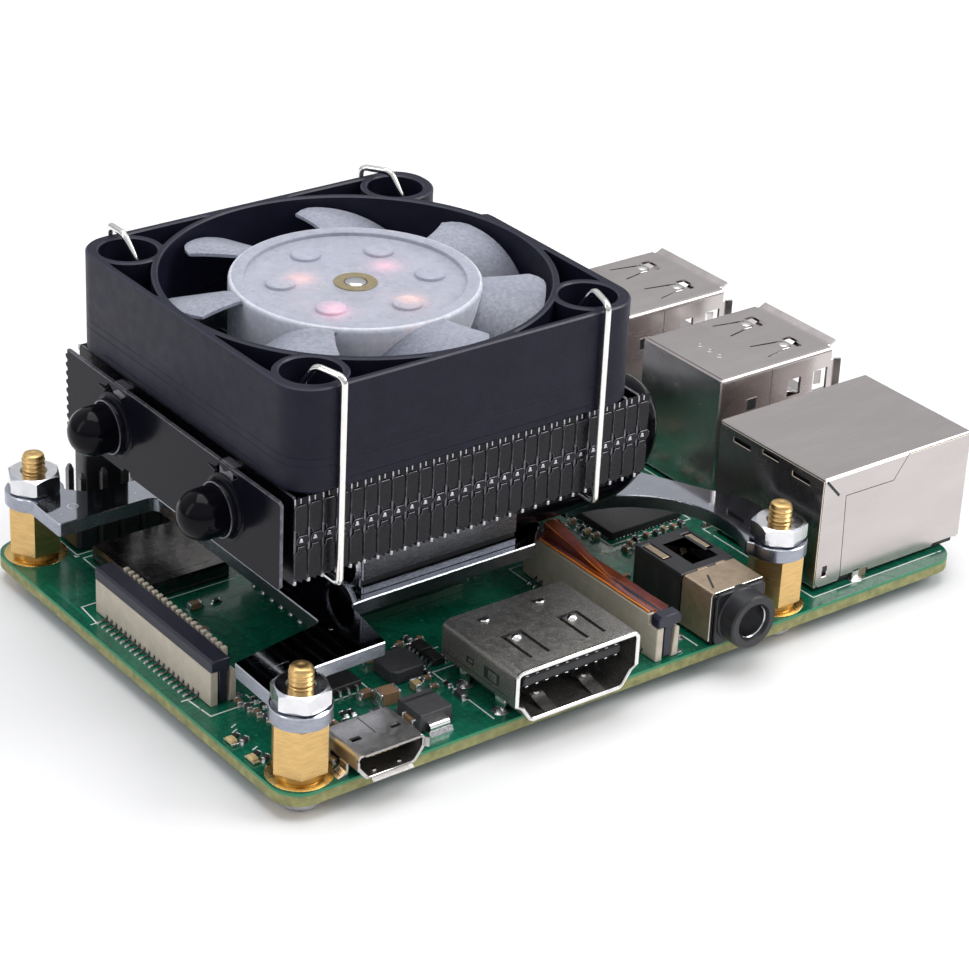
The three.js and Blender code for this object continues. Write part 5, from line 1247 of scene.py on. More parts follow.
def build_usb_core(tag, mid):
    inner, half = USB_INNER, USB_HALF
    part = Part()
    part.box(inner + 0.5, inner + 6.4, mid - half + 0.42, mid + half - 0.42, 1.95,
             USB_ROOF - 0.5, 0.15)
    for z in (2.77, 10.45):
        part.prism([(inner + 6, z + 2.4), (84.4, z + 2.4), (84.8, z + 2.7), (84.8, z + 3.9),
                    (84.6, z + 4.1), (inner + 6, z + 4.1)], mid - 4.6, mid + 4.6, "y", 0.1)
        for i in range(4):
            y = mid + (i - 1.5) * 2.2
            part.bend([(76.0, z + 2.42), (81.5, z + 2.36), (82.8, z + 2.12), (84.2, z + 2.42)],
                      0.5, 4, 0.1, y - 0.5, y + 0.5, "y", 0.02, 1)
        for y in (mid - 5.9, mid + 5.75):
            part.box(inner + 6.2, inner + 7.4, y, y + 0.15, z + 0.3, z + 4.8, 0.03)
    part.save("stacked_socket_core_" + tag, ["inner_plastic", "gold_plate"], "socket_core",
              ["usb_core_" + tag])


# Seams on the sides of the network socket: two ends as (x, z) and the width
LAN_SEAMS = [((66.5, 14.25), (68.4, 12.2), 0.3), ((69.4, 11.9), (76.1, 11.8), 0.085),
             ((76.1, 11.8), (78.0, 14.4), 0.085), ((78.0, 14.38), (87.0, 14.38), 0.07),
             ((69.4, 11.9), (69.75, 2.3), 0.085)]


def build_lan_shell():
    inner, mouth, front, rear, foot, roof, sheet = 66.2, 87.0, 2.3, 18.4, 1.92, 14.6, 0.35
    part = Part()
    part.prism(rounded(inner + 0.02, mouth, front, rear, 0.12, 3), roof - sheet, roof,
               chamfer=0.13)
    # inner wall with slots under the roof
    slots = [rect(front + 2.2, front + 4.8, 13.0, 13.5), rect(rear - 4.8, rear - 2.2, 13.0, 13.5),
             rect(front + 7.0, front + 9.4, 13.55, 13.95)]
    part.prism(rect(front + 0.12, rear - 0.12, foot, roof - 0.3), inner, inner + sheet, "x", 0.05,
               holes=slots, rim=3)
    outline = [(inner + 0.1, foot + 0.4), (inner + 0.5, foot), (inner + 3.3, foot),
               (inner + 3.5, foot + 0.35), (inner + 7.4, foot + 0.35), (inner + 7.6, foot),
               (mouth - 4.0, foot), (mouth - 3.8, foot + 0.3), (mouth, foot + 0.3),
               (mouth, roof - 0.25), (inner + 0.1, roof - 0.25)]
    for s, low, high in ((-1, front, front + sheet), (1, rear - sheet, rear)):
        part.prism(outline, low, high, "y", 0.05, rim=3,
                   holes=[rect(inner + 0.9, inner + 1.5, foot + 1.1, foot + 1.8)])
        skin = front - 0.004 if s < 0 else rear + 0.004
        depth = skin - 0.03 * s
        # seam of the folded roof flap, a small square hole and a tab
        for a, b, width in LAN_SEAMS:
            part.band([a, b], width, skin, depth, "y", mat=1)
        part.prism(rect(67.1, 67.75, 3.6, 4.25), skin, depth, "y", mat=1)
        part.prism(rect(72.5, 73.5, 1.45, 2.4), skin, depth, "y", mat=5)
        # foot with its solder
        part.box(inner + 5.4, inner + 6.4, low, high, LAND_TOP, foot + 0.6, 0.05, 2)
        part.lathe([(0.95, 1.4), (0.6, 1.6), (0.3, 1.75), (0, 1.78)], inner + 5.9,
                   (low + high) / 2, 14, mat=4)
    # bezel with spring fingers round the mouth
    part.prism(rounded(front + 0.1, rear - 0.1, foot, roof - 0.15, 0.2, 3), mouth - 0.5,
               mouth - 0.1, "x", 0.1, rim=2,
               holes=[rounded(4.0, 16.7, 3.9, 12.3, 0.25, 3), rect(3.0, 3.85, 11.0, 12.4),
                      rect(16.85, 17.7, 11.0, 12.4)])
    for y in (6.2, 10.35, 14.5):
        part.bend([(mouth - 0.3, 13.2), (mouth, 12.9), (mouth - 1.6, 12.0), (mouth - 4.0, 11.6)],
                  0.35, 4, 0.14, y - 1.1, y + 1.1, "y", 0.02, 2)
    for s, y in ((-1, 4.0), (1, 16.7)):
        part.bend([(mouth - 0.3, y + 0.3 * s), (mouth - 0.02, y + 0.1 * s),
                   (mouth - 1.6, y - 0.35 * s), (mouth - 3.6, y - 0.1 * s)],
                  0.35, 4, 0.14, 5.4, 8.6, "z", 0.02, 2)
    part.save("network_socket_shell", ["nickel_sheet", "inner_plastic", "bright_steel",
                                       "sheared_edge", "solder", "tan_sheet"],
              "socket_shell", ["lan_shell"], sharp=30)


def build_lan_core():
    part = Part()
    mid = 10.35
    # half of the stepped mouth from its side to the latch notch, as (distance from the middle, z)
    steps = [(5.9, 4.02), (3.1, 4.02), (3.1, 2.7), (1.7, 2.7), (1.7, 2.2)]
    opening = [(mid - a, z) for a, z in steps] + [(mid + a, z) for a, z in steps[::-1]]
    opening += [(mid + 5.9, 10.82), (mid - 5.9, 10.82)]
    part.prism(rect(2.75, 17.95, 1.5, 14.15), 66.7, 86.45, "x", 0.06, holes=[opening])
    part.box(73.6, 74.4, mid - 5.95, mid + 5.95, 2.1, 10.9, 0.0)
    part.box(73.8, 83.4, mid - 4.6, mid + 4.6, 9.6, 10.9, 0.15)
    for i in range(8):
        y = mid + (i - 3.5) * 1.02
        wire = fillet([(83.2, 10.2), (84.0, 9.4), (80.2, 7.4), (76.0, 6.6), (74.6, 6.6)], 0.6)
        part.tube([(p[0], y, p[1]) for p in wire], 0.2, 8, 1, "flat")
        part.box(74.0, 83.0, y - 0.42, y - 0.34, 9.4, 9.75, 0.0)
    for y, mat in ((3.35, 2), (17.35, 3)):
        part.prism(rounded(y - 0.75, y + 0.75, 11.1, 12.5, 0.2, 4), 84.0, 86.75, "x", 0.12, mat)
    part.save("network_socket_core", ["inner_plastic", "gold_plate", "ceramic_tan", "lamp_lens"],
              "socket_core", ["lan_core"])


VIDEO_X = 32.0
VIDEO_HALF = 7.5


def build_video_shell():
    mid, half, front, rear, foot, roof, sheet = VIDEO_X, VIDEO_HALF, -1.5, 10.4, 1.47, 7.4, 0.34

    def profile(o):
        """Floor, right and left roof bends of the shell, moved inwards by o."""
        side = [(7.5 - o, foot + 2.2), (6.75 - o * 0.8, foot + 1.75 + o * 0.3),
                (5.75 - o * 0.5, foot + 0.3 + o * 0.6), (5.3 - o * 0.3, foot + o)]
        floor = [(mid - a, z) for a, z in side] + [(mid + a, z) for a, z in side[::-1]]
        r = 0.75 - o
        right = arc(mid + half - o - r, roof - o - r, r, 0, 90, 5)
        left = arc(mid - half + o + r, roof - o - r, r, 90, 180, 5)
        return floor, right, left

    part = Part()
    # shell without the flat of its roof, then the roof with the cut springs
    floor, right, left = profile(0)
    floor_in, right_in, left_in = profile(sheet)
    part.prism(left + floor + right + (left_in + floor_in + right_in)[::-1], front, rear, "y",
               0.06, base=0.09, rim=1)
    springs = (mid - 3.4, mid + 3.4)
    domes = (mid - 4.1, mid + 2.6)
    holes = [[(x - 1.25, 0.3), (x - 0.85, 0.3), (x - 0.85, 4.55), (x + 0.85, 4.55),
              (x + 0.85, 0.3), (x + 1.25, 0.3), (x + 1.25, 4.95), (x - 1.25, 4.95)]
             for x in springs]
    holes += [[(x - 0.7, 8.6)] + arc(x, 8.6, 0.7, 180, 360, 8)[1:-1]
              + [(x + 0.7, 8.6), (x + 0.5, 8.75), (x - 0.5, 8.75)] for x in domes]
    part.prism(rect(mid - 6.75, mid + 6.75, front, rear), roof - sheet, roof, holes=holes)
    for x in springs:
        # raised bright bump near the rear end of each spring
        part.lathe([(0.62, roof - 0.01), (0.5, roof + 0.2), (0.28, roof + 0.32), (0, roof + 0.35)],
                   x, 4.1, 20, mat=1)
        part.box(x - 0.82, x + 0.82, 0.4, 4.5, roof - sheet - 0.2, roof - sheet + 0.02)
    for x in domes:
        part.prism([(x - 0.62, 8.35)] + arc(x, 8.35, 0.62, 180, 360, 10)[1:-1]
                   + [(x + 0.62, 8.35)], roof - 0.02, roof + 0.22, "z", 0.1, 1)
    # bright rolled rim of the mouth
    part.prism(sum(profile(-0.02), []), front - 0.02, front + 0.3, "y", 0.04, 1, base=0.1,
               holes=[sum(profile(sheet + 0.1), [])])
    # floor springs in the mouth
    for x in (mid - 2.9, mid + 2.9):
        part.bend([(front + 0.3, foot + 0.36), (0.6, foot + 0.7), (1.4, foot + 1.15),
                   (2.4, foot + 0.7), (4.6, foot + 0.4)], 0.5, 5, 0.16, x - 0.75, x + 0.75, "x",
                  0.02)
        part.lathe([(0.42, foot + 0.95), (0.3, foot + 1.2), (0, foot + 1.28)], x, 1.35, 16, mat=1)
    # side windows, seams and feet
    for s in (-1, 1):
        x = mid + s * half
        for y0, y1, z0, z1 in ((1.2, 3.6, 4.6, 5.9), (5.2, 6.4, 4.9, 5.6)):
            part.box(x, x + s * 0.01, y0, y1, z0, z1, 0.0, 2)
            part.bend([(x - s * 0.1, y0), (x + s * 0.05, (y0 + y1) / 2), (x - s * 0.15, y1 - 0.1)],
                      0.4, 4, 0.12, z0 + 0.2, z1 - 0.2, "z", 0.02)
        part.box(x - s * 0.02, x + s * 0.012, -0.6, rear - 0.4, foot + 2.75, foot + 2.81, 0.0, 2)
        for y in (1.9, 7.6):
            part.prism([(y - 0.75, 3.2), (y - 0.6, LAND_TOP), (y + 0.6, LAND_TOP),
                        (y + 0.75, 3.2)], x - s * 0.75, x - s * 1.05, "x", 0.03, 1)
            part.lathe([(0.95, 1.4), (0.6, 1.62), (0.25, 1.8), (0, 1.82)], x - s * 0.9, y, 14,
                       mat=3)
    # rear flap
    part.prism([(mid - 7.1, foot + 2.2), (mid - 5.4, foot + 0.3), (mid + 5.4, foot + 0.3),
                (mid + 7.1, foot + 2.2), (mid + 7.1, roof - 0.4), (mid - 7.1, roof - 0.4)],
               rear - 0.34, rear - 0.02, "y", 0.05)
    part.save("video_socket_shell", ["grainy_plate", "bright_steel", "inner_plastic", "solder"],
              "video_shell_steel", ["video_shell"], sharp=34)


def build_video_core():
    mid = VIDEO_X
    part = Part()
    part.prism([(mid - 7.05, 4.0), (mid - 6.3, 3.3), (mid - 5.3, 2.0), (mid + 5.3, 2.0),
                (mid + 6.3, 3.3), (mid + 7.05, 4.0), (mid + 7.05, 6.9), (mid - 7.05, 6.9)],
               6.0, 9.95, "y", 0.05)
    part.prism([(-0.5, 5.1), (-0.5, 5.75), (-0.3, 5.95), (6.4, 5.95), (6.4, 4.85), (-0.3, 4.85)],
               mid - 5.9, mid + 5.9, "x", 0.12)
    for i in range(19):
        x = mid + (i - 9) * 0.6
        tip = -0.42 + 0.25 * (i % 2)
        for z in (4.79, 5.93):
            part.box(x - 0.16, x + 0.16, tip, 6.0, z, z + 0.08, 0.02, 1)
        part.box(x - 0.13, x + 0.13, 10.35, 10.95, LAND_TOP, 1.56, 0.03, 1)
    part.save("video_socket_core", ["inner_plastic", "tin_cap"], "socket_core", ["video_core"])


SUPPLY_X = 10.6
SUPPLY_FOOT, SUPPLY_ROOF = 1.44, 4.25


def build_supply_shell():
    mid, half, front, rear, sheet = SUPPLY_X, 3.75, -1.0, 4.7, 0.24
    foot, roof = SUPPLY_FOOT, SUPPLY_ROOF

    def section(o):
        """Shell from the left roof bend over the floor to the right one, moved inwards by o."""
        w, z, r = half - o, foot + o, 0.5 - o
        floor = [(mid - w, z + 1.35), (mid - w + 0.9, z + 0.15), (mid - w + 1.15, z),
                 (mid + w - 1.15, z), (mid + w - 0.9, z + 0.15), (mid + w, z + 1.35)]
        return (arc(mid - w + r, roof - o - r, r, 90, 180, 4) + floor
                + arc(mid + w - r, roof - o - r, r, 0, 90, 4))

    part = Part()
    part.prism(section(0) + section(sheet)[::-1], front, rear, "y", 0.04, rim=1)
    springs = (mid - 2.2, mid + 2.2)
    holes = [rect(x - 0.55, x + 0.55, 1.35, 2.0) for x in springs]
    holes.append(rect(mid - 0.05, mid + 0.05, 1.6, 4.5))
    part.prism(rect(mid - 3.28, mid + 3.28, front, rear), roof - sheet, roof, holes=holes)
    for x in springs:
        part.bend([(1.5, roof - 0.25), (1.0, roof - 0.4), (0.4, roof - 0.55)], 0.2, 3, 0.1,
                  x - 0.4, x + 0.4, "x", 0.02, 1)
        part.box(x - 0.5, x + 0.5, 1.3, 2.05, roof - 0.62, roof - 0.56, 0.0, 2)
    # flared mouth, four petals
    for z, s, reach in ((roof, 1, 3.2), (foot, -1, 2.3)):
        root = 0.11 if s > 0 else 0.12
        part.bend([(front + 0.3, z - s * root), (front + 0.02, z - s * (root - 0.01)),
                   (front - 0.46, z + s * 0.16)], 0.2, 4, 0.2, mid - reach, mid + reach, "x",
                  0.03, rim=1)
    for s in (-1, 1):
        part.bend([(mid + s * (half - 0.1), front + 0.3), (mid + s * (half - 0.09), front + 0.02),
                   (mid + s * (half + 0.2), front - 0.42)], 0.2, 4, 0.2, foot + 1.5, roof - 0.35,
                  "z", 0.03, rim=1)
        for y in (0.6, 3.4):
            part.box(mid + s * half, mid + s * (half + 0.8), y, y + 1.2, 1.43, 1.58, 0.04, 1)
            part.box(mid + s * (half - 0.1), mid + s * (half + 0.14), y, y + 1.2, 1.43, 2.7)
            part.prism([(mid + s * (half + 0.1), LAND_TOP), (mid + s * (half + 1.1), LAND_TOP),
                        (mid + s * (half + 0.3), 1.75), (mid + s * (half + 0.1), 1.9)], y - 0.1,
                       y + 1.3, "y", 0.02, 3)
    part.box(mid - 3.4, mid + 3.4, rear - 0.3, rear, foot + 0.2, roof - 0.15, 0.05)
    # floor bumps
    for x in (mid - 1.4, mid + 1.4):
        part.lathe([(0.3, foot + 0.2), (0.2, foot + 0.36), (0, foot + 0.4)], x, -0.2, 14, mat=1)
    part.save("supply_socket_shell", ["port_plate", "bright_steel", "inner_plastic", "solder"],
              "socket_shell", ["power_port_shell"], sharp=34)


def build_supply_core():
    mid = SUPPLY_X
    part = Part()
    part.box(mid - 3.3, mid + 3.3, 2.9, 4.35, SUPPLY_FOOT + 0.35, SUPPLY_ROOF - 0.3, 0.08)
    part.prism([(-0.1, 3.2), (0.0, 3.08), (3.2, 3.08), (3.2, 3.68), (-0.1, 3.62)], mid - 1.9,
               mid + 1.9, "x", 0.08)
    for i in range(5):
        x = mid + (i - 2) * 0.65
        part.box(x - 0.17, x + 0.17, 0.0, 3.0, 3.02, 3.1, 0.02, 1)
        part.box(x - 0.14, x + 0.14, 4.6, 5.3, LAND_TOP, 1.55, 0.02, 1)
    part.save("supply_socket_core", ["inner_plastic", "gold_plate"], "socket_core",
              ["power_port_core"])


def build_audio():
    mid, left, right, rear, roof, axis_z = 53.5, 50.0, 57.0, 12.4, 7.3, 4.3
    part = Part()
    # block with the open spring chamber, lower at the front
    rear_block = [(left, 4.9), (right, 4.9), (right, rear - 0.3), (right - 0.3, rear),
                  (left + 0.3, rear), (left, rear - 0.3)]
    part.prism(rear_block, 5.9, roof, "z", 0.12, base=0.0,
               holes=[rect(mid - 1.0, mid + 2.2, 6.1, 10.6),
                      rect(left + 0.5, left + 1.5, 8.3, 11.6),
                      rect(right - 1.5, right - 0.5, 7.6, 11.4)])
    nose = [(left + 0.3, 0.12), (right - 0.25, 0.12), (right, 0.4)]
    part.prism(nose + [(right, 5.0), (left + 0.3, 5.0)], 5.9, 6.98, "z", 0.05, base=0.0)
    part.prism(nose + rear_block[2:] + [(left, 4.9), (left + 0.3, 4.9)], 1.43, 5.92, "z", 0.0,
               base=0.1, holes=[rect(mid - 1.8, mid + 2.2, 3.5, 10.6)])
    part.prism(rect(left + 0.35, right - 0.2, 1.5, 5.9), 0.12, 3.6, "y", 0.02,
               holes=[circle(mid, axis_z, 1.82)])
    # barrel: turned nose with a stepped rim and a bore
    part.lathe([(1.82, 0.5), (1.82, -2.15), (2.05, -2.5), (2.72, -2.5), (2.9, -2.32),
                (2.9, -0.6), (3.02, -0.45), (3.02, 0.3), (2.9, 0.5)], mid, axis_z, 48, "y",
               closed=True)
    part.lathe([(1.8, -2.1), (1.8, 3.5), (1.72, 3.5), (1.72, -2.0)], mid, axis_z, 40, "y", 1,
               closed=True)
    part.cylinder(mid, axis_z, 9.5, 10.4, 1.9, axis="y", mat=1)
    # collar between barrel and block
    part.prism(rounded(left + 0.4, right - 0.25, 1.46, 7.2, 0.7, 5), -0.28, 0.14, "y", 0.1,
               holes=[circle(mid, axis_z, 1.85)])
    # ribs and slots on the left side
    for y in (5.4, 8.2, 10.6):
        part.box(left - 0.02, left + 0.2, y, y + 0.9, 2.0, 6.2, 0.06, 2)
    part.box(left + 0.3, left + 0.5, 1.0, 4.0, 2.2, 5.6, 0.05, 2)
    for rise in (0.9, 1.6):
        part.box(left + 0.6, left + 1.2, -0.3, -0.26, 2.2 + rise, 2.6 + rise, 0.0, 2)
    # contact springs in the chamber
    for x in (mid - 0.5, mid + 1.4):
        part.bend([(6.2, 6.6), (8.0, 5.2), (9.4, 5.0), (10.4, 6.4)], 0.6, 5, 0.16, x - 0.35,
                  x + 0.35, "x", 0.02, 3)
    for x, y in ((left + 1.0, 9.95), (right - 1.0, 9.5)):
        part.box(x - 0.42, x + 0.42, y - 1.5, y + 1.5, roof - 0.12, roof - 0.01, 0.03, 3)
    # solder tails
    for x, y in ((left - 0.25, 5.8), (left - 0.25, 10.9), (right + 0.02, 3.4), (right + 0.02, 9.6)):
        part.box(x, x + 0.25, y - 0.5, y + 0.5, LAND_TOP, 2.5, 0.03, 4)
        part.lathe([(0.75, 1.4), (0.45, 1.56), (0.2, 1.66), (0, 1.68)], x + 0.1, y, 12, mat=5)
    part.save("sound_socket_body", ["black_plastic", "ground_shaft", "inner_plastic", "tan_sheet",
                                    "tin_cap", "solder"], "audio_plastic", ["audio_body"], sharp=34)
    # sheet folded over the left side and the roof
    part = Part()
    part.bend([(left + 0.14, 1.84), (left + 0.14, roof - 0.12), (right - 0.3, roof - 0.12)], 0.4,
              6, 0.2, 0.25, 4.72, "y", 0.03, rim=1)
    for x in (left + 2.0, left + 4.4):
        part.prism([(x, 4.7), (x + 1.3, 4.7), (x + 1.0, 5.6), (x + 0.3, 5.6)], roof - 0.22,
                   roof - 0.02, "z", 0.02)
    part.prism([(left + 0.9, 1.2), (left + 1.15, 1.2), (left + 2.3, 3.4), (left + 2.1, 3.5)],
               roof - 0.03, roof + 0.012, mat=2)
    part.save("sound_socket_sheet", ["tan_sheet", "bright_steel", "inner_plastic"], "audio_sheet",
              ["audio_clip"], sharp=34)


FLAT_CONTACTS = 20
FLAT_TOP = 6.12


def flat_contact_ys(front, rear):
    pitch = (rear - front - 4.4) / (FLAT_CONTACTS - 1)
    return pitch, [front + 2.2 + pitch * i for i in range(FLAT_CONTACTS)]


def build_flat_socket(tag, left, front, rear, covered):
    """Flat-cable socket: end posts, tails at the foot of the left wall and a comb on the right."""
    depth, wall = 2.9, 5.12
    pitch, contact_ys = flat_contact_ys(front, rear)
    part = Part()
    # long wall with a slot under it for every tail
    slots = [rect(y - 0.15, y + 0.15, 1.5, 2.0) for y in contact_ys]
    part.prism(rect(front, rear, 1.44, wall), left + 0.02, left + 0.85, "x", 0.05, base=0.07,
               holes=slots)
    if not covered:
        part.prism(rect(front + 1.4, rear - 1.4, wall - 0.1, FLAT_TOP), left + 0.02, left + 0.85,
                   "x", 0.05, base=0.07)
    part.prism(rect(left + 0.4, left + depth, front + 1.0, rear - 1.0), 1.44, 2.72, "z", 0.05)
    # comb wall: low back with a tooth between every pair of contacts
    comb, back = left + 2.3, left + depth
    part.prism(rect(comb + 0.3, back, front + 1.6, rear - 1.6), 2.6, 5.2, "z", 0.04)
    top = FLAT_TOP + 0.33 if covered else FLAT_TOP - 0.5
    for i in range(FLAT_CONTACTS + 1):
        y = front + 2.2 + pitch * (i - 0.5)
        part.box(comb, back, y - pitch * 0.27, y + pitch * 0.27, 2.6, top, 0.07)
    for y in contact_ys:
        part.box(comb + 0.12, back - 0.1, y - 0.11, y + 0.11, 2.7, 5.4, 0.03, 2)
        # bent tail, dark over its length and bright at the end
        part.bend([(left + 0.5, 1.72), (left - 0.1, 1.72), (left - 0.3, 1.5), (left - 0.72, 1.48)],
                  0.15, 4, 0.12, y - 0.13, y + 0.13, "y", 0.02, 2)
        part.prism([(left - 1.15, 1.4), (left - 0.62, 1.4), (left - 0.66, 1.57),
                    (left - 1.0, 1.56)], y - 0.15, y + 0.15, "y", 0.03, 1)
    # end posts and hold-down tabs
    for low, high in ((front, front + 1.05), (rear - 1.05, rear)):
        part.prism([(left + 2.1, 1.44), (left + depth, 1.44), (left + depth, 4.6),
                    (left + 2.65, 4.8), (left + 2.35, 4.8)], low, high, "y", 0.06)
    for y in (front + 0.45, rear - 0.45):
        part.box(left + 3.0, left + 3.7, y - 0.35, y + 0.35, LAND_TOP, 1.6, 0.03, 3)
    part.save(tag + "_flat_socket", ["beige_nylon", "ground_shaft", "epoxy_grey", "solder"],
              "cable_socket_beige", [tag + "_base"], sharp=36)


def build_flat_latch(tag, left, front, rear, covered):
    """Latch bar on two legs. A covered socket's bar reaches over the left wall, else it has lugs."""
    part = Part()
    part.prism([(left + 1.35, 4.72), (left + 2.1, 4.72), (left + 2.1, 5.75), (left + 1.9, 5.92),
                (left + 1.35, 5.92)], front + 0.1, rear - 0.1, "y", 0.05)
    if covered:
        part.prism([(left + 0.05, 5.18), (left + 2.1, 5.18), (left + 2.1, 6.32),
                    (left + 1.98, 6.42), (left + 0.3, 6.42), (left + 0.05, 6.2)], front - 0.15,
                   rear + 0.15, "y", 0.08)
    lug = [(0.05, 5.3), (0.3, 5.18), (0.95, 5.18), (1.0, 4.9), (1.95, 4.9), (2.05, 5.18),
           (2.8, 5.18), (2.95, 5.36), (2.95, 6.1), (2.6, 6.47), (0.4, 6.47), (0.05, 6.2)]
    for y, inward in ((front, 1), (rear, -1)):
        part.box(left + 1.0, left + 1.9, y, y + inward * 0.85, 1.74, FLAT_TOP - 0.2, 0.07)
        if not covered:
            part.prism([(left + x, z) for x, z in lug], y - inward * 0.15, y + inward * 1.15,
                       "y", 0.1)
    for y in flat_contact_ys(front, rear)[1]:
        part.box(left + 2.05, left + 2.17, y - 0.16, y + 0.16, 4.85, 5.6, 0.02)
    part.save(tag + "_flat_latch", ["latch_plastic", "beige_nylon"], "latch_dark",
              [tag + "_latch"], tag + "_lock", sharp=36)


def add_sheet(part, grid, thick, rims):
    """Thin sheet on a grid of points. rims: finishes of the first and last column and row."""
    n, m = len(grid) - 1, len(grid[0]) - 1
    points, faces, mats = [], [], []
    for sign in (-1, 1):
        for i in range(n + 1):
            for j in range(m + 1):
                down = Vector(grid[min(n, i + 1)][j]) - Vector(grid[max(0, i - 1)][j])
                across = Vector(grid[i][min(m, j + 1)]) - Vector(grid[i][max(0, j - 1)])
                normal = down.cross(across).normalized()
                points.append(Vector(grid[i][j]) + normal * (sign * thick / 2))
    width = m + 1
    top = (n + 1) * width
    for i in range(n):
        for j in range(m):
            a, b, c, d = (i * width + j, i * width + j + 1, (i + 1) * width + j + 1,
                          (i + 1) * width + j)
            faces += [(a, b, c, d), (top + d, top + c, top + b, top + a)]
            mats += [0, 0]
    for i in range(n):
        for j, mat in ((0, rims[0]), (m, rims[1])):
            a, d = i * width + j, (i + 1) * width + j
            faces.append((a, d, top + d, top + a) if j == 0 else (a, top + a, top + d, d))
            mats.append(mat)
    for j in range(m):
        for i, mat in ((0, rims[2]), (n, rims[3])):
            a, b = i * width + j, i * width + j + 1
            faces.append((a, top + a, top + b, b) if i == 0 else (a, b, top + b, top + a))
            mats.append(mat)
    part.put(points, faces, mats)


def build_film():
    """Thin amber film: a tongue in the slot, and a cover on the latch with a flap folded back."""
    sin = math.sin
    # every edge of the film is drawn in the bright orange, a painted highlight
    front = 2.3
    part = Part()
    add_sheet(part, [[(44.55 + 0.03 * sin(i), front + 18.0 * i / 20, 3.05 + 2.95 * j / 4)
                      for j in range(5)] for i in range(21)], 0.07, (1, 1, 1, 1))
    part.save("camera_socket_film", ["amber_film", "amber_edge_painted_highlight"], "amber_film", ["camera_film"],
              sharp=60)

    # what shows above the socket is stuck to the latch and lifts with it
    part = Part()
    n = 26
    fold, flap_length = 8.5, 11.8

    def top(y):
        return 5.98 + max(0.0, y - fold) * (7.72 - 5.98) / flap_length

    ys = [front + 18.0 * i / n for i in range(n + 1)]
    add_sheet(part, [[(44.68 + 0.06 * sin(y * 0.9) * j / 4, y, 5.0 + (top(y) - 5.0) * j / 4)
                      for j in range(5)] for y in ys], 0.06, (1, 1, 0, 1))
    # narrow strip lying over the long wall, with a painted highlight along its edge
    ys = [front + 17.9 * i / n for i in range(n + 1)]
    add_sheet(part, [[(43.72 + 0.88 * j / 4, y, 6.31 - 0.1 * (j / 4) ** 2 + 0.02 * sin(i * 0.8))
                      for j in range(5)] for i, y in enumerate(ys)], 0.07, (1, 0, 0, 0))
    part.tube([(43.72, y, 6.31 + 0.02 * sin(i * 0.8)) for i, y in enumerate(ys)], 0.085, 8, 1)
    # sagging strip over the comb
    add_sheet(part, [[(44.76 + 1.5 * j / 8, y,
                       6.0 + 0.16 * (j / 8) - 0.26 * sin(math.pi * j / 8) + 0.04 * sin(i * 0.6 + j))
                      for j in range(9)] for i, y in enumerate(ys)], 0.06, (0, 1, 0, 0))
    # flap folded back, widening toward the rear
    rows = []
    for i in range(n + 1):
        y = fold + flap_length * i / n
        width = 1.55 * ((y - fold) / flap_length) ** 0.9 + 0.02
        rows.append([(44.72 + width * j / 6, y - 0.4 * (j / 6) * i / n,
                      top(y) + 0.03 + 0.1 * width * sin(math.pi * j / 6)) for j in range(7)])
    add_sheet(part, rows, 0.06, (1, 1, 0, 1))
    part.save("camera_latch_film", ["amber_film", "amber_edge_painted_highlight"], "amber_film", [], "camera_lock",
              sharp=60)


def build_card():
    """Memory card socket under the left edge."""
    left, right, front, rear = 1.8, 15.1, 22.0, 34.0
    part = Part()
    holes = [rect(left + 6, left + 8.5, front + 1.6, front + 2.6),
             rect(left + 6, left + 8.5, rear - 2.6, rear - 1.6),
             rounded(left + 3.4, left + 5.2, 26.4, 29.6, 0.4, 4),
             rect(left + 9.4, left + 12.6, 24.8, 25.2), rect(left + 9.4, left + 12.6, 30.8, 31.2)]
    outline = [(left, front + 0.3), (left + 0.3, front), (right - 0.3, front),
               (right, front + 0.3), (right, rear - 0.3), (right - 0.3, rear), (left + 0.3, rear),
               (left, rear - 0.3), (left, 31.5), (left + 1.9, 30.4), (left + 1.9, 25.6),
               (left, 24.5)]
    part.prism(outline, -1.45, -1.25, holes=holes, base=0.06, rim=1)
    for y in (front, rear - 0.25):
        part.prism([(left + 0.4, -1.3), (right - 0.3, -1.3), (right - 0.3, -0.03),
                    (left + 9, -0.03), (left + 8.6, -0.5), (left + 5.6, -0.5), (left + 5.2, -0.03),
                    (left + 0.4, -0.03)], y, y + 0.25, "y", 0.02)
    part.box(right - 0.25, right, front + 0.2, rear - 0.2, -1.35, -0.05)
    for y in (front + 0.1, rear - 0.7):
        for x in (left + 2.2, left + 11.0):
            part.box(x, x + 1.4, y - 0.5, y + 1.1, -0.14, -0.02, 0.03, 2)
    for y in (25.0, 31.0):
        part.bend([(left + 9.6, -1.34), (left + 11.2, -1.05), (left + 12.4, -1.3)], 0.5, 4, 0.1,
                  y - 0.15, y + 0.15, "y", 0.01, 1)
    part.save("card_socket_shell", ["nickel_sheet", "bright_steel", "solder"], "socket_shell",
              ["card_shell"], sharp=34)
    part = Part()
    part.box(10.5, 14.7, 22.45, 33.55, -1.15, -0.04, 0.06)
    part.box(3.4, 10.7, 22.45, 33.55, -0.32, -0.04)
    for i in range(8):
        y = 24.2 + i * 1.1
        part.bend([(12.0, -0.5), (9.4, -0.62), (8.6, -0.9), (7.9, -0.7)], 0.3, 3, 0.08, y - 0.2,
                  y + 0.2, "y", 0.01, 1)
        part.box(right, 15.7, y - 0.16, y + 0.16, -0.15, -0.02, 0.02, 2)
    part.save("card_socket_core", ["inner_plastic", "gold_plate", "solder"], "socket_core",
              ["card_core"])


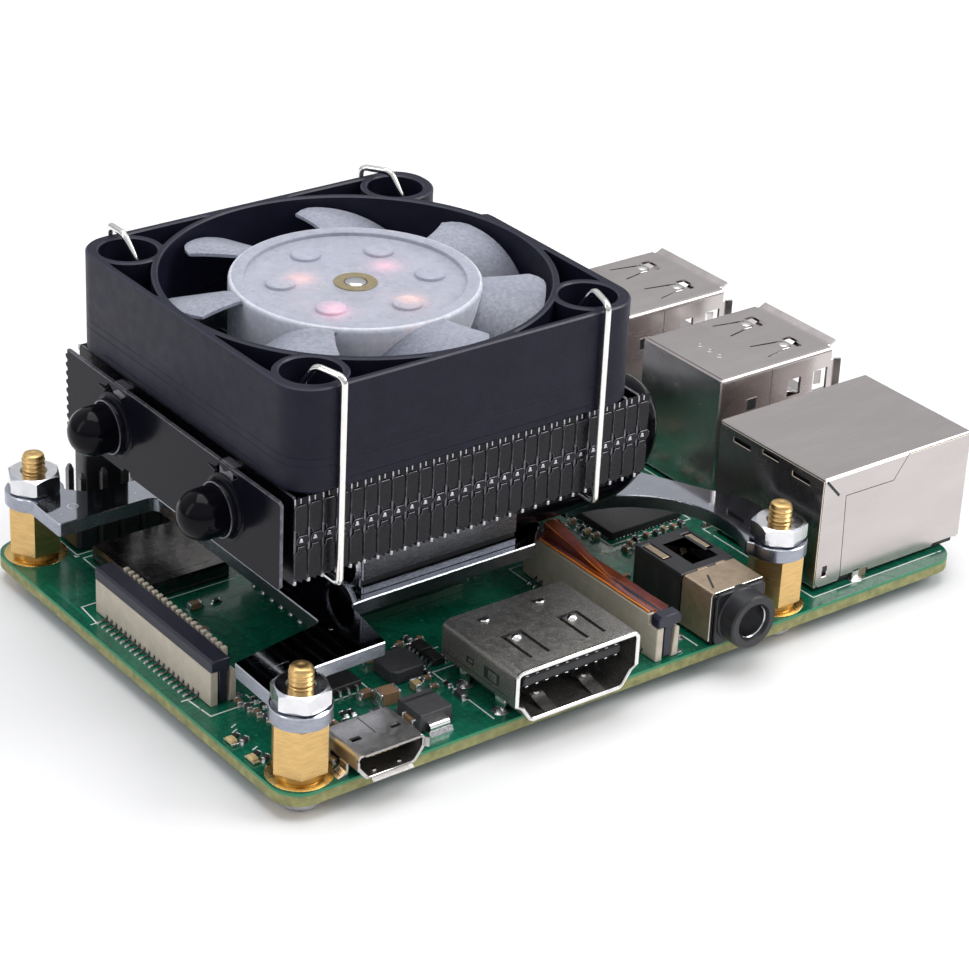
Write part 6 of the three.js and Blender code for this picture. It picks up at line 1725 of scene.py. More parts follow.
# ------------------------------------------------------------------ posts and bracket
# Outline of the bracket sheet, as x, y pairs
BRACKET = [
    3.703, 0.507, 3.898, 0.527, 4.092, 0.559, 4.283, 0.604, 4.47, 0.662, 4.654, 0.731,
    4.833, 0.813, 5.005, 0.906, 5.172, 1.01, 5.331, 1.124, 5.483, 1.249, 5.626, 1.384,
    5.76, 1.527, 5.884, 1.679, 5.998, 1.839, 6.101, 2.006, 6.193, 2.179, 6.274, 2.358,
    6.343, 2.542, 6.399, 2.73, 6.443, 2.921, 6.475, 3.115, 6.494, 3.31, 6.5, 3.507,
    6.493, 3.703, 6.473, 3.898, 6.441, 4.092, 6.396, 4.283, 6.338, 4.47, 6.269, 4.654,
    6.11, 4.992, 6.083, 5.079, 6.066, 5.261, 6.095, 5.441, 6.128, 5.527, 6.171, 5.608,
    7.69, 7.535, 7.758, 7.61, 7.828, 7.669, 7.987, 7.758, 8.074, 7.786, 8.167, 7.803,
    15.983, 7.997, 16.058, 8.019, 16.125, 8.06, 16.179, 8.117, 16.217, 8.186, 16.234, 8.254,
    17.121, 14.813, 17.141, 14.912, 17.211, 15.08, 17.323, 15.225, 17.392, 15.285,
    17.55, 15.376, 17.637, 15.405, 17.73, 15.423, 19.28, 15.499, 39.628, 15.503,
    39.739, 15.54, 39.801, 15.588, 40.129, 16.035, 40.538, 16.533, 41.015, 17.046,
    41.525, 17.526, 42.065, 17.971, 42.605, 18.364, 42.673, 18.459, 42.696, 18.534,
    42.7, 21.99, 42.707, 22.091, 42.754, 22.268, 42.845, 22.426, 42.974, 22.555,
    43.132, 22.646, 43.309, 22.693, 43.41, 22.7, 46.59, 22.7, 46.691, 22.693,
    46.781, 22.676, 46.95, 22.606, 47.026, 22.555, 47.155, 22.426, 47.246, 22.268,
    47.293, 22.091, 47.3, 21.99, 47.303, 20.41, 47.323, 20.334, 47.362, 20.266,
    47.417, 20.211, 47.485, 20.172, 47.561, 20.152, 47.629, 20.15, 47.928, 20.178,
    48.628, 20.199, 49.328, 20.174, 50.024, 20.104, 50.66, 19.999, 51.342, 19.842,
    52.013, 19.64, 52.669, 19.395, 53.307, 19.108, 53.925, 18.78, 54.521, 18.411,
    55.091, 18.005, 55.633, 17.562, 56.146, 17.085, 56.626, 16.575, 57.071, 16.035,
    57.481, 15.467, 57.852, 14.874, 58.183, 14.257, 58.474, 13.62, 58.722, 12.965,
    58.927, 12.296, 59.088, 11.615, 59.204, 10.924, 59.274, 10.228, 59.299, 9.528,
    59.278, 8.828, 59.211, 8.131, 59.099, 7.44, 58.942, 6.758, 58.74, 6.087, 58.495, 5.431,
    58.208, 4.793, 58.102, 4.585, 58.084, 4.508, 58.086, 4.43, 58.109, 4.355, 58.423, 3.886,
    58.485, 3.714, 58.499, 3.623, 58.507, 3.297, 58.527, 3.102, 58.559, 2.908, 58.604, 2.717,
    58.662, 2.53, 58.731, 2.346, 58.813, 2.167, 58.906, 1.995, 59.01, 1.828, 59.124, 1.669,
    59.249, 1.517, 59.384, 1.374, 59.527, 1.24, 59.679, 1.116, 59.839, 1.002, 60.006, 0.899,
    60.179, 0.807, 60.358, 0.726, 60.542, 0.657, 60.73, 0.601, 60.921, 0.557, 61.115, 0.525,
    61.31, 0.506, 61.507, 0.5, 61.703, 0.507, 61.898, 0.527, 62.092, 0.559, 62.283, 0.604,
    62.47, 0.662, 62.654, 0.731, 62.833, 0.813, 63.005, 0.906, 63.172, 1.01, 63.331, 1.124,
    63.483, 1.249, 63.626, 1.384, 63.76, 1.527, 63.884, 1.679, 63.998, 1.839, 64.101, 2.006,
    64.193, 2.179, 64.274, 2.358, 64.343, 2.542, 64.399, 2.73, 64.443, 2.921, 64.475, 3.115,
    64.494, 3.31, 64.5, 3.507, 64.493, 3.703, 64.473, 3.898, 64.404, 4.281, 64.397, 11.26,
    64.361, 11.369, 61.892, 15.716, 58.182, 22.941, 58.141, 23.034, 58.116, 23.122,
    58.102, 23.216, 58.1, 32.721, 58.107, 32.822, 58.124, 32.912, 58.155, 33.002,
    61.892, 40.284, 64.378, 44.666, 64.4, 44.779, 64.4, 51.643, 64.407, 51.746,
    64.476, 52.125, 64.494, 52.32, 64.499, 52.516, 64.492, 52.712, 64.472, 52.908,
    64.439, 53.101, 64.393, 53.292, 64.335, 53.48, 64.265, 53.663, 64.183, 53.841,
    64.089, 54.014, 63.985, 54.18, 63.87, 54.339, 63.744, 54.49, 63.609, 54.633,
    63.465, 54.766, 63.313, 54.89, 63.153, 55.003, 62.986, 55.106, 62.812, 55.197,
    62.633, 55.277, 62.449, 55.346, 62.261, 55.401, 62.069, 55.445, 61.875, 55.476,
    61.68, 55.494, 61.484, 55.499, 61.288, 55.492, 61.092, 55.472, 60.899, 55.439,
    60.708, 55.393, 60.52, 55.335, 60.337, 55.265, 60.159, 55.183, 59.986, 55.089,
    59.82, 54.985, 59.661, 54.87, 59.51, 54.744, 59.367, 54.609, 59.234, 54.465,
    59.11, 54.313, 58.997, 54.153, 58.894, 53.986, 58.803, 53.812, 58.723, 53.633,
    58.654, 53.449, 58.599, 53.261, 58.555, 53.069, 58.524, 52.875, 58.506, 52.68,
    58.498, 52.368, 58.456, 52.19, 58.418, 52.106, 58.116, 51.659, 58.089, 51.586,
    58.083, 51.508, 58.096, 51.43, 58.208, 51.207, 58.474, 50.62, 58.722, 49.965,
    58.927, 49.296, 59.088, 48.615, 59.204, 47.924, 59.274, 47.228, 59.299, 46.528,
    59.278, 45.828, 59.211, 45.131, 59.099, 44.44, 58.942, 43.758, 58.74, 43.087,
    58.495, 42.431, 58.208, 41.793, 57.88, 41.175, 57.511, 40.579, 57.105, 40.009,
    56.662, 39.467, 56.185, 38.954, 55.675, 38.474, 55.135, 38.029, 54.567, 37.619,
    53.974, 37.248, 53.357, 36.917, 52.72, 36.626, 52.065, 36.378, 51.396, 36.173,
    50.715, 36.012, 50.024, 35.896, 49.328, 35.826, 48.628, 35.801, 47.928, 35.822,
    47.231, 35.889, 46.54, 36.001, 45.858, 36.158, 45.187, 36.36, 44.531, 36.605,
    43.893, 36.892, 43.275, 37.22, 42.679, 37.589, 42.109, 37.995, 41.567, 38.438,
    41.054, 38.915, 40.574, 39.425, 40.129, 39.965, 39.808, 40.405, 39.713, 40.473,
    39.638, 40.496, 19.669, 40.5, 19.568, 40.507, 19.478, 40.524, 19.278, 40.607,
    17.709, 41.077, 17.614, 41.113, 17.458, 41.209, 17.391, 41.271, 17.285, 41.419,
    17.247, 41.502, 17.217, 41.597, 15.838, 48.205, 15.779, 48.306, 15.719, 48.357,
    15.649, 48.391, 15.572, 48.406, 8.279, 48.593, 8.178, 48.602, 8.089, 48.622,
    7.922, 48.696, 7.845, 48.751, 6.282, 50.236, 6.214, 50.31, 6.119, 50.466, 6.067, 50.641,
    6.063, 50.824, 6.078, 50.914, 6.106, 51.002, 6.274, 51.358, 6.343, 51.542, 6.399, 51.73,
    6.443, 51.921, 6.475, 52.115, 6.494, 52.31, 6.5, 52.507, 6.493, 52.703, 6.473, 52.898,
    6.441, 53.092, 6.396, 53.283, 6.338, 53.47, 6.269, 53.654, 6.187, 53.833, 6.094, 54.005,
    5.99, 54.172, 5.876, 54.331, 5.751, 54.483, 5.616, 54.626, 5.473, 54.76, 5.321, 54.884,
    5.161, 54.998, 4.994, 55.101, 4.821, 55.193, 4.642, 55.274, 4.458, 55.343, 4.27, 55.399,
    4.079, 55.443, 3.885, 55.475, 3.69, 55.494, 3.493, 55.5, 3.297, 55.493, 3.102, 55.473,
    2.908, 55.441, 2.717, 55.396, 2.53, 55.338, 2.346, 55.269, 2.167, 55.187, 1.995, 55.094,
    1.828, 54.99, 1.669, 54.876, 1.517, 54.751, 1.374, 54.616, 1.24, 54.473, 1.116, 54.321,
    1.002, 54.161, 0.899, 53.994, 0.807, 53.821, 0.726, 53.642, 0.657, 53.458, 0.601, 53.27,
    0.557, 53.079, 0.525, 52.885, 0.506, 52.69, 0.5, 52.493, 0.507, 52.297, 0.527, 52.102,
    0.559, 51.908, 0.604, 51.717, 0.662, 51.53, 0.731, 51.346, 0.813, 51.167, 0.906, 50.995,
    1.01, 50.828, 1.124, 50.669, 1.249, 50.517, 1.541, 50.218, 1.637, 50.063, 1.69, 49.888,
    1.7, 49.79, 1.703, 44.461, 1.723, 44.385, 1.762, 44.317, 1.817, 44.262, 1.885, 44.223,
    1.961, 44.203, 12, 44.2, 12.101, 44.193, 12.278, 44.146, 12.436, 44.055, 12.512, 43.988,
    12.755, 43.736, 12.846, 43.578, 12.893, 43.401, 12.9, 43.3, 12.9, 14.997,
    12.893, 14.896, 12.876, 14.807, 12.806, 14.638, 12.755, 14.562, 12.626, 14.433,
    12.468, 14.341, 12.378, 14.311, 2.304, 12.533, 2.233, 12.5, 2.173, 12.45, 2.128, 12.386,
    2.101, 12.312, 1.948, 6.428, 1.939, 6.327, 1.919, 6.238, 1.845, 6.071, 1.792, 5.996,
    1.729, 5.927, 1.527, 5.76, 1.384, 5.626, 1.249, 5.483, 1.124, 5.331, 1.01, 5.172,
    0.906, 5.005, 0.813, 4.833, 0.731, 4.654, 0.662, 4.47, 0.604, 4.283, 0.559, 4.092,
    0.527, 3.898, 0.507, 3.703, 0.5, 3.507, 0.506, 3.31, 0.525, 3.115, 0.557, 2.921,
    0.601, 2.73, 0.657, 2.542, 0.726, 2.358, 0.807, 2.179, 0.899, 2.006, 1.002, 1.839,
    1.116, 1.679, 1.24, 1.527, 1.374, 1.384, 1.517, 1.249, 1.669, 1.124, 1.828, 1.01,
    1.995, 0.906, 2.167, 0.813, 2.346, 0.731, 2.53, 0.662, 2.717, 0.604, 2.908, 0.559,
    3.102, 0.527, 3.297, 0.507, 3.507, 0.5]
# Outline of the seat cut in it over the processor, as x, y pairs
SEAT = [
    19.643, 21.077, 19.45, 21.157, 19.284, 21.284, 19.157, 21.45, 19.077, 21.643,
    19.05, 21.85, 19.05, 37.35, 19.077, 37.557, 19.157, 37.75, 19.284, 37.916,
    19.45, 38.043, 19.643, 38.123, 19.85, 38.15, 37.35, 38.15, 37.557, 38.123,
    37.75, 38.043, 37.916, 37.916, 38.043, 37.75, 38.123, 37.557, 38.15, 37.35,
    38.15, 21.85, 38.123, 21.643, 38.043, 21.45, 37.916, 21.284, 37.75, 21.157,
    37.557, 21.077, 37.35, 21.05, 19.85, 21.05]


def build_bracket():
    part = Part()
    outline, seat = (list(zip(flat[::2], flat[1::2])) for flat in (BRACKET, SEAT))
    holes = [seat] + [circle(x, y, 1.4, 40) for x, y in POSTS.values()]
    part.prism(outline, 7.42, 8.92, chamfer=0.1, base=0.07, side=1, rim=2, holes=holes)
    # etched marks: a small ring, a dot and two short lines
    part.ring(4.8, 46.9, 8.9, 8.928, 0.42, 0.62, 32, 0.008, mat=2)
    part.cylinder(13.1, 12.8, 8.9, 8.928, 0.22, 20, 0.01, mat=2)
    part.band([(4.2, 9.9), (6.5, 10.05)], 0.09, 8.9, 8.926, mat=2)
    part.band([(54.7, 26.1), (54.7, 28.1)], 0.09, 8.9, 8.926, mat=2)
    part.save("cooler_bracket", ["black_nickel", "bracket_side", "milled_edge"], "bracket_black",
              ["bracket"], sharp=24)


def add_hex_nut(part, x, y, low, high, across_flats, turn, bore):
    """Hexagon nut with coned corners and a threaded bore."""
    n = 72
    half = across_flats / 2
    flat = half * 0.955
    turns = [2 * math.pi * i / n + turn for i in range(n)]
    hexagon = [half / math.cos((t - turn) % (math.pi / 3) - math.pi / 6) for t in turns]
    drops = [(r - flat) * 0.55 for r in hexagon]
    # each row holds a radius and a height for every turn
    rows = [[(bore + 0.12, low)] * n, [(flat, low)] * n,
            [(r, low + drop) for r, drop in zip(hexagon, drops)],
            [(r, high - drop) for r, drop in zip(hexagon, drops)],
            [(flat, high)] * n, [(bore + 0.16, high)] * n]
    thread = [(bore, high - 0.16)]
    z = high - 0.16
    while z > low + 0.4:
        thread += [(bore + 0.12, z - 0.12), (bore, z - 0.25)]
        z -= 0.25
    thread.append((bore, low + 0.12))
    rows += [[ridge] * n for ridge in thread]
    points = [(x + r * math.cos(t), y + r * math.sin(t), z) for row in rows
              for t, (r, z) in zip(turns, row)]
    faces, mats = [], []
    for row in range(len(rows)):
        low_row, high_row = row * n, (row + 1) % len(rows) * n
        for i in range(n):
            j = (i + 1) % n
            faces.append((low_row + i, low_row + j, high_row + j, high_row + i))
            mats.append(1 if row in (1, 3) else (2 if row >= 5 else 0))
    part.put(points, faces, mats)


def build_post(tag, x, y, nut_turn):
    flats = 5.0
    part = Part()
    part.cylinder(x, y, LAND_TOP, 2.1, 2.3, 40, 0.06)
    part.prism(circle(x, y, flats / math.sqrt(3), 6), 1.98, 7.4, chamfer=0.14, base=0.22, rim=2)
    # threaded stud with a rounded tip
    z = 8.95
    profile = [(0, 7.3), (1.12, 7.3), (1.12, z)]
    while z < 12.3:
        profile += [(1.05, z + 0.05), (1.2, z + 0.2), (1.2, z + 0.27), (1.05, z + 0.42)]
        z += 0.5
    profile += [(1.04, z), (1.12, z + 0.08), (1.1, z + 0.18), (0.98, z + 0.33), (0.72, z + 0.43),
                (0.4, z + 0.46), (0.22, z + 0.4), (0, z + 0.38)]
    part.lathe([(r, min(h, 13.0)) for r, h in profile], x, y, 36)
    part.save("post_" + tag, ["turned_brass"], "brass_post", ["standoff_" + tag], sharp=28)
    part = Part()
    add_hex_nut(part, x, y, 8.94, 10.9, flats, nut_turn, bore=1.24)
    part.save("post_nut_" + tag, ["nickel_nut", "milled_edge", "zinc_screw"], "nut_nickel",
              ["nut_" + tag], sharp=24)
    # screw from below with a cross recess
    part = Part()
    cross = []
    half, reach = 0.3, 1.3
    for i in range(4):
        a = math.radians(45 + 90 * i)
        c, s = math.cos(a), math.sin(a)
        for u, v in ((reach, -half), (reach, half), (half, half)):
            cross.append((x + u * c - v * s, y + u * s + v * c))
    head = circle(x, y, 2.3, 48)
    part.prism(head, -1.6, -0.85, base=0.34, holes=[cross], hole_side=1)
    part.prism(head, -0.87, -0.02, chamfer=0.05, base=0.0)
    part.cylinder(x, y, -0.05, 4.42, 1.13, 28, 0.08)
    part.save("post_screw_" + tag, ["zinc_screw", "inner_plastic"], "screw_steel",
              ["screw_" + tag], sharp=28)


# ------------------------------------------------------------------ cooler
def build_block():
    """Base block with a groove for each pipe."""
    part = Part()

    def groove(y):
        return [(y - 2.0, 8.94)] + arc(y, 11.5, 2.6, 230.3, -50.3, 30) + [(y + 2.0, 8.94)]

    outline = [(16.4, 8.94)] + groove(19.6)
    outline += [(22.6, 8.94), (21.4, 8.7), (21.2, 4.5), (21.4, 4.3), (37.8, 4.3), (38.0, 4.5),
                (38.0, 8.7), (36.7, 8.94)] + groove(39.6)
    outline += [(42.8, 8.94), (42.8, 9.72), (42.4, 9.72), (42.4, 10.42), (42.8, 10.42),
                (42.8, 14.4), (16.4, 14.4), (16.4, 10.42), (16.8, 10.42), (16.8, 9.72),
                (16.4, 9.72)]
    part.prism(outline, 19.2, 38.0, "x", 0.14, rim=1)
    # lapped strips on the front and rear faces, with the dark groove between
    for y, s in ((16.4, -1), (42.8, 1)):
        for z0, z1 in ((8.98, 9.68), (10.46, 14.3)):
            part.box(19.4, 37.8, y + s * 0.002, y + (0.05 if s < 0 else -0.05), z0, z1, 0.0, 2)
        part.box(19.3, 37.9, y - s * 0.35, y - s * 0.45, 9.7, 10.44, 0.0, 3)
    # solder fillets where the pipes leave the block
    for y in PIPE_YS:
        for x, s in ((38.0, 1), (19.2, -1)):
            part.lathe([(2.5, x - 0.05 * s), (2.95, x - 0.02 * s), (2.8, x + 0.14 * s),
                        (2.52, x + 0.3 * s)], y, 11.5, 40, "x", 4)
    # two rings on top, each with a dark centre
    for x in (22.0, 35.2):
        part.ring(x, 29.6, 14.38, 14.46, 0.9, 1.5, 28, mat=1)
        part.cylinder(x, 29.6, 14.3, 14.41, 0.9, 24, 0.02, mat=3)
    part.save("cooler_base_block", ["end_plate", "milled_edge", "lapped_face", "inner_plastic",
                                    "solder"], "block_black", ["base_block"], sharp=30)


def build_pipe(tag, y):
    """Heat pipe: out of the block to the right, round a U-turn and back left above it."""
    radius, low_z = 2.5, 11.5
    turn_x, turn_radius = 50.4, (PIPE_TOP_Z - low_z) / 2
    # x, z, radius; the lower end is domed
    stations = [(x, low_z, r) for x, r in ((19.25, 0.9), (19.35, 1.5), (19.6, 2.15), (20.0, 2.42),
                                           (20.6, radius))]
    stations += [(x, low_z, radius) for x in (24, 30, 36, 42, 47)]
    for i in range(25):
        a = math.radians(-90 + 180 * i / 24)
        stations.append((turn_x + turn_radius * math.cos(a),
                         low_z + turn_radius + turn_radius * math.sin(a),
                         radius - 0.06 * math.sin(math.pi * i / 24)))
    stations += [(x, PIPE_TOP_Z, radius) for x in (47, 40, 32, 24, 16, 8)]
    for i in range(15):
        a = math.radians(90 * i / 14)
        stations.append((3.05 - 2.45 * math.sin(a), PIPE_TOP_Z, max(0.05, radius * math.cos(a))))
    part = Part()
    part.tube([(x, y, z) for x, z, _ in stations], [r for *_, r in stations], 48, ends="flat")
    part.save("cooler_pipe_" + tag, ["black_pipe"], "pipe_black", ["heat_pipe_" + tag], sharp=50)


FIN_LEFT = 5.5
FIN_PITCH = 1.55
FIN_TOP = 25.6
# Tabs of a fin's folded flanges, as (x from the fin, z)
LOWER_TAB = [(0.05, 17.3), (0.3, 17.02), (1.18, 17.02), (1.4, 17.3), (1.4, 19.75), (1.12, 20.05),
             (1.12, 20.5), (0.42, 20.5), (0.42, 20.15), (0.05, 19.8)]
UPPER_TAB = [(0.05, 22.35), (0.42, 22.0), (0.42, 21.72), (1.12, 21.72), (1.12, 22.1), (1.4, 22.4),
             (1.4, 24.5), (1.18, 24.78), (0.3, 24.78), (0.05, 24.5)]
HOOK_TAB = [(0.5, 20.62), (1.42, 20.62), (1.66, 20.9), (1.66, 21.3), (1.36, 21.6), (0.5, 21.6),
            (0.26, 21.32), (0.26, 20.9)]


def build_fins():
    part = Part()
    front, rear, foot = 10.2, 49.0, 16.6
    outline = rounded(front + 0.12, rear - 0.12, foot, FIN_TOP, 0.35, 2)
    holes = [circle(y, PIPE_TOP_Z, 2.62, 28) for y in PIPE_YS]
    for n in range(27):
        x = FIN_LEFT + FIN_PITCH * (n + 1)
        # the fin's edge walls, the walls of its pipe holes and the rims of its flange tabs use the
        # lighter edge metal, a painted highlight
        part.prism(outline, x, x + 0.22, "x", side=2, holes=holes)
        # collars drawn out round the pipes
        for y in PIPE_YS:
            part.ring(y, PIPE_TOP_Z, x, x + 0.95, 2.53, 2.72, 24, 0.04, "x")
        # flanges at front and rear: a lower and an upper tab with a hooked one between
        jitter = 0.03 * math.sin(n * 2.3)
        for y, s in ((front, -1), (rear, 1)):
            low, high = (y, y + 0.26) if s < 0 else (y - 0.26, y)
            for tab in (LOWER_TAB, UPPER_TAB, HOOK_TAB):
                part.prism([(x + a, z) for a, z in tab], low, high, "y", 0.04, 1, side=0, rim=2)
            part.box(x + 0.1, x + 1.45, y - 0.14 * s, y - 0.3 * s, 17.0, 24.8, 0.0)
            # bright metal patch on the hook, 0.02 proud of its face: a painted highlight
            patch_y = low - 0.02 if s < 0 else high - 0.1
            part.prism([(x + 0.5, 20.98 + jitter), (x + 0.98, 20.94 + jitter),
                        (x + 0.86, 21.34 + jitter), (x + 0.64, 21.36 + jitter)], patch_y,
                       patch_y + 0.12, "y", 0.02, 3)
            # toes under the lower tab and ticks over the upper one, in the same bright metal: painted
            # highlights
            part.box(x + 0.02, x + 0.3, low + 0.02, high + 0.12, 16.62, 17.0, 0.03, 3)
            part.box(x + 0.78, x + 1.0, low + 0.08, high + 0.1, 16.75, 17.06, 0.02, 1)
            for a, height in ((0.02, 0.56), (0.66, 0.5)):
                part.box(x + a, x + a + 0.13, low + 0.1, high + 0.2, 24.95, 24.95 + height, 0.02, 3)
            part.box(x + 0.2, x + 1.5, low + 0.14, high + 0.05, 24.8, 25.5, 0.0)
            part.box(x + 0.2, x + 1.5, low + 0.3, high + 0.3, 20.3, 21.9, 0.0, 4)
        # top rim rolled over by a hair, in the lighter edge metal: a painted highlight
        part.box(x, x + 0.34, front + 0.4, rear - 0.4, FIN_TOP - 0.1, FIN_TOP - 0.005, 0.02, 2)
    part.save("fin_pack", ["black_nickel_fin", "fin_flange", "fin_edge_painted_highlight", "fin_patch_painted_highlight",
                           "inner_plastic"], "fin_black", ["fin_stack"], sharp=30)


# Ragged solder slot above a pipe, as (y from the pipe's axis, z)
SOLDER_SLOT = [(-2.2, 25.0), (-1.2, 24.35), (-1.5, 23.9), (-0.35, 24.05), (0.5, 23.85),
               (0.95, 24.1), (1.8, 23.4), (1.75, 24.1), (3.2, 24.35), (1.6, 24.6), (0.95, 25.2),
               (0.15, 24.65), (-0.8, 25.2)]


def build_end_plate():
    """Left end plate: plain front edge, wavy rear edge, a slit and a step in the bottom edge."""
    part = Part()
    left, front, rear, foot, top = FIN_LEFT, 10.25, 49.0, 16.55, FIN_TOP
    outline = [(front, foot + 0.3), (front + 0.3, foot), (24.4, foot), (24.4, foot + 1.5),
               (24.75, foot + 1.7), (25.1, foot + 1.5), (25.1, foot), (36.6, foot),
               (36.9, foot + 0.5), (37.9, foot + 0.5), (38.2, foot), (rear - 0.7, foot)]
    for i in range(9):
        z = foot + 0.5 + i * 0.95
        outline += [(rear - 0.02, z), (rear - 0.02, z + 0.32), (rear - 0.34, z + 0.5),
                    (rear - 0.34, z + 0.75)]
    outline += [(rear - 0.4, top), (39.95, top), (39.95, top - 0.1), (37.65, top - 0.1),
                (37.65, top), (20.65, top), (20.65, top - 0.1), (18.35, top - 0.1), (18.35, top),
                (front + 0.4, top), (front, top - 0.3)]
    holes = []
    for y in PIPE_YS:
        holes.append(circle(y, PIPE_TOP_Z, 2.66, 48))
        holes.append([(y + a, z) for a, z in SOLDER_SLOT])
    # the plate's edges, the collar lip, the folded tabs and the rolled top edge use the lighter edge
    # metal, a painted highlight
    part.prism(outline, left, left + 0.36, "x", 0.03, side=1, rim=1, base=0.04, holes=holes)
    for y in PIPE_YS:
        # drawn collar with a rolled lip
        part.lathe([(2.56, 4.62), (2.62, 4.55), (2.78, 4.6), (2.84, 4.75), (2.86, 5.2),
                    (3.0, 5.42), (3.35, 5.5), (3.35, 5.56), (2.6, 5.56)], y, PIPE_TOP_Z, 56, "x",
                   closed=True, mats=[0, 1, 0, 0, 0, 0, 0, 0, 0])
    # two tabs folded over the top
    for y0, y1 in ((18.4, 20.6), (37.7, 39.9)):
        part.bend([(left + 0.18, top - 1.6), (left + 0.18, top - 0.1), (left + 1.15, top - 0.1)],
                  0.3, 5, 0.17, y0, y1, "y", 0.03, 1)
    # rolled top edge
    for y0, y1 in ((10.7, 18.3), (20.7, 37.6), (40.0, 48.5)):
        part.box(left - 0.02, left + 0.4, y0, y1, top - 0.13, top - 0.005, 0.03, 1)
    part.save("fin_pack_end_plate", ["end_plate", "fin_edge_painted_highlight"], "fin_black",
              ["fin_end_plate"], sharp=28)


def build_clip(tag, hook_x, x):
    """Spring wire that passes under the fins and hooks into the fan at front and rear."""
    front, rear, low, high = 9.1, 50.1, 16.05, 37.1
    corners = [Vector(p) for p in (
        (hook_x - 0.9, front + 4.6, 34.9), (hook_x - 0.4, front + 3.1, 37.3), (x, front, high),
        (x, front, low), (x, rear, low), (x, rear, high), (hook_x + 0.4, rear - 3.1, 37.3),
        (hook_x + 0.9, rear - 4.6, 34.9))]
    radii = [1.5, 1.5, 0.7, 0.7, 1.5, 1.5]
    path = [corners[0]]
    for before, corner, after, radius in zip(corners, corners[1:], corners[2:], radii):
        # the rounded corner reaches almost half way along both legs
        ends = [corner + (leg - corner) * 0.499 for leg in (before, after)]
        path += fillet([ends[0], corner, ends[1]], radius, 10)[1:-1]
    path.append(corners[-1])
    part = Part()
    part.tube(path, 0.35, 20)
    part.save("fan_clip_" + tag, ["spring_wire"], "wire_steel", ["clip_" + tag], sharp=60)


# ------------------------------------------------------------------ fan
def build_fan_frame():
    part = Part()
    corners = list(product((-1, 1), repeat=2))
    # outline, set back along the right wall near the rear corner where the lead leaves
    outline = arc(16.4, -16.4, 3.6, -90, 0, 10) + [(20, 4.2), (19.86, 5.1)]
    outline += arc(0, 0, 19.95, 15.5, 37.0, 10) + arc(16, 16, 4.0, -88, 0, 10)
    outline += arc(16.4, 16.4, 3.6, 8, 90, 9) + arc(-16.4, 16.4, 3.6, 90, 180, 10)
    outline += arc(-16.4, -16.4, 3.6, 180, 270, 10)
    outline = [(FAN_X + x, FAN_Y + y) for x, y in outline]
    bore = circle(FAN_X, FAN_Y, 19.1, 128)
    screw_holes = [circle(FAN_X + a * 16, FAN_Y + b * 16, 2.9, 48) for a, b in corners]
    pocket = arc(0, 0, 19.75, 14.4, 39.1, 10) + arc(16, 16, 3.6, -100.7, -27.3, 10)
    pocket += [(19.25, 13.2), (19.3, 5.2)]
    pockets = []
    for a, b in corners:
        for n, shape in enumerate((pocket, [(y, x) for x, y in pocket])):
            if (a, b, n) != (1, 1, 0):
                pockets.append([(FAN_X + a * x, FAN_Y + b * y) for x, y in shape])
    pocket_floor = FAN_TOP - 7
    parting = FAN_FOOT + 2.8
    # lower ring, a hair-line where the mould parts, then the upper ring with its pockets
    part.prism(outline, FAN_FOOT, parting - 0.04, chamfer=0.05, base=0.3,
               holes=[bore] + screw_holes)
    part.prism([(FAN_X + (x - FAN_X) * 0.9985, FAN_Y + (y - FAN_Y) * 0.9985) for x, y in outline],
               parting - 0.06, parting + 0.06, holes=[circle(FAN_X, FAN_Y, 19.12, 128)]
               + screw_holes)
    part.prism(outline, parting + 0.04, pocket_floor, chamfer=0.05, holes=[bore] + screw_holes)
    part.prism(outline, pocket_floor - 0.002, FAN_TOP, chamfer=0.16, base=0.0, rim=1,
               holes=[bore] + screw_holes + pockets)
    # bosses low inside the corner holes
    for a, b in corners:
        part.ring(FAN_X + a * 16, FAN_Y + b * 16, FAN_FOOT + 0.4, FAN_TOP - 6.4, 2.1, 2.92, 40, 0.1)
    # fine draft ribs on the outer walls
    low, high = FAN_FOOT + 0.75, FAN_FOOT + 0.95
    for s in (-1, 1):
        x, y = FAN_X + s * 20, FAN_Y + s * 20
        part.box(x - 0.06, x + 0.02, FAN_Y - 14.0, FAN_Y + (3.6 if s > 0 else 14.0), low, high, 0.02)
        part.box(FAN_X - 14.0, FAN_X + 14.0, y - 0.06, y + 0.02, low, high, 0.02)
    # motor plate, struts and the bearing tube
    plate = circle(FAN_X, FAN_Y, 12.6, 80)
    part.prism(plate, FAN_FOOT, FAN_FOOT + 0.8, base=0.15)
    part.prism(plate, FAN_FOOT + 0.78, FAN_FOOT + 1.4, chamfer=0.15, base=0.0,
               holes=[circle(FAN_X, FAN_Y, 1.1, 40)])
    strut = [(11.5, -1.1), (15.0, -0.9), (19.4, -1.2), (19.4, 1.2), (15.0, 0.9), (11.5, 1.1)]
    for i in range(4):
        a = math.pi / 4 + i * math.pi / 2 + 0.25
        c, s = math.cos(a), math.sin(a)
        part.prism([(FAN_X + x * c - y * s, FAN_Y + x * s + y * c) for x, y in strut], FAN_FOOT,
                   FAN_FOOT + 1.4, chamfer=0.25, base=0.1)
    part.ring(FAN_X, FAN_Y, FAN_FOOT + 0.5, FAN_FOOT + 6.4, 1.06, 2.1, 40, 0.12, mat=2)
    for x, y in circle(FAN_X, FAN_Y, 10.9, 8):
        part.cylinder(x, y, FAN_FOOT + 1.35, FAN_FOOT + 1.6, 0.5, 16, 0.08)
    part.save("fan_housing", ["fan_plastic", "fan_rim", "turned_brass"], "fan_plastic",
              ["fan_frame"], sharp=34)


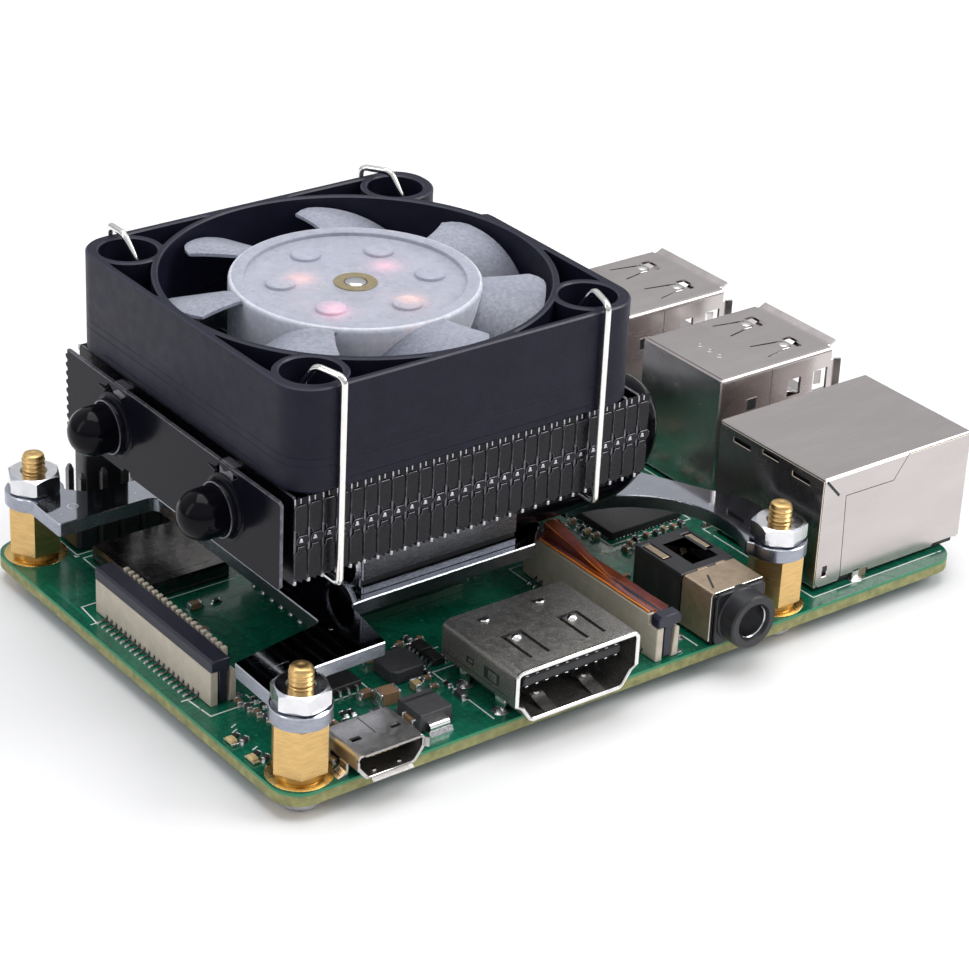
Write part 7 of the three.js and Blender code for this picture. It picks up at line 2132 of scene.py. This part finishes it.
def build_stator():
    part = Part()
    foot = FAN_FOOT
    # four laminated poles with wound bodies
    pole = [(2.6, -1.5), (8.4, -1.5), (8.6, -4.7), (9.6, -3.5), (10.15, -1.7), (10.15, 1.7),
            (9.6, 3.5), (8.6, 4.7), (8.4, 1.5), (2.6, 1.5)]
    part.ring(FAN_X, FAN_Y, foot + 1.8, foot + 5.4, 2.2, 4.0, 40, 0.05, mat=1)
    for i in range(4):
        part.place(FAN_X, FAN_Y, 0, 90 * i)
        for n in range(8):
            z = foot + 2.0 + n * 0.375
            part.prism(pole, z, z + 0.33, chamfer=0.03, mat=1)
        for n in range(11):
            x = 3.1 + n * 0.5
            width = 2.05 + 0.12 * math.sin(n * 1.1)
            turn = []
            for step in range(21):
                c, s = math.cos(2 * math.pi * step / 20), math.sin(2 * math.pi * step / 20)
                squeeze = 1.0 if abs(c) < 0.9 else 0.98
                turn.append((x, width * c * squeeze, foot + 3.5 + 2.15 * s * 0.9))
            part.tube(turn, 0.26, 8, ends="flat")
        part.home()
    part.prism(circle(FAN_X, FAN_Y, 10.0, 64), foot + 1.52, foot + 2.05, chamfer=0.06, mat=2,
               holes=[circle(FAN_X, FAN_Y, 2.25)])
    # four lamps under the skin of the hub, then small circuit parts: angle, finish
    for angle, mat in ((29.7, 4), (119.7, 3), (209.7, 4), (299.7, 3)):
        t = math.radians(angle)
        part.place(FAN_X + 6.2 * math.cos(t), FAN_Y + 6.2 * math.sin(t), foot + 5.35, angle)
        part.box(-0.9, 0.9, -0.7, 0.7, 0.0, 0.7, 0.1, mat)
        part.box(-1.1, -0.85, -0.6, 0.6, 0.0, 0.5, 0.05, 5)
        part.box(0.85, 1.1, -0.6, 0.6, 0.0, 0.5, 0.05, 5)
    for i in range(5):
        angle = 20 + i * 63
        t = math.radians(angle)
        part.place(FAN_X + 8.2 * math.cos(t), FAN_Y + 8.2 * math.sin(t), foot + 2.04, angle)
        part.box(-0.5, 0.5, -0.3, 0.3, 0.0, 0.35, 0.04, 6)
    part.home()
    part.save("fan_stator_windings", ["enamelled_wire", "core_steel", "package_substrate",
                                      "lamp_orange", "lamp_pink", "tin_cap", "ceramic_brown"],
              "copper_coil", ["fan_stator"], sharp=34)


HUB_RADIUS = 12.4
BLADE_TIP = 18.5
BLADES = 7
BLADE_SWEEP = 0.78   # radians from one edge of a blade to the other at the root
# Half section of the hub: outer wall and rim, recessed skin, centre dish, underside cavity
HUB_PROFILE = [
    (11.6, 27.6), (12.2, 27.6), (12.4, 27.8), (12.4, 35.3), (12.36, 35.58), (12.24, 35.74),
    (12.05, 35.8), (11.0, 35.8), (10.86, 35.76), (10.8, 35.66), (10.76, 35.44), (10.66, 35.37),
    (9.0, 35.35), (6.0, 35.35), (3.3, 35.35), (3.1, 35.3), (2.85, 35.16), (2.4, 35.12),
    (1.2, 35.12), (1.12, 35.0), (1.12, 33.0), (2.2, 33.0), (2.3, 34.0), (2.9, 34.35),
    (6.0, 34.4), (10.8, 34.3), (11.4, 34.0), (11.6, 33.6)]


def add_blade(part, root_angle):
    """Swept blade that rises steeply at one edge and levels off at the other."""
    rows, columns = 9, 18
    points, faces = [], []
    for sign in (-1, 1):
        for i in range(rows + 1):
            out = i / rows
            radius = HUB_RADIUS - 0.15 + (BLADE_TIP - HUB_RADIUS + 0.15) * out
            reach = (radius - HUB_RADIUS + 0.4) / (BLADE_TIP - HUB_RADIUS + 0.4)
            span = BLADE_SWEEP + 0.03 * reach
            low, high = 27.9 + 0.2 * reach, 35.1 - 0.2 * reach
            for j in range(columns + 1):
                v = j / columns
                angle = root_angle + 0.05 * reach + span * v
                arch = math.sin(math.pi * min(1.0, 0.08 + 0.92 * v)) ** 0.6
                half = 0.38 * (0.45 + 0.55 * arch) * (1.0 if 0 < out < 1 else 0.72)
                z = low + 0.5 + (high - low - 0.1) * (1 - (1 - v) ** 2.4) + sign * half
                # tip corners rounded in the sweep direction
                cut = 1.1 * max(0.0, 1 - v * 7) ** 2 + 1.3 * max(0.0, 1 - (1 - v) * 6) ** 2
                r = radius - cut * out * out
                points.append((FAN_X + r * math.cos(angle), FAN_Y + r * math.sin(angle), z))
    width = columns + 1
    top = (rows + 1) * width
    for i in range(rows):
        for j in range(columns):
            a, c = i * width + j, (i + 1) * width + j
            faces += [(a, a + 1, c + 1, c), (top + a, top + c, top + c + 1, top + a + 1)]
    for i in range(rows):
        a, c = i * width, (i + 1) * width
        faces.append((a, c, top + c, top + a))
        a, c = a + columns, c + columns
        faces.append((a, top + a, top + c, c))
    for j in range(columns):
        a, c = j, j + 1
        faces.append((a, top + a, top + c, c))
        a, c = rows * width + j, rows * width + j + 1
        faces.append((a, c, top + c, top + a))
    part.put(points, faces, 1)
    # bead along the root
    bead = []
    for j in range(columns + 1):
        v = j / columns
        angle = root_angle + BLADE_SWEEP * v
        bead.append((FAN_X + 12.32 * math.cos(angle), FAN_Y + 12.32 * math.sin(angle),
                     28.4 + 6.95 * (1 - (1 - v) ** 2.4)))
    part.tube(bead, 0.34, 8, 1)


def build_rotor():
    part = Part()
    part.lathe(HUB_PROFILE, FAN_X, FAN_Y, 128, closed=True,
               mats=[2] * 6 + [0] * (len(HUB_PROFILE) - 6))
    # six flat round bumps on the skin
    for i in range(6):
        a = math.radians(-22.8 + 60 * i)
        part.lathe([(1.5, 35.33), (1.47, 35.6), (1.38, 35.68), (1.2, 35.7), (0.5, 35.7),
                    (0.34, 35.66), (0, 35.65)], FAN_X + 7.4 * math.cos(a),
                   FAN_Y + 7.4 * math.sin(a))
    # end of the shaft bush: a yellowish ring and the small domed shaft end
    part.ring(FAN_X, FAN_Y, 35.05, 35.24, 1.15, 2.15, 48, 0.05, mat=3)
    part.lathe([(1.08, 34.9), (1.06, 35.2), (0.9, 35.31), (0.5, 35.37), (0, 35.39)], FAN_X, FAN_Y,
               mat=4)
    for i in range(BLADES):
        add_blade(part, i * 2 * math.pi / BLADES - 0.428)
    part.save("fan_rotor_frosted", ["frosted_hub", "frosted_blade", "frosted_skirt",
                                    "sintered_bush", "ground_shaft"],
              "rotor_frosted", ["fan_rotor"], body="rotor", sharp=40)
    part = Part()
    part.ring(FAN_X, FAN_Y, 27.9, 32.9, 10.65, 11.45, 80, 0.08)
    for i in range(12):
        part.place(FAN_X, FAN_Y, 0, 30 * i)
        part.box(10.6, 10.67, -0.1, 0.1, 28.0, 32.8, 0.01)
    part.save("rotor_magnet_ring", ["bonded_magnet"], "magnet", ["rotor_magnet"], body="rotor")
    part = Part()
    part.lathe([(0, 26.6), (0.7, 26.6), (0.98, 26.85), (0.98, 27.3), (0.8, 27.36), (0.8, 27.7),
                (0.98, 27.76), (0.98, 34.5), (0.86, 34.72), (0, 34.78)], FAN_X, FAN_Y, 40)
    part.save("rotor_spindle", ["ground_shaft"], "shaft_steel", ["rotor_shaft"], body="rotor")


def build_plug():
    """Two-way plug standing on the pin header."""
    part = Part()
    left, right, front, rear, foot, top = 9.69, 14.67, 52.56, 54.98, 3.94, 17.94
    ways = (10.91, 13.45)
    outline = rounded(left, right, front, rear, 0.15, 2)
    part.prism(outline, foot, foot + 7.0, base=0.1,
               holes=[rect(x - 0.42, x + 0.42, 53.35, 54.19) for x in ways])
    part.prism(outline, foot + 6.98, top, chamfer=0.1, base=0.0,
               holes=[rect(x - 0.62, x + 0.62, 53.1, 54.45) for x in ways])
    # latch windows with their tongues, and the line between the two ways
    for x in ways:
        part.box(x - 0.6, x + 0.6, front - 0.01, front + 0.05, foot + 7.4, foot + 9.6, 0.0, 1)
        part.prism([(front, foot + 9.5), (front - 0.12, foot + 9.3), (front - 0.05, foot + 6.9),
                    (front + 0.1, foot + 6.6), (front + 0.2, foot + 9.5)], x - 0.45, x + 0.45,
                   "x", 0.04)
        part.box(x - 0.34, x + 0.34, 53.42, 54.1, foot + 7.0, foot + 12.6, 0.06, 2)
        part.box(x - 0.5, x + 0.5, rear - 0.05, rear + 0.005, foot + 2.0, foot + 12.0, 0.0)
    middle = (left + right) / 2
    part.box(middle - 0.08, middle + 0.08, front - 0.01, front + 0.03, foot + 0.3, top - 0.3, 0.0, 1)
    part.save("fan_lead_plug", ["black_plastic", "inner_plastic", "tin_cap"], "plug_plastic",
              ["fan_plug"], sharp=34)


def build_lead():
    """Two wires twisted round a curve from the plug to the fan, side by side at the plug."""
    part = Part()
    stations = [Vector(p) for p in (
        (12.2, 53.77, 15.4), (12.2, 53.77, 18.5), (12.25, 53.7, 21.4), (13.2, 53.5, 25.2),
        (14.3, 52.7, 27.6), (15.5, 50.9, 29.0), (16.2, 49.7, 29.3))]
    last = len(stations) - 1
    curve = []
    for i in range(last):
        a, b = stations[max(0, i - 1)], stations[i]
        c, d = stations[i + 1], stations[min(last, i + 2)]
        for n in range(6):
            t = n / 6
            curve.append(0.5 * ((2 * b) + (c - a) * t + (2 * a - 5 * b + 4 * c - d) * t * t
                                + (3 * b - a - 3 * c + d) * t ** 3))
    curve.append(stations[-1])
    apart, straight = 0.52, 0.12
    for mat, phase in ((0, 0.0), (1, math.pi)):
        path = []
        for i, point in enumerate(curve):
            share = i / (len(curve) - 1)
            if share > straight:
                a = phase + share * 7.5
                shift = Vector((apart * math.cos(a), apart * math.sin(a) * 0.6, 0.0))
            else:
                wide = apart + (1.27 - apart) * (straight - share) / straight * 0.55
                shift = Vector((wide * math.cos(phase), 0.0, 0.0))
            path.append(point + shift)
        part.tube(path, 0.47, 14, mat, ends="flat")
    part.save("fan_lead_wires", ["wire_insulation", "red_insulation"], "lead_sleeve",
              ["fan_lead"], sharp=60)


# ------------------------------------------------------------------ everything
build_board()
build_tracks()
build_legend()
build_small_parts()
build_under_joints()
build_processor()
build_memory()
build_network_chip()
build_power_chip()
build_radio_can()
build_choke()
build_diode()
build_edge_lamps()
build_header("pin_header", "gpio_header", left=7.1, front=49.96, columns=20, body_top=3.92,
             pin_top=9.72)
build_header("small_header", "poe_header", left=54.0, front=43.5, columns=2, body_top=3.82,
             pin_top=9.52)
for tag, mid in (("a", 29.0), ("b", 47.0)):
    build_usb_shell(tag, mid)
    build_usb_core(tag, mid)
build_lan_shell()
build_lan_core()
build_video_shell()
build_video_core()
build_supply_shell()
build_supply_core()
build_audio()
for tag, left, front, rear, covered in (("camera", 43.5, 0.6, 22.0, False),
                                        ("display", 2.5, 17.2, 38.6, True)):
    build_flat_socket(tag, left, front, rear, covered)
    build_flat_latch(tag, left, front, rear, covered)
build_film()
build_card()
for (tag, (x, y)), nut_turn in zip(POSTS.items(), (0.2, 0.34, 0.12, 0.27)):
    build_post(tag, x, y, nut_turn)
build_bracket()
build_block()
for tag, y in zip(("front", "rear"), PIPE_YS):
    build_pipe(tag, y)
build_fins()
build_end_plate()
build_clip("left", hook_x=10.8, x=11.4)
build_clip("right", hook_x=42.8, x=41.6)
build_fan_frame()
build_stator()
build_rotor()
build_plug()
build_lead()


# ------------------------------------------------------------------ floor, light, camera (metres)
def build_floor():
    surface = Surface("floor")
    mottle = surface.remap(surface.noise(9), (0.3, 0.7), (0, 1))
    surface.set("Base Color", surface.mix(mottle, (0.8, 0.8, 0.81), (0.84, 0.84, 0.85)))
    surface.set("Roughness", 0.75)
    mesh = bpy.data.meshes.new("floor")
    half, z = 6, CAD_LOW[2] - 0.00002
    mesh.from_pydata([(x, y, z) for x, y in rect(-half, half, -half, half)], [], [(0, 1, 2, 3)])
    mesh.materials.append(surface.material)
    ground = bpy.data.objects.new("floor", mesh)
    COLLECTION.objects.link(ground)


def build_world(scene):
    """Grey at the horizon, brighter overhead."""
    world = bpy.data.worlds.new("studio")
    scene.world = world
    world.use_nodes = True
    nodes, links = world.node_tree.nodes, world.node_tree.links
    nodes.clear()
    output = nodes.new("ShaderNodeOutputWorld")
    background = nodes.new("ShaderNodeBackground")
    coord = nodes.new("ShaderNodeTexCoord")
    split = nodes.new("ShaderNodeSeparateXYZ")
    height = nodes.new("ShaderNodeMapRange")
    shade = nodes.new("ShaderNodeMix")
    shade.data_type = "RGBA"
    height.inputs["From Min"].default_value = 0.0
    height.inputs["From Max"].default_value = 0.5
    shade.inputs[6].default_value = (0.42, 0.425, 0.44, 1)
    shade.inputs[7].default_value = (0.86, 0.865, 0.88, 1)
    background.inputs["Strength"].default_value = 0.78
    links.new(coord.outputs["Generated"], split.inputs[0])
    links.new(split.outputs[2], height.inputs[0])
    links.new(height.outputs[0], shade.inputs[0])
    links.new(shade.outputs[2], background.inputs[0])
    links.new(background.outputs[0], output.inputs[0])


def add_light(name, place, target, size, power, colour):
    data = bpy.data.lights.new(name, "AREA")
    data.shape = "RECTANGLE"
    data.size, data.size_y = size
    data.energy = power
    data.color = colour
    lamp = bpy.data.objects.new(name, data)
    COLLECTION.objects.link(lamp)
    lamp.location = place
    aim = Vector(target) - Vector(place)
    lamp.rotation_euler = aim.to_track_quat("-Z", "Y").to_euler()


def build_camera(scene):
    data = bpy.data.cameras.new("camera")
    camera = bpy.data.objects.new("camera", data)
    COLLECTION.objects.link(camera)
    # the view's own axes in the model's frame
    right = Vector((0.80191631, -0.59599522, 0.04147206))
    down = Vector((-0.2394859, -0.38427296, -0.89161696))
    ahead = Vector((0.54733603, 0.70507021, -0.4508872))
    turn = Matrix((right, -down, -ahead)).transposed().to_4x4()
    camera.matrix_world = Matrix.Translation((-0.167837813, -0.210741612, 0.152633007)) @ turn
    data.sensor_width = 36.0
    data.sensor_fit = "HORIZONTAL"
    data.lens = 109.378
    data.shift_x = 0.01704
    data.shift_y = -0.0499
    data.clip_start = 0.01
    data.clip_end = 20
    scene.camera = camera


scene = bpy.context.scene
build_floor()
build_world(scene)
add_light("top_box", place=(0.05, 0.05, 0.62), target=(0, 0, 0), size=(0.5, 0.5), power=2.6,
          colour=(1, 1, 1))
add_light("key_box", place=(0.42, -0.3, 0.42), target=(0, 0, 0.01), size=(0.3, 0.3), power=1.5,
          colour=(1, 0.98, 0.95))
add_light("left_strip", place=(-0.5, 0.1, 0.3), target=(0, 0, 0.01), size=(0.12, 0.5), power=0.35,
          colour=(0.97, 0.98, 1))
build_camera(scene)
scene.view_settings.view_transform = "Standard"
scene.view_settings.look = "None"
scene.view_settings.exposure = 0.0
